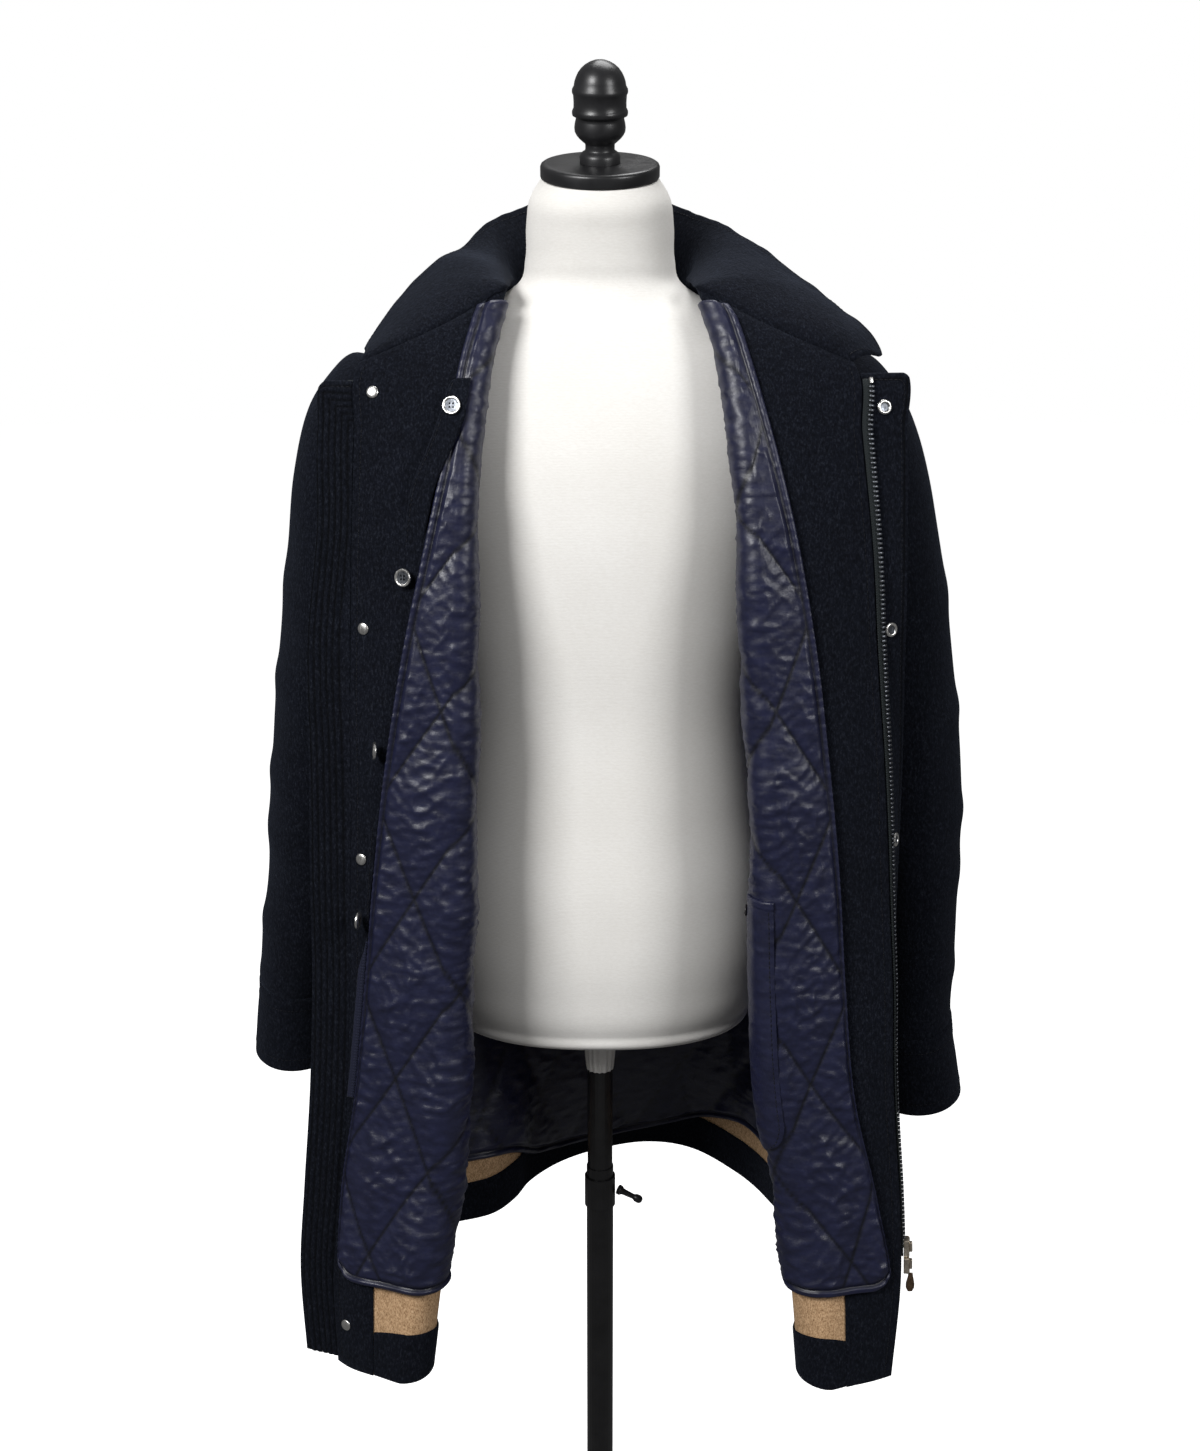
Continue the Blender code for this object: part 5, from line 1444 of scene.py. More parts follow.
@dataclass
class Back:
    """The back: its wool and the band inside its hem."""

    panel: BackPanel
    finishes: Finishes
    wool: Pair = (0.0, 0.0020)
    band: Pair = (0.0026, 0.0041)

    def build(self) -> None:
        """Builds both pieces."""
        w = np.linspace(0, 1, 96)[None, :]
        share = np.linspace(0, 1, 100)[:, None]
        z = back_hem(w) + (1 - share) * (back_top(w) - back_hem(w))
        z, w = spread(z, w)
        looks = [self.finishes.wool, self.finishes.camel]
        plain_above(lay_wool(self.panel, ("wool_back", "back"), z, w, self.wool, looks))
        w = np.linspace(0, 1, 90)[None, :]
        lift = spaced(((HEM_BAND, 1), (0.034, 0.002), (0.006, 0.006), (0.0006, 0.002)))[:, None]
        z, w = spread(back_hem(w) + lift, w)
        depths = thinned(self.band, rounded(borders(self.panel.at(z, w), "tb"), 0.0012))
        lay_wool(self.panel, ("hem_band_back", "hem_facing_back"), z, w, depths, [self.finishes.wool])


@dataclass
class Sleeve:
    """One sleeve, empty and hanging, and the turned-up band at its cuff."""

    panel: SleevePanel
    finishes: Finishes
    stitching: Stitching
    points: int = 68
    cuff_from: float = 10.0
    wool: Pair = (0.0, 0.0020)
    cuff: Pair = (-0.0008, 0.0026)

    def build(self) -> None:
        """Builds the sleeve and its cuff."""
        word = self.panel.side.word
        angle = np.linspace(0, 2 * math.pi, self.points, endpoint=False)[None, :]
        ring = spaced(((0, 1), (1, 0.2), (4, 0.1), (9, 0.04), (self.cuff_from, 0.08)))[:, None]
        self.ring_sheet(f"wool_sleeve_{word}", f"sleeve_{word}", ring, angle, self.wool, 0.0)
        ring = spaced(((self.cuff_from, 1), (11.6, 0.2), (12, 0.04)))[:, None]
        self.ring_sheet(f"wool_cuff_{word}", f"cuff_{word}", ring, angle, self.cuff, SEAM_GAP)
        turn = np.linspace(0, 2 * math.pi, 160)
        for at in (10.35, 11.72):
            self.stitching.on(self.panel, np.full(160, at), turn, self.cuff[0], inside=False)

    def ring_sheet(self, name: str, node: str, ring: Grid, angle: Grid, depths: Pair, drop: float) -> None:
        """A tube of wool between two rings; drop lowers its first ring."""
        ring, angle = np.broadcast_arrays(ring, angle)
        near, far = self.panel.at(ring, angle, depths[0]), self.panel.at(ring, angle, depths[1])
        for grid in (near, far):
            grid[0, :, 2] -= drop
        piece = shell(name, near, far, [self.finishes.wool, self.finishes.nylon], loop=True, bulge=0.5)
        dress(piece, None, "navy_wool", node)
        flat = self.panel.at(ring, angle)
        declare_cloth(
            piece, np.concatenate((flat, flat[:, :1]), axis=1)
        )


@dataclass
class Collar:
    """The collar: it rises from the neck seam and rolls outwards to its free edge."""

    back: BackPanel
    fronts: dict[Side, FrontPanel]
    finishes: Finishes
    stitching: Stitching
    thick: float = 0.0040
    edge: float = 0.0024
    stitch_in: float = 0.0062
    tip: float = 0.016

    def half(self, side: Side) -> tuple[Grid, Grid]:
        """The foot, middle and free edge of one half, from the centre back, and its inward ways."""
        share = np.linspace(0.5, 1.0 if side is Side.LEFT else 0.0, 34)[:-1]
        w = spaced(((0, 1), (0.78, 0.04), (1.22, 0.02), (2.0, 0.02)))
        base = np.concatenate(
            (self.back.point(back_top(share), share), self.fronts[side].point(front_top(w), w))
        )
        ways = np.concatenate(
            (self.back.inward(back_top(share), share), self.fronts[side].inward(front_top(w), w))
        )
        steps = np.linalg.norm(np.diff(base, axis=0), axis=1)
        walked = np.concatenate(([0.0], np.cumsum(steps))) / steps.sum()
        row = COLLAR_ROLL[side].read(walked)
        foot = base + (0, 0, SEAM_GAP)
        middle = np.stack((side.value * row["mid_x"], row["mid_y"], row["mid_z"]), -1)
        top = np.stack((side.value * row["top_x"], row["top_y"], row["top_z"]), -1)
        return np.stack((foot, 2 * middle - 0.5 * (foot + top), top)), ways

    def build(self) -> None:
        """Builds the collar and the stitching round its free edge."""
        right, right_ways = self.half(Side.RIGHT)
        left, left_ways = self.half(Side.LEFT)
        foot, handle, top = np.concatenate((right[:, :0:-1], left), axis=1)
        ways = np.concatenate((right_ways[:0:-1], left_ways))
        t = spaced(((0, 1), (0.9, 0.045), (0.97, 0.02), (1.0, 0.006)))[:, None, None]
        out = np.concatenate(([0.0], np.cumsum(np.linalg.norm(np.diff(top, axis=0), axis=1))))
        beside = np.clip(1 - np.minimum(out, out[-1] - out) / self.tip, 0, 1)
        t = t * (1 - 0.30 * (1 - np.sqrt(1 - beside**2)))[None, :, None]
        points = (1 - t) ** 2 * foot + 2 * t * (1 - t) * handle + t * t * top
        points = points + self.ripple(points, t)
        inward = np.cross(np.gradient(points, axis=1), np.gradient(points, axis=0))
        if np.dot(inward[4, points.shape[1] // 2], ways[points.shape[1] // 2]) < 0:
            inward = -inward
        settled = ease(t / 0.10)
        inward = unit(unit(inward) * settled + ways * (1 - settled))
        edge = rounded(borders(points, "blr"), self.edge)[..., None]
        middle = self.thick / 2
        near, far = points + (middle - middle * edge) * inward, points + (middle + middle * edge) * inward
        piece = shell("wool_collar", near, far, [self.finishes.wool], bulge=0.3)
        dress(piece, None, "navy_wool", "collar")
        declare_cloth(piece, points)
        u, v = lengths(points)
        up, every = v[-1:] - v, np.arange(points.shape[1])
        row = np.array([np.interp(-self.stitch_in, -up[:, j], np.arange(points.shape[0])) for j in every])
        kept = (u[0] > 0.006) & (u[0] < u[0, -1] - 0.006)
        rows = np.arange(2, int(row.min()))
        starts = np.array([np.interp(self.stitch_in, u[i], every) for i in rows])
        ends = np.array([np.interp(-self.stitch_in, u[i] - u[i, -1], every) for i in rows])
        for grid, off in ((far, inward), (near, -inward)):
            self.stitching.along(self.pick(grid, row, every)[kept], self.pick(off, row, every)[kept])
            for column in (starts, ends):
                self.stitching.along(self.pick(grid, rows, column), self.pick(off, rows, column))

    def ripple(self, points: Grid, t: Grid) -> Grid:
        """The free edge's small waves and dents."""
        x, y = points[..., 0], points[..., 1]
        wave = 0.0022 * SOFT.at(x / 0.031 + 3, y / 0.045) + 0.0008 * SOFT.at(x / 0.012, y / 0.014 + 5)
        lift = wave * (t[..., 0] ** 2) * ease((np.abs(x) - 0.03) / 0.05)
        return np.stack((0.3 * lift, -0.3 * lift, lift), -1)

    @staticmethod
    def pick(grid: Grid, row: Grid, column: Grid) -> Grid:
        """Points between a grid's own, at fractions of its rows and columns."""
        row, column = spread(row, column)
        i = np.clip(row.astype(int), 0, grid.shape[0] - 2)
        j = np.clip(column.astype(int), 0, grid.shape[1] - 2)
        s, t = (row - i)[:, None], (column - j)[:, None]
        low = grid[i, j] * (1 - t) + grid[i, j + 1] * t
        high = grid[i + 1, j] * (1 - t) + grid[i + 1, j + 1] * t
        return low * (1 - s) + high * s


@dataclass
class Flap:
    """A flap beyond a front's zip edge: the right one is ribbed by its stitching, the left one is plain."""

    panel: FrontPanel
    finishes: Finishes
    stitching: Stitching
    name: str
    node: str
    top: float
    depth: Pair
    corner: float
    rows_in: tuple[float, ...]
    rib: float = 0.0

    def build(self) -> None:
        """Builds the flap and its stitching."""
        w = spaced(((2.03, 1), (2.10, 0.02), (2.9, 0.026), (3.0, 0.008)))
        share = spaced(((0, 1), (0.004, 0.0009), (0.05, 0.0014), (0.99, 0.009), (1.0, 0.002)))[:, None]
        across = self.width(1.30)
        beside = (3.0 - w) * across
        top = self.top - self.corner + np.sqrt(
            np.maximum(self.corner**2 - np.maximum(self.corner - beside, 0) ** 2, 0)
        )
        z, w = spread(FLAP_HEM_Z + (1 - share) * (top - FLAP_HEM_Z), w[None, :])
        flat = self.panel.at(z, w)
        low, high = thinned(self.depth, rounded(borders(flat, "tbr"), 0.0016))
        inset = borders(flat, "tr")
        near, far = self.panel.at(z, w, low), self.panel.at(z, w, high + self.ribs(inset))
        piece = shell(self.name, near, far, [self.finishes.wool], bulge=0.3)
        mark_grooves(piece, self.grooves(inset))
        dress(piece, None, "navy_wool", self.node)
        declare_cloth(piece, flat)
        for inset in self.rows_in:
            self.stitch(inset)

    def width(self, z: float) -> float:
        """The flap's width at a height, from the zip edge."""
        ends = self.panel.point(np.array((z, z)), np.array((2.0, 3.0)))
        return float(np.linalg.norm(ends[1] - ends[0]))

    def ribs(self, inset: Grid) -> Grid:
        """How far the cloth stands up between the rows of stitches."""
        if not self.rib:
            return -0.0004 * self.grooves(inset)
        gap = self.rows_in[1] - self.rows_in[0]
        phase = (inset - self.rows_in[0]) / gap
        inside = ease((inset - self.rows_in[0] + gap * 0.5) / gap) * ease(
            (self.rows_in[-1] - inset + 0.001) / gap
        )
        return self.rib * np.abs(np.sin(np.pi * phase)) ** 0.7 * inside

    def grooves(self, inset: Grid) -> Grid:
        """How deep in a row of stitches each point lies, from 0 to 1."""
        return np.max([np.exp(-(((inset - row) / 0.0011) ** 2)) for row in self.rows_in], axis=0)

    def stitch(self, inset: float) -> None:
        """One row, along the top edge and down the outer edge."""
        top_row = self.top - inset
        across = self.width(1.30)
        radius = max(self.corner, 0.003)
        bend = 3.0 - (inset + radius) / across
        turn = np.linspace(0.1, math.pi / 2, 8)
        w = np.concatenate((np.linspace(2.06, bend, 30), bend + (radius / across) * np.sin(turn)))
        z = np.concatenate((np.full(30, top_row), top_row - radius * (1 - np.cos(turn))))
        down = np.linspace(top_row - radius - 0.004, FLAP_HEM_Z + 0.004, 230)
        widths = np.array([self.width(height) for height in down])
        w, z = np.concatenate((w, 3.0 - inset / widths)), np.concatenate((z, down))
        if w[0] < bend:
            self.stitching.on(self.panel, z, w, self.depth[1] - 0.0001)


@dataclass
class QuiltedLiner:
    """The quilted lining: diamonds between puckered seams, with a shirred piping along its free edges."""

    finishes: Finishes
    stitching: Stitching
    quilt_wide: float = 0.088
    quilt_tall: float = 0.1665
    crossing_z: float = 0.6335
    cloth: float = 0.0018
    puff: float = 0.0036
    puff_at_shoulder: float = 0.0012
    piping_wide: float = 0.0062
    piping_high: float = 0.0026
    corner: float = 0.018

    def backing(self, z: Grid, w: Grid) -> Grid:
        """How far the liner's back lies from the wool's outer face."""
        loose = ease((1.12 - z) / 0.30)
        over_facing = ease((w - 1.0) / 0.3) * 0.0016
        return 0.0032 + 0.0019 * loose + over_facing * (1 - loose)

    def relief(
        self, across: Grid, z: Grid, edge: Grid, seed: float, calm: Grid
    ) -> tuple[Grid, Grid]:
        """How far the quilting stands up from its flat back.

        Args:
            across: the distance across the cloth that the pattern is counted from.
            z: the height.
            edge: the distance in from the nearest piped edge.
            seed: shifts the wrinkles, so that no two pieces share them.
            calm: 0 where the liner is pressed flat, 1 where it is free.

        Returns:
            The relief in metres, and how deep in a seam's groove each point lies, which the nylon's colour
            turns into painted shade.
        """
        a, b = across / self.quilt_wide, (z - self.crossing_z) / self.quilt_tall
        unit_gap = 1 / math.hypot(1 / self.quilt_wide, 1 / self.quilt_tall)
        slope = math.atan2(self.quilt_tall, self.quilt_wide)
        wander = 0.06 * SOFT.at(across / 0.05 + seed, z / 0.06)
        pillow, creases, groove = np.ones(np.shape(z)), np.zeros(np.shape(z)), np.zeros(np.shape(z))
        for number, sign in enumerate((1.0, -1.0)):
            phase = a + sign * b
            gap = np.abs(phase - np.round(phase)) * unit_gap
            pillow = pillow * np.sin(np.pi * np.clip(gap / unit_gap, 0, 0.5)) ** 0.55
            along = z * math.sin(slope) - sign * across * math.cos(slope)
            side = np.sign(phase - np.round(phase))
            strength = 0.45 + 0.85 * np.abs(
                SOFT.at(along / 0.043 + 7 * number + seed, side * 3.1 + np.round(phase) * 1.7)
            )
            turn = np.pi * along / 0.0092 + 2.8 * SOFT.at(
                along / 0.031 + seed, side * 2.3 + np.round(phase) * 3.3
            )
            crest = (1 - np.abs(np.sin(turn + side * gap / 0.012))) ** 1.5
            fade = np.exp(-gap / 0.0140) * (gap / (gap + 0.0016))
            creases = creases + 0.0021 * crest * strength * fade
            groove = np.maximum(groove, np.exp(-((gap / 0.0014) ** 2)))
        height = self.puff_at_shoulder + (self.puff - self.puff_at_shoulder) * ease((1.32 - z) / 0.12)
        lower = 1 + 0.7 * ease((1.15 - z) / 0.35)
        drawn = 0.0013 * lower * SOFT.ridges(
            across / 0.030 + seed + wander, z / 0.013 + across / 0.05, 3.0
        ) * pillow
        slack = 0.0011 * lower * SOFT.ridges(across / 0.017 - z / 0.05 + seed, z / 0.022 + 4, 2.5) * pillow
        body = height * pillow * (1 + 0.25 * SOFT.at(across / 0.04 + seed, z / 0.05 + 2)) + creases + (
            drawn + slack
        ) * calm
        pulled = np.exp(-edge / 0.016) * 0.0010 * SOFT.ridges(
            across / 0.09 + seed, z / 0.011 + 0.3 * SOFT.at(z / 0.05, 1.0), 2.0
        )
        inside = ease((edge - self.piping_wide) / 0.006)
        ring = np.clip(1 - ((edge - self.piping_wide / 2) / (self.piping_wide / 2)) ** 2, 0, 1)
        shirr = 1 + 0.20 * np.sin(2 * np.pi * z / 0.0068 + 3 * SOFT.at(z / 0.02 + seed, 8.0)) * (
            edge < self.piping_wide
        )
        piping = self.piping_high * np.sqrt(ring) * shirr
        groove = np.where(edge < self.piping_wide, 0, groove) * (0.3 + 0.7 * calm)
        # The line just inside the piping joins the groove mask, for a painted shade line along the piping.
        groove = np.maximum(groove, 0.9 * np.exp(-(((edge - self.piping_wide - 0.0006) / 0.0012) ** 2)))
        return np.maximum((body + pulled) * inside * (0.35 + 0.65 * calm), 0.00005) + piping, groove

    def front(self, panel: FrontPanel) -> Piece:
        """One front's liner, from the side seam round the fold to its piped edge."""
        word = panel.side.word
        rows = spaced(((0, 1), (0.975, 0.0029), (0.991, 0.0018), (1.0, 0.0010)))[:, None]
        near_edge = np.array(
            (0.0, 0.0005, 0.0012, 0.0022, 0.0033, 0.0044, 0.0053, 0.0060, 0.0068, 0.0082, 0.0100)
        )[::-1]
        hidden = spaced(((0, 1), (0.78, 0.06), (1.2, 0.018)))
        share = np.linspace(0, 1, 42)[1:-1]
        hem = self.columns(panel, np.full((1, 1), LINER_HEM_Z), hidden, share, near_edge)
        flat = panel.at(np.full(hem.shape, LINER_HEM_Z), hem)
        to_edge = lengths(flat)[0][:, -1:] - lengths(flat)[0]
        corner = self.corner - np.sqrt(
            np.maximum(self.corner**2 - np.maximum(self.corner - to_edge, 0) ** 2, 0)
        )
        top = np.minimum(LINER_TOP_Z, front_top(hem) - 0.0005)
        z = (LINER_HEM_Z + corner) + (1 - rows) * (top - LINER_HEM_Z - corner)
        w = self.columns(panel, z[:, -1:], hidden, share, near_edge)
        flat = panel.at(z, w)
        u, v = lengths(flat)
        side_edge, hem_edge = u[:, -1:] - u, v[-1:] - v
        edge = np.minimum(side_edge, hem_edge)
        calm = ease((w - 0.6) / 0.3)
        raised, groove = self.relief(side_edge, z, edge, 1.7 if panel.side is Side.LEFT else 23.4, calm)
        back = self.backing(z, w)
        self.quilt(panel, side_edge, edge, z, w, back + self.cloth)
        fade = rounded(edge, 0.0012)
        near = panel.at(z, w, back + self.cloth * 0.45 * (1 - fade))
        far = panel.at(z, w, back + self.cloth * (0.55 + 0.45 * fade) + raised)
        piece = shell(f"quilted_liner_{word}", near, far, [self.finishes.nylon])
        mark_grooves(piece, groove)
        dress(piece, None, "navy_nylon", f"liner_{word}")
        declare_cloth(piece, flat)
        return piece

    def quilt(self, panel: Panel, across: Grid, edge: Grid, z: Grid, w: Grid, depth: Grid) -> None:
        """Sews the diagonal rows of the quilting, each traced row by row over the liner's grid."""
        for sign in (1.0, -1.0):
            phase = across / self.quilt_wide + sign * (z - self.crossing_z) / self.quilt_tall
            for number in range(int(np.ceil(phase.min())), int(np.floor(phase.max())) + 1):
                row, column = np.nonzero(np.diff(np.sign(phase - number), axis=1))
                first, last = phase[row, column], phase[row, column + 1]
                share = (number - first) / (last - first)

                def read(grid: Grid) -> Grid:
                    return grid[row, column] * (1 - share) + grid[row, column + 1] * share

                kept = read(edge) > self.piping_wide + 0.002
                if kept.sum() > 8:
                    place = (read(z)[kept], read(w)[kept], read(depth)[kept])
                    self.stitching.on(panel, place[0], place[1], place[2])

    @staticmethod
    def columns(panel: FrontPanel, z: Grid, hidden: Grid, share: Grid, near_edge: Grid) -> Grid:
        """Each row's columns: fixed ones to the roll's end, then evenly to the edge, then close to it."""
        pipe = panel.marks(z)["pipe_x"]
        close = panel.column(z, pipe - near_edge[None, :])
        start = panel.marks(z)["after_x"]
        last = pipe - near_edge[0]
        between = panel.column(z, start + (last - start) * share[None, :])
        fixed = np.broadcast_to(hidden[None, :], (z.shape[0], len(hidden)))
        return np.concatenate((fixed, between, close), axis=1)

    def behind(self, panel: BackPanel) -> Piece:
        """The back's liner."""
        w = np.linspace(0, 1, 100)[None, :]
        rows = spaced(((0, 1), (0.985, 0.0052), (1.0, 0.0014)))[:, None]
        raised = Table("hem", (
            (0.0, 0.0), (0.12, 0.020), (0.22, 0.036), (0.33, 0.034), (0.45, 0.010), (0.55, 0.0),
            (0.72, 0.002), (0.80, 0.018), (0.90, 0.030), (1.0, 0.006),
        ))
        hem = LINER_BACK_HEM_Z + raised.read(w)["hem"]
        top = np.minimum(LINER_TOP_Z, back_top(w) - 0.0005)
        z, w = spread(hem + (1 - rows) * (top - hem), w)
        flat = panel.at(z, w)
        u, v = lengths(flat)
        across = u - u[:, [64]]
        edge = v[-1:] - v
        raised, groove = self.relief(across, z, edge, 41.3, ease((1.0 - z) / 0.2))
        back = self.backing(z, 0 * w)
        self.quilt(panel, across, edge, z, w, back + self.cloth)
        near, far = panel.at(z, w, back), panel.at(z, w, back + self.cloth + raised)
        piece = shell("quilted_liner_back", near, far, [self.finishes.nylon])
        mark_grooves(piece, groove)
        dress(piece, None, "navy_nylon", "liner_back")
        declare_cloth(piece, flat)
        return piece


@dataclass
class Pocket:
    """The patch pocket on the left front's liner, with its welt, its stitching and its small button."""

    panel: FrontPanel
    finishes: Finishes
    stitching: Stitching
    ends: Pair = (0.5333, 1.17)
    depth: Pair = (0.0107, 0.0123)
    button_at: Pair = (0.868, 0.97)
    welt_z: float = 0.8765
    inset: Table = Table(
        "in_w", ((0.653, 0.120), (0.657, 0.075), (0.662, 0.040), (0.670, 0.014), (0.680, 0.0), (0.884, 0.0))
    )

    def build(self) -> None:
        """Builds the pocket and its button."""
        rows = ((0.884, 1), (0.878, 0.001), (0.874, 0.0008), (0.690, 0.005), (0.653, 0.002))
        z = spaced(rows)[:, None]
        start, end = self.ends
        share = np.linspace(0, 1, 52)[None, :]
        inset = np.maximum(self.inset.read(z)["in_w"], 0)
        w = start + inset + share * (end - start - 2 * inset)
        z, w = spread(z, w)
        flat = self.panel.at(z, w, self.depth[0])
        edge = borders(flat, "tblr")
        welt = 0.0009 * ease((z - self.welt_z) / 0.0015)
        sag = 0.0014 * ease(edge / 0.02) * (0.6 + 0.6 * SOFT.ridges(w * 5, z / 0.021, 2.0))
        raised = welt + sag * (z < self.welt_z)
        near = self.panel.at(z, w, self.depth[0])
        far = self.panel.at(z, w, self.depth[1] - 0.0008 * (1 - rounded(edge, 0.0015)) + raised)
        piece = shell("pocket_patch", near, far, [self.finishes.nylon])
        dress(piece, None, "navy_nylon", "liner_pocket")
        declare_cloth(piece, flat)
        for column in (0.03, 0.97):
            line_z = z[3:-3, 0]
            line_w = w[3:-3, 0] + column * (w[3:-3, -1] - w[3:-3, 0])
            self.stitching.on(self.panel, line_z, line_w, self.depth[1] + 0.0002)
        way = self.panel.inward(np.array(self.button_at[0]), np.array(self.button_at[1]))
        point = self.panel.at(self.button_at[0], self.button_at[1], self.depth[1] + 0.0012)
        profile = (
            (0.0044, 0.0), (0.0050, 0.0006), (0.0050, 0.0013), (0.0044, 0.0018), (0.0034, 0.0014),
            (0.0006, 0.0013)
        )
        button = Bench.turn("small_button", profile, 28)
        Bench.settle(button, standing_on(point, way))
        dress(button, self.finishes.horn, "black_enamel", "pocket_button")


# ---------------------------------------------------------------- fastenings


@dataclass
class ButtonStrip:
    """The narrow strip along the right liner's edge and the liner zip's tape below it."""

    panel: FrontPanel
    finishes: Finishes
    stitching: Stitching
    ends: Pair = (1.322, 0.850)
    wide: Pair = (0.004, 0.023)
    line: Table = Table(
        "start over",
        (
            (0.850, 0.0015, 0.0),
            (1.2075, 0.0015, 0.0),
            (1.228, 0.0010, 0.0038),
            (1.245, -0.0010, 0.0048),
            (1.262, -0.0060, 0.0048),
            (1.322, -0.0200, 0.0048),
        ),
    )
    depth: Pair = (0.0054, 0.0070)
    tape_ends: Pair = (0.838, 0.690)
    tape_wide: float = 0.007
    tape_start: float = 0.0020
    tape_depth: Pair = (0.0046, 0.0058)

    def build(self) -> None:
        """Builds both strips."""
        z = spaced(((self.ends[0], 1), (self.ends[0] - 0.012, 0.001), (self.ends[1], 0.006)))[:, None]
        wide = np.interp(z, self.ends[::-1], self.wide)
        share = spaced(((0, 1), (0.12, 0.06), (0.88, 0.1), (1.0, 0.06)))[None, :]
        drop = self.ends[0] - z
        cut = 0.006 - np.sqrt(np.maximum(0.006**2 - np.maximum(0.006 - drop, 0) ** 2, 0))
        line = self.line.read(z)
        x = self.panel.marks(z)["pipe_x"] + line["start"] + share * (wide - np.minimum(cut, wide * 0.4))
        self.strip(
            "wool_strip", "button_strip_right", z, x, self.depth, line["over"], 0.0, self.finishes.wool,
            "navy_wool"
        )
        heights = np.linspace(self.ends[0] - 0.004, self.ends[1] + 0.004, 160)
        wide = np.interp(heights, self.ends[::-1], self.wide)
        line = self.line.read(heights)
        x = self.panel.marks(heights)["pipe_x"] + line["start"] + wide - 0.0030
        self.stitching.on(self.panel, heights, self.panel.column(heights, x), self.depth[1] + line["over"])
        z = spaced(((self.tape_ends[0], 1), (self.tape_ends[1], 0.0006)))[:, None]
        wide = self.tape_wide * (0.25 + 0.75 * ease((self.tape_ends[0] - z) / 0.030))
        x = self.panel.marks(z)["pipe_x"] + self.tape_start + np.linspace(0, 1, 9)[None, :] * wide
        self.strip(
            "liner_tape", "liner_zip_tape", z, x, self.tape_depth, 0.0, 0.0005, self.finishes.liner_tape,
            "zip_tape"
        )

    def strip(
        self, name: str, node: str, z: Grid, x: Grid, depth: Pair, over: Grid | float, rib: float,
        look: Finish, slot: str
    ) -> None:
        """A strip on the facing; over lifts it and rib raises it in bars across."""
        z, x, over = np.broadcast_arrays(z, x, over)
        w = self.panel.column(z, x)
        flat = self.panel.at(z, w, depth[0] + over)
        edge = rounded(borders(flat, "tblr"), 0.0012)
        across = borders(flat, "l") / self.tape_wide
        bars = rib * (0.5 + 0.5 * np.sin(2 * np.pi * z / 0.0027)) * ease((0.75 - across) / 0.1) * ease(
            across / 0.1
        )
        piece = shell(
            name, flat, self.panel.at(z, w, depth[0] + over + (depth[1] - depth[0]) * edge + bars), [look]
        )
        dress(piece, None, slot, node)
        declare_cloth(piece, flat)


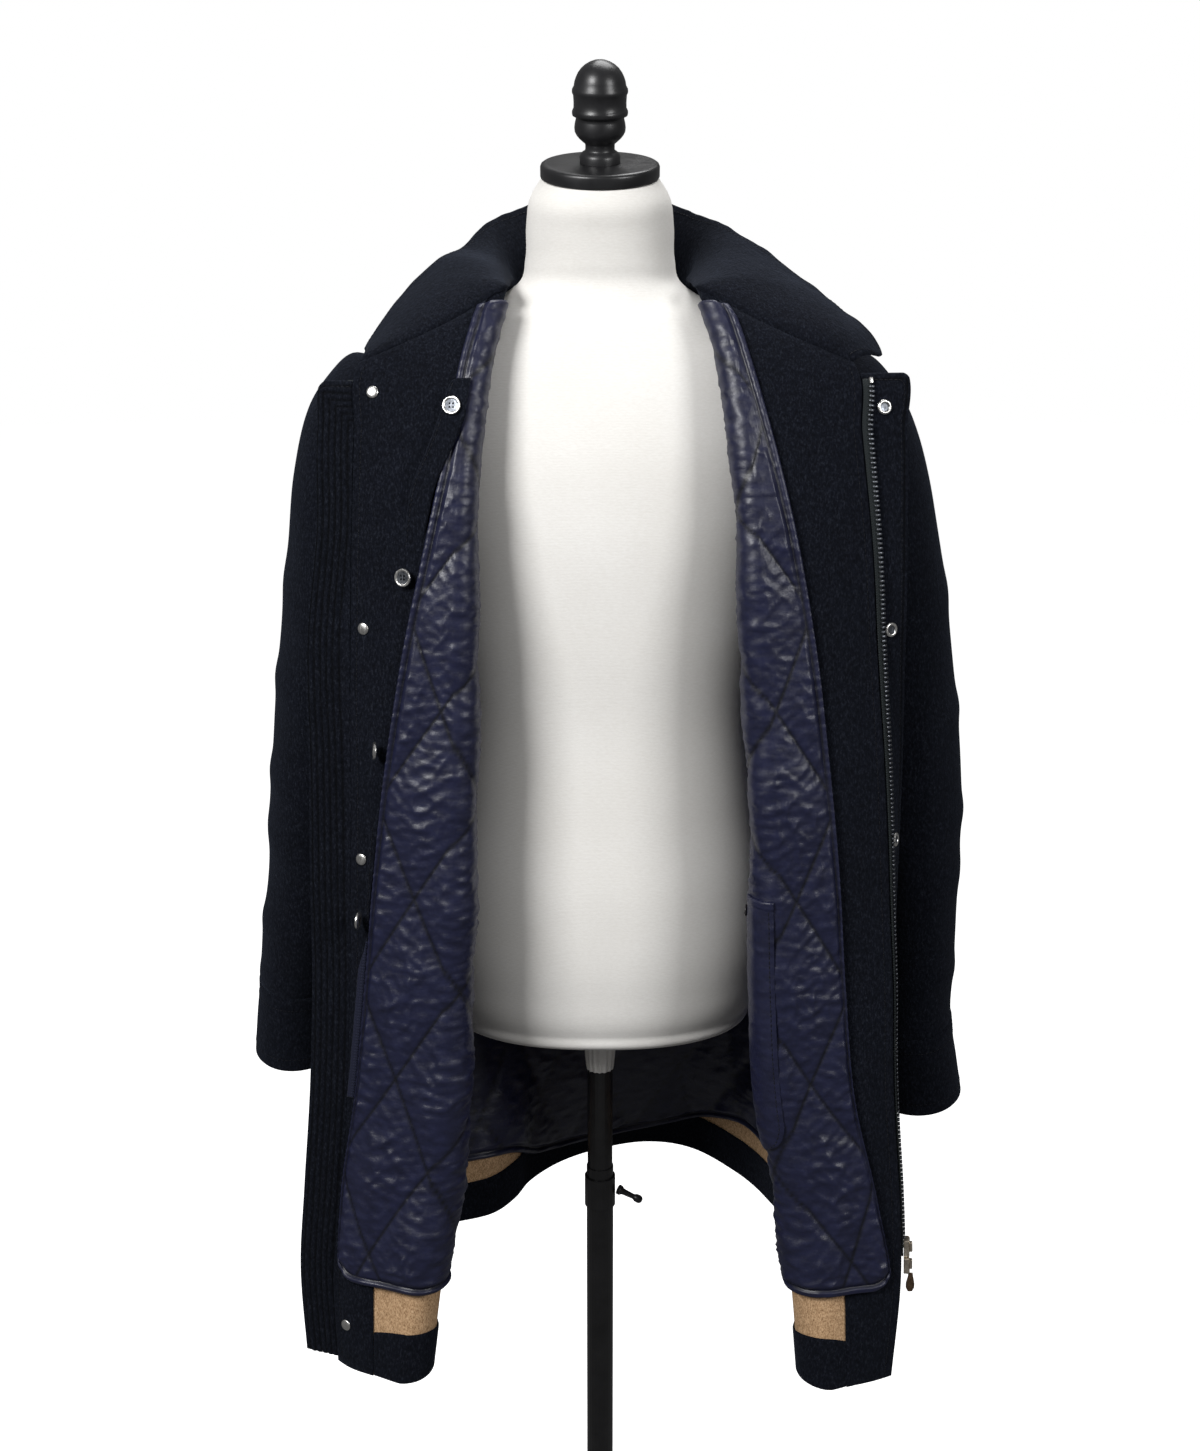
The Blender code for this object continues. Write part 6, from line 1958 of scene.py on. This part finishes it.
@dataclass
class MainZip:
    """The main zip: a tape on each flap, its teeth, two sliders back to back and the pull tab."""

    fronts: dict[Side, FrontPanel]
    finishes: Finishes
    columns: Pair = (2.04, 2.19)
    ends: Pair = (1.322, 0.545)
    depth: dict[Side, Pair] = field(
        default_factory=lambda: {Side.RIGHT: (-0.0004, 0.0006), Side.LEFT: (0.0036, 0.0046)}
    )
    tooth_pitch: float = 0.0040
    slider_z: float = 0.543
    slider_size: Triple = (0.0120, 0.0155, 0.0080)

    def build(self) -> None:
        """Builds both halves, the sliders and the tab."""
        for side in Side:
            self.build_tape(side)
        self.build_teeth()
        self.build_sliders()
        self.build_pull()

    def build_tape(self, side: Side) -> None:
        """One tape, ribbed along its length, thinner at its sewn edge."""
        z = spaced(((self.ends[0], 1), (self.ends[1], 0.006)))[:, None]
        w = spaced(((self.columns[0], 1), (self.columns[1], 0.0105)))[None, :]
        z, w = spread(z, w)
        low, high = self.depth[side]
        ridge = 0.00018 * np.cos(2 * np.pi * (w - self.columns[0]) / 0.042)
        out = ridge if side is Side.LEFT else 0 * ridge
        near = self.fronts[side].at(z, w, low - 0.0008 if side is Side.LEFT else low + ridge)
        piece = shell(
            f"zip_tape_woven_{side.word}", near, self.fronts[side].at(z, w, high + out), [self.finishes.tape]
        )
        dress(piece, None, "zip_tape", f"zip_tape_{side.word}")
        declare_cloth(piece, self.fronts[side].at(z, w, low))

    def build_teeth(self) -> None:
        """The teeth of both halves: a waisted block each, pointing away from its tape."""
        frames = []
        for side in Side:
            heights = np.linspace(self.ends[0] - 0.004, self.ends[1] + 0.003, 400)
            inside = side is Side.LEFT
            depth = self.depth[side][1] + 0.0010 if inside else self.depth[side][0] - 0.0010
            column = np.full(400, self.columns[1] - 0.01)
            points = self.fronts[side].at(heights, column, depth)
            ways = self.fronts[side].inward(heights, column) * (1 if inside else -1)
            for place, heading, off in resample(points, ways, self.tooth_pitch):
                frames.append(
                    frame_at(place, np.cross(off, heading) * (-side.value if inside else side.value), off)
                )
        tooth = Bench.block("one_tooth", (0.0046, 0.0021, 0.0020), 0.0003, 1)
        Bench.pick(tooth, lambda middle, normal: normal.x > 0.9)
        bpy.ops.transform.resize(value=(1.0, 0.45, 0.8), center_override=(0.0023, 0, 0))
        bpy.ops.object.mode_set(mode="OBJECT")
        Bench.settle(tooth, Matrix())
        made = scatter("zip_teeth", tooth, frames, self.finishes.tooth)
        dress(made, None, "silver")
        stop = Bench.block("top_stop", (0.0034, 0.0052, 0.0024), 0.0006, 2)
        point = self.fronts[Side.LEFT].at(
            self.ends[0] - 0.001, self.columns[1] - 0.01, self.depth[Side.LEFT][1] + 0.0011
        )
        way = self.fronts[Side.LEFT].inward(np.array(self.ends[0] - 0.001), np.array(self.columns[1]))
        Bench.settle(stop, standing_on(point, way))
        dress(stop, self.finishes.silver, "silver")

    def build_sliders(self) -> None:
        """Two sliders, their wide ends apart: a waisted body, a bridge and a hollow side."""
        flap = self.fronts[Side.LEFT]
        away = self.slider_size[1] / 2 + 0.0002
        for name, sign in (("upper", 1.0), ("lower", -1.0)):
            z = self.slider_z + sign * away
            depth = self.depth[Side.LEFT][1] + 0.0005 + self.slider_size[2] / 2
            point = flap.at(z, 2.2, depth)
            way = flap.inward(np.array(z), np.array(2.2))
            body = self.slider_body(sign)
            bridge = self.slider_bridge()
            whole = Bench.join([body, bridge], f"zip_slider_{name}")
            Bench.settle(whole, standing_on(point, way), 30)
            dress(whole, self.finishes.champagne, "champagne", f"slider_{name}")

    def slider_body(self, sign: float) -> Piece:
        """The slider's body, waisted where the two rows of teeth part."""
        wide, tall, deep = self.slider_size
        body = Bench.block("slider_body", (wide, tall, deep * 0.62), 0.0007, 2)
        Bench.pick(body, lambda middle, normal: True)
        for share in (0.0, 0.25, -0.25):
            bpy.ops.mesh.select_all(action="SELECT")
            bpy.ops.mesh.bisect(plane_co=(0, tall * share, 0), plane_no=(0, 1, 0))
        bpy.ops.object.mode_set(mode="OBJECT")
        for vertex in body.data.vertices:
            share = min(abs(vertex.co.y - sign * tall * 0.06) / (tall / 2), 1.0)
            vertex.co.x *= 0.66 + 0.34 * share**1.2
        Bench.sink(body, lambda middle, normal: normal.z > 0.9, 0.0009, 0.0005)
        body.location.z = -deep * 0.19
        Bench.settle(body, body.matrix_basis.copy())
        return body

    def slider_bridge(self) -> Piece:
        """The low bridge on the slider's face that the tab hangs from."""
        wide, tall, deep = self.slider_size
        bridge = Bench.block("slider_bridge", (wide * 0.34, tall * 0.62, deep * 0.40), 0.0009, 3)
        bridge.location.z = deep * 0.28
        Bench.settle(bridge, bridge.matrix_basis.copy())
        return bridge

    def build_pull(self) -> None:
        """The pull tab: a drop with a raised rim, hanging from the lower slider."""
        hinge = Vector((0.283337, -0.193319, 0.525977))
        tab = Bench.block("tab", (0.0078, 0.0016, 0.0190), 0.0005, 2)
        Bench.pick(tab, lambda middle, normal: True)
        for share in (-0.3, -0.1, 0.1, 0.3, 0.42):
            bpy.ops.mesh.select_all(action="SELECT")
            bpy.ops.mesh.bisect(plane_co=(0, 0, 0.019 * share), plane_no=(0, 0, 1))
        bpy.ops.object.mode_set(mode="OBJECT")
        for vertex in tab.data.vertices:
            share = vertex.co.z / 0.019 + 0.5
            vertex.co.x *= float(
                np.interp(
                    share, (0, 0.08, 0.2, 0.4, 0.6, 0.8, 1.0), (0.42, 0.78, 0.98, 1.0, 0.84, 0.62, 0.50)
                )
            )
        for sign in (1.0, -1.0):
            Bench.sink(
                tab, lambda middle, normal: normal.y * sign > 0.9 and -0.42 < middle.z / 0.019 < 0.30, 0.0008,
                0.00035
            )
        Bench.settle(tab, Matrix.Translation(hinge + Vector((0, 0, -0.0190 / 2 + 0.001))), 30)
        dress(tab, self.finishes.bronze, "bronze", "pull_tab", body="pull")


@dataclass
class Buttons:
    """The strip's four metal buttons, the snaps' caps on the facing and their sockets on the flap."""

    fronts: dict[Side, FrontPanel]
    finishes: Finishes
    button_radius: float = 0.0078
    socket_at: float = 2.47
    caps: tuple[Pair, ...] = ((1.312, 0.190), (1.116, 0.200), (0.912, 0.2078), (0.475, 0.2295))
    sockets: tuple[Pair, ...] = ((1.300, 0.0005), (1.113, 0.0006), (0.925, 0.0014), (0.735, 0.0007))
    strip: tuple[tuple[float, float, float, float], ...] = (
        (1.300, -0.0013, 0, 0.0118),
        (1.162, 0.0110, 10, 0.0070),
        (1.013, 0.0065, 60, 0.0070),
        (0.860, 0.0055, 75, 0.0070),
    )

    def build(self) -> None:
        """Builds each kind once and copies it to its places."""
        right, left = self.fronts[Side.RIGHT], self.fronts[Side.LEFT]
        self.repeat(self.cap(), "snap_back", "snap_cap", [self.cap_place(right, z, x) for z, x in self.caps])
        places = [self.button_place(right, *row) for row in self.strip]
        self.repeat(self.button(), "metal_button", "strip_button", places, 0.0055)
        places = []
        for z, gap in self.sockets:
            point = left.at(z, self.socket_at, 0.0026 + gap)
            places.append(standing_on(point, left.inward(np.array(z), np.array(self.socket_at))))
        self.repeat(self.socket(), "snap_ring", "snap_socket", places, 0.0037)

    def repeat(
        self, pattern: Piece, name: str, node: str, places: Sequence[Matrix], dark: float = 0.0
    ) -> None:
        """Lays a copy of a pattern at each place, with darker metal on its upper faces within a radius, and
        removes the pattern.
        """
        inner = [face.center.xy.length < dark and face.center.z > 0.0001 for face in pattern.data.polygons]
        for number, place in enumerate(places, 1):
            made = Bench.copy(pattern, f"{name}_{number}")
            made.data.transform(place)
            dress(made, self.finishes.silver, "silver", f"{node}_{number}")
            made.data.materials.append(self.finishes.tooth)
            made.data.polygons.foreach_set("material_index", np.array(inner, np.int32))
        bpy.data.objects.remove(pattern, do_unlink=True)

    @staticmethod
    def cap_place(panel: FrontPanel, z: float, x: float) -> Matrix:
        """A cap's place on the right facing."""
        w = float(panel.column(np.array(z), np.array(x)))
        return standing_on(panel.at(z, w, 0.0041 + 0.0003), panel.inward(np.array(z), np.array(w)))

    def button_place(self, panel: FrontPanel, z: float, beside: float, tilt: float, on: float) -> Matrix:
        """A button's place beside the liner's edge, turned towards it by the tilt."""
        x = float(panel.marks(np.array(z))["pipe_x"]) + beside
        w = float(panel.column(np.array(z), np.array(x)))
        lift = self.button_radius * math.sin(math.radians(tilt))
        way = Vector(panel.inward(np.array(z), np.array(w)))
        turned = Matrix.Rotation(math.radians(-tilt), 3, "Z") @ way
        return standing_on(panel.at(z, w, on + 0.0006 + lift), turned)

    def cap(self) -> Piece:
        """A snap's smooth domed back."""
        profile = (
            (0.0048, 0.0), (0.0052, 0.0003), (0.0052, 0.0006), (0.0049, 0.0009), (0.0043, 0.00125),
            (0.0034, 0.0015), (0.0022, 0.00168), (0.0008, 0.00176)
        )
        piece = Bench.turn("cap", profile, 40)
        return Bench.settle(piece, Matrix(), 60)

    def socket(self) -> Piece:
        """A snap's ring with its dark hollow."""
        profile = (
            (0.0058, 0.0),
            (0.0064, 0.0003),
            (0.0064, 0.0010),
            (0.0059, 0.0016),
            (0.0051, 0.0020),
            (0.0042, 0.0019),
            (0.0036, 0.0014),
            (0.0033, 0.0005),
            (0.0018, 0.0004),
        )
        piece = Bench.turn("socket", profile, 40)
        return Bench.settle(piece, Matrix(), 50)

    def button(self) -> Piece:
        """A metal button with a rolled rim, a dished face and four holes."""
        profile = (
            (0.0068, 0.0),
            (0.0076, 0.0004),
            (0.0078, 0.0012),
            (0.0077, 0.0020),
            (0.0072, 0.0025),
            (0.0065, 0.0026),
            (0.0059, 0.0023),
            (0.0054, 0.0018),
            (0.0020, 0.0016),
        )
        piece = Bench.turn("button", profile, 44)
        Bench.settle(piece, Matrix(), 45)
        for x in (-0.0015, 0.0015):
            for y in (-0.0015, 0.0015):
                hole = Bench.turn("hole", ((0.00085, -0.001), (0.00085, 0.004)), 14)
                Bench.settle(hole, Matrix.Translation((x, y, 0)))
                Bench.cut(piece, hole)
        return Bench.settle(piece, Matrix(), 35)


# ---------------------------------------------------------------- the form and its stand


@dataclass
class DressForm:
    """The limbless torso with its gathered socket, neck cap and finial."""

    finishes: Finishes
    points: int = 120
    square: float = 2.3
    bottom: float = 0.690
    neck_top: Triple = (0.0, -0.030, 1.4885)
    neck_lean: float = 14.0
    cap_radius: float = 0.0515
    cap_thick: float = 0.0125
    touch: float = 0.0002

    def build(self) -> None:
        """Builds the four pieces."""
        self.build_torso()
        self.build_socket()
        leaning = Matrix.Translation(self.neck_top) @ Matrix.Rotation(math.radians(self.neck_lean), 4, "X")
        radius, thick = self.cap_radius, self.cap_thick
        profile = (
            (radius - 0.0020, self.touch),
            (radius - 0.0006, 0.0006),
            (radius, 0.0018),
            (radius, thick - 0.0030),
            (radius - 0.0007, thick - 0.0012),
            (radius - 0.0022, thick - 0.0002),
            (radius - 0.0045, thick),
            (0.0200, thick),
        )
        cap = Bench.turn("turned_neck_cap", profile, 96)
        Bench.settle(cap, leaning)
        dress(cap, self.finishes.enamel, "black_enamel", "neck_cap")
        above = leaning @ Matrix.Translation((0, 0, thick + self.touch))
        rings = (
            (0.0175, 0.0), (0.0175, 0.0055), (0.0165, 0.0075), (0.0150, 0.0090), (0.0132, 0.0100),
            (0.0126, 0.0112), (0.0126, 0.0152), (0.0132, 0.0163), (0.0155, 0.0182), (0.0180, 0.0205),
            (0.0201, 0.0230), (0.0216, 0.0260), (0.0219, 0.0290), (0.0216, 0.0320), (0.0210, 0.0348),
            (0.0205, 0.0368), (0.0212, 0.0382), (0.0234, 0.0392), (0.0238, 0.0405), (0.0238, 0.0425),
            (0.0233, 0.0438), (0.0225, 0.0450), (0.0224, 0.0500), (0.0228, 0.0560), (0.0236, 0.0572),
            (0.0238, 0.0586), (0.0236, 0.0606), (0.0222, 0.0630), (0.0216, 0.0665), (0.0204, 0.0700),
            (0.0186, 0.0736), (0.0160, 0.0770), (0.0128, 0.0798), (0.0090, 0.0820), (0.0048, 0.0835),
            (0.0010, 0.0840),
        )
        finial = Bench.turn("turned_finial", rings, 64)
        Bench.settle(finial, above, 60)
        dress(finial, self.finishes.enamel, "black_enamel", "finial")

    def build_torso(self) -> None:
        """The torso, lofted through its rings, with a flat closed neck and bottom."""
        z = spaced(
            ((0.690, 1), (0.714, 0.002), (0.76, 0.006), (1.29, 0.012), (1.42, 0.0035), (1.4885, 0.006))
        )
        row = FORM_RINGS.read(z)
        angle = np.linspace(0, 2 * math.pi, self.points, endpoint=False)[None, :]
        across = np.sign(np.cos(angle)) * np.abs(np.cos(angle)) ** (2 / self.square)
        deep = np.sign(np.sin(angle)) * np.abs(np.sin(angle)) ** (2 / self.square)
        y = row["half_deep"][:, None] * deep
        grid = np.stack(
            (
                row["half_wide"][:, None] * across, row["y"][:, None] + y,
                z[:, None] + row["lean"][:, None] * y
            ),
            -1
        )
        count, wide = grid.shape[0], self.points
        spot = np.arange(count * wide).reshape(count, wide)
        right = np.roll(spot, -1, axis=1)
        quads = np.stack((spot[:-1], right[:-1], right[1:], spot[1:]), -1).reshape(-1, 4)
        points = [grid.reshape(-1, 3)]
        faces = [quads]
        start = count * wide
        for ring, turn in ((0, -1), (count - 1, 1)):
            middle = grid[ring].mean(axis=0)
            points.append(middle + (grid[ring] - middle) * 0.06)
            new, old = start + np.arange(wide), spot[ring]
            faces.append(np.stack((old, np.roll(old, -1), np.roll(new, -1), new), -1)[:, ::turn])
            start += wide
        mesh = bpy.data.meshes.new("form_jersey_torso")
        lids = [list(range(start - 2 * wide, start - wide))[::-1], list(range(start - wide, start))]
        mesh.from_pydata(np.concatenate(points).tolist(), [], np.concatenate(faces).tolist() + lids)
        mesh.polygons.foreach_set("use_smooth", np.ones(len(mesh.polygons), bool))
        torso = bpy.data.objects.new("form_jersey_torso", mesh)
        bpy.context.scene.collection.objects.link(torso)
        Bench.settle(torso, Matrix(), 50)
        dress(torso, self.finishes.jersey, "form_cloth", "form_torso")

    def build_socket(self) -> None:
        """The cover's gathered end round the pole."""
        angle = np.linspace(0, 2 * math.pi, 96, endpoint=False)[None, :]
        profile = Table("r", (
            (-0.052, 0.0138), (-0.046, 0.0144), (-0.040, 0.0150),
            (-0.020, 0.0165), (-0.006, 0.0185), (-0.0002, 0.0190),
        ))
        height = np.linspace(-0.0002, -0.052, 30)[:, None]
        radius = profile.read(height)["r"]
        gathers = 0.0007 * np.sin(angle * 15 + 0.6 * np.sin(3 * angle)) * ease((height + 0.056) / 0.006)
        radius = radius - 0.0007 + gathers
        outer = np.stack(
            np.broadcast_arrays(radius * np.cos(angle), radius * np.sin(angle), self.bottom + height), -1
        )
        bore = 0.0124
        inner = np.stack(
            np.broadcast_arrays(bore * np.cos(angle), bore * np.sin(angle), self.bottom + height), -1
        )
        piece = shell("gathered_socket", outer, inner, [self.finishes.jersey], loop=True)
        dress(piece, None, "form_cloth", "form_socket")


@dataclass
class Stand:
    """The stand: a weighted base, a tube with a clamp and its lever, and the sliding pole."""

    finishes: Finishes
    base_radius: float = 0.180

    def build(self, nodes: dict[str, Piece]) -> None:
        """Builds the base and the lever, and gives the tubes that fit already their enamel.

        Args:
            nodes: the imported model's nodes by name.
        """
        radius = self.base_radius
        profile = (
            (radius - 0.0024, 0.0),
            (radius - 0.0007, 0.0006),
            (radius, 0.0022),
            (radius, 0.0056),
            (radius - 0.0010, 0.0074),
            (radius - 0.0034, 0.0088),
            (radius - 0.0075, 0.0096),
            (radius - 0.0130, 0.0100),
            (0.0262, 0.0100),
            (0.0242, 0.0106),
            (0.0226, 0.0124),
            (0.0212, 0.0148),
            (0.0196, 0.0158),
            (0.0170, 0.0160),
        )
        base = Bench.turn("turned_base", profile, 128)
        Bench.settle(base, Matrix(), 50)
        dress(base, self.finishes.enamel, "black_enamel", "stand_base", body="stand")
        lever = Bench.turn(
            "clamp_handle",
            (
                (0.0046, 0.0006), (0.0050, 0.0010), (0.0050, 0.0036), (0.0046, 0.0044), (0.0034, 0.0058),
                (0.0031, 0.0075), (0.0026, 0.0178), (0.0028, 0.0190), (0.0034, 0.0200), (0.0040, 0.0215),
                (0.0042, 0.0235), (0.0040, 0.0255), (0.0034, 0.0270), (0.0022, 0.0280), (0.0008, 0.0285),
            ),
            32,
        )
        Bench.settle(lever, standing_on((0.0178, 0, 0.503), (0.88, 0, -0.47)), 50)
        dress(lever, self.finishes.enamel, "black_enamel", "clamp_lever", body="lever")
        for name in ("stand_tube", "clamp_collar", "upper_pole"):
            nodes[name].data.materials.clear()
            nodes[name].data.materials.append(self.finishes.enamel)
            LOG.info("%s: kept, with the satin enamel", name)


# ---------------------------------------------------------------- the studio


@dataclass
class Studio:
    """The camera, the plain pale floor and the soft light."""

    camera_at: Triple = (0.0, -1.65, 1.434)
    pitch: float = 75.0
    lens: float = 1800 * 36 / 1451
    surround: float = 0.13

    def place_camera(self) -> None:
        """The camera, at the photograph's viewing angle."""
        data = bpy.data.cameras.new("camera")
        data.lens = self.lens
        data.sensor_width = 36
        data.clip_end = 60
        camera = bpy.data.objects.new("camera", data)
        camera.location = self.camera_at
        camera.rotation_euler = (math.radians(self.pitch), 0, 0)
        bpy.context.scene.collection.objects.link(camera)
        bpy.context.scene.camera = camera

    def lay_floor(self) -> None:
        """A wide round sheet of pale paper."""
        Bench.clear()
        bpy.ops.mesh.primitive_circle_add(
            vertices=96, radius=14.0, fill_type="NGON", location=(0, 0, -0.0005)
        )
        floor = bpy.context.view_layer.objects.active
        floor.name = "studio_floor"
        bpy.ops.object.transform_apply(location=True, rotation=True, scale=True)
        floor.data.materials.append(StudioPaper().material())
        floor.visible_diffuse = False
        floor.visible_glossy = False
        Bench.clear()

    def light(self) -> None:
        """A white surround and large soft lamps."""
        scene = bpy.context.scene
        scene.view_settings.view_transform = "Standard"
        world = bpy.data.worlds.new("white_surround")
        world.use_nodes = True
        tree = world.node_tree
        seen, cast = tree.nodes["Background"], tree.nodes.new("ShaderNodeBackground")
        for shine, strength in ((seen, 1.0), (cast, self.surround)):
            shine.inputs["Color"].default_value = (1.0, 1.0, 1.0, 1.0)
            shine.inputs["Strength"].default_value = strength
        mix = tree.nodes.new("ShaderNodeMixShader")
        tree.links.new(tree.nodes.new("ShaderNodeLightPath").outputs["Is Camera Ray"], mix.inputs[0])
        tree.links.new(cast.outputs[0], mix.inputs[1])
        tree.links.new(seen.outputs[0], mix.inputs[2])
        tree.links.new(mix.outputs[0], tree.nodes["World Output"].inputs[0])
        scene.world = world
        self.lamp("key", (-1.35, -1.75, 2.45), (0.0, 0.0, 1.05), 0.9, 60)
        self.lamp("fill", (1.6, -1.7, 2.1), (0.0, 0.0, 0.95), 0.8, 24)
        self.lamp("top", (0.2, 0.5, 2.9), (0.0, 0.0, 1.2), 1.0, 20)

    @staticmethod
    def lamp(name: str, place: Sequence[float], aim: Sequence[float], size: float, watts: float) -> None:
        """One square lamp that points at a place."""
        data = bpy.data.lights.new(name, "AREA")
        data.size = size
        data.energy = watts
        lamp = bpy.data.objects.new(name, data)
        lamp.location = place
        lamp.rotation_euler = (Vector(aim) - Vector(place)).to_track_quat("-Z", "Y").to_euler()
        bpy.context.scene.collection.objects.link(lamp)


RIGHT_CREASES = (
    Crease(-0.205, 0.60, -0.225, 0.44, 0.016, 0.0030),
    Crease(-0.165, 0.56, -0.175, 0.43, 0.018, 0.0030),
    Crease(-0.190, 1.26, -0.200, 1.02, 0.012, 0.0014),
)
LEFT_CREASES = (
    Crease(0.208, 0.56, 0.206, 0.43, 0.014, 0.0035),
    Crease(0.236, 0.72, 0.244, 0.50, 0.014, 0.0020),
    Crease(0.200, 1.25, 0.215, 1.02, 0.012, 0.0014),
)
BACK_CREASES = (
    Crease(-0.165, 1.05, -0.120, 1.24, 0.022, 0.0035, True),
    Crease(0.160, 1.03, 0.125, 1.22, 0.022, 0.0035, True),
    Crease(-0.060, 0.90, -0.020, 0.70, 0.030, 0.0030, True),
)
SLEEVE_CREASES = {
    Side.RIGHT: (
        Crease(-0.240, 1.06, -0.300, 1.15, 0.014, 0.0018),
        Crease(-0.238, 1.00, -0.310, 1.05, 0.013, 0.0020),
        Crease(-0.245, 0.92, -0.318, 0.955, 0.013, 0.0020),
        Crease(-0.325, 0.90, -0.255, 0.845, 0.014, 0.0018),
        Crease(-0.250, 0.79, -0.330, 0.80, 0.012, 0.0016),
        Crease(-0.335, 0.74, -0.265, 0.735, 0.011, 0.0013),
        Crease(-0.250, 0.98, -0.310, 1.02, 0.014, 0.0018, True),
        Crease(-0.255, 0.86, -0.325, 0.90, 0.014, 0.0018, True),
    ),
    Side.LEFT: (
        Crease(0.245, 1.05, 0.320, 1.13, 0.014, 0.0018),
        Crease(0.250, 0.98, 0.335, 1.02, 0.013, 0.0020),
        Crease(0.262, 0.89, 0.342, 0.92, 0.013, 0.0020),
        Crease(0.342, 0.86, 0.270, 0.80, 0.014, 0.0018),
        Crease(0.266, 0.75, 0.340, 0.76, 0.012, 0.0016),
        Crease(0.340, 0.70, 0.275, 0.695, 0.011, 0.0013),
        Crease(0.255, 0.95, 0.330, 1.00, 0.014, 0.0018, True),
        Crease(0.262, 0.83, 0.340, 0.87, 0.014, 0.0018, True),
    ),
}


def main() -> None:
    """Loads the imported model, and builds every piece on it."""
    logging.basicConfig(level=logging.INFO, format="%(name)s: %(message)s")
    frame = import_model()
    studio = Studio()
    studio.place_camera()
    finishes = Finishes()
    stitching = Stitching(finishes.thread)
    fronts = {
        Side.RIGHT: FrontPanel(Side.RIGHT, RIGHT_CREASES),
        Side.LEFT: FrontPanel(Side.LEFT, LEFT_CREASES),
    }
    back = BackPanel(BACK_CREASES)
    DressForm(finishes).build()
    Stand(finishes).build(frame["nodes"])
    Back(back, finishes).build()
    quilting = Stitching(finishes.thread)
    liner = QuiltedLiner(finishes, quilting)
    liner.behind(back)
    for side, panel in fronts.items():
        Front(side, panel, finishes, stitching).build()
        Sleeve(SleevePanel(side, SLEEVE_CREASES[side]), finishes, stitching).build()
        liner.front(panel)
    Collar(back, fronts, finishes, stitching).build()
    wind = tuple(0.0050 + 0.0056 * row for row in range(6))
    names = ("ribbed_wind_flap", "wind_flap_right")
    Flap(
        fronts[Side.RIGHT], finishes, stitching, *names, 1.321, (0.0012, 0.0041), 0.008, wind, 0.0015
    ).build()
    names = ("plain_storm_flap", "storm_flap_left")
    Flap(fronts[Side.LEFT], finishes, stitching, *names, 1.328, (0.0, 0.0026), 0.005, (0.0060,)).build()
    Pocket(fronts[Side.LEFT], finishes, stitching).build()
    ButtonStrip(fronts[Side.RIGHT], finishes, stitching).build()
    MainZip(fronts, finishes).build()
    Buttons(fronts, finishes).build()
    stitching.sew("topstitching")
    quilting.sew("quilt_stitching")
    studio.lay_floor()
    studio.light()


if __name__ == "__main__":
    main()
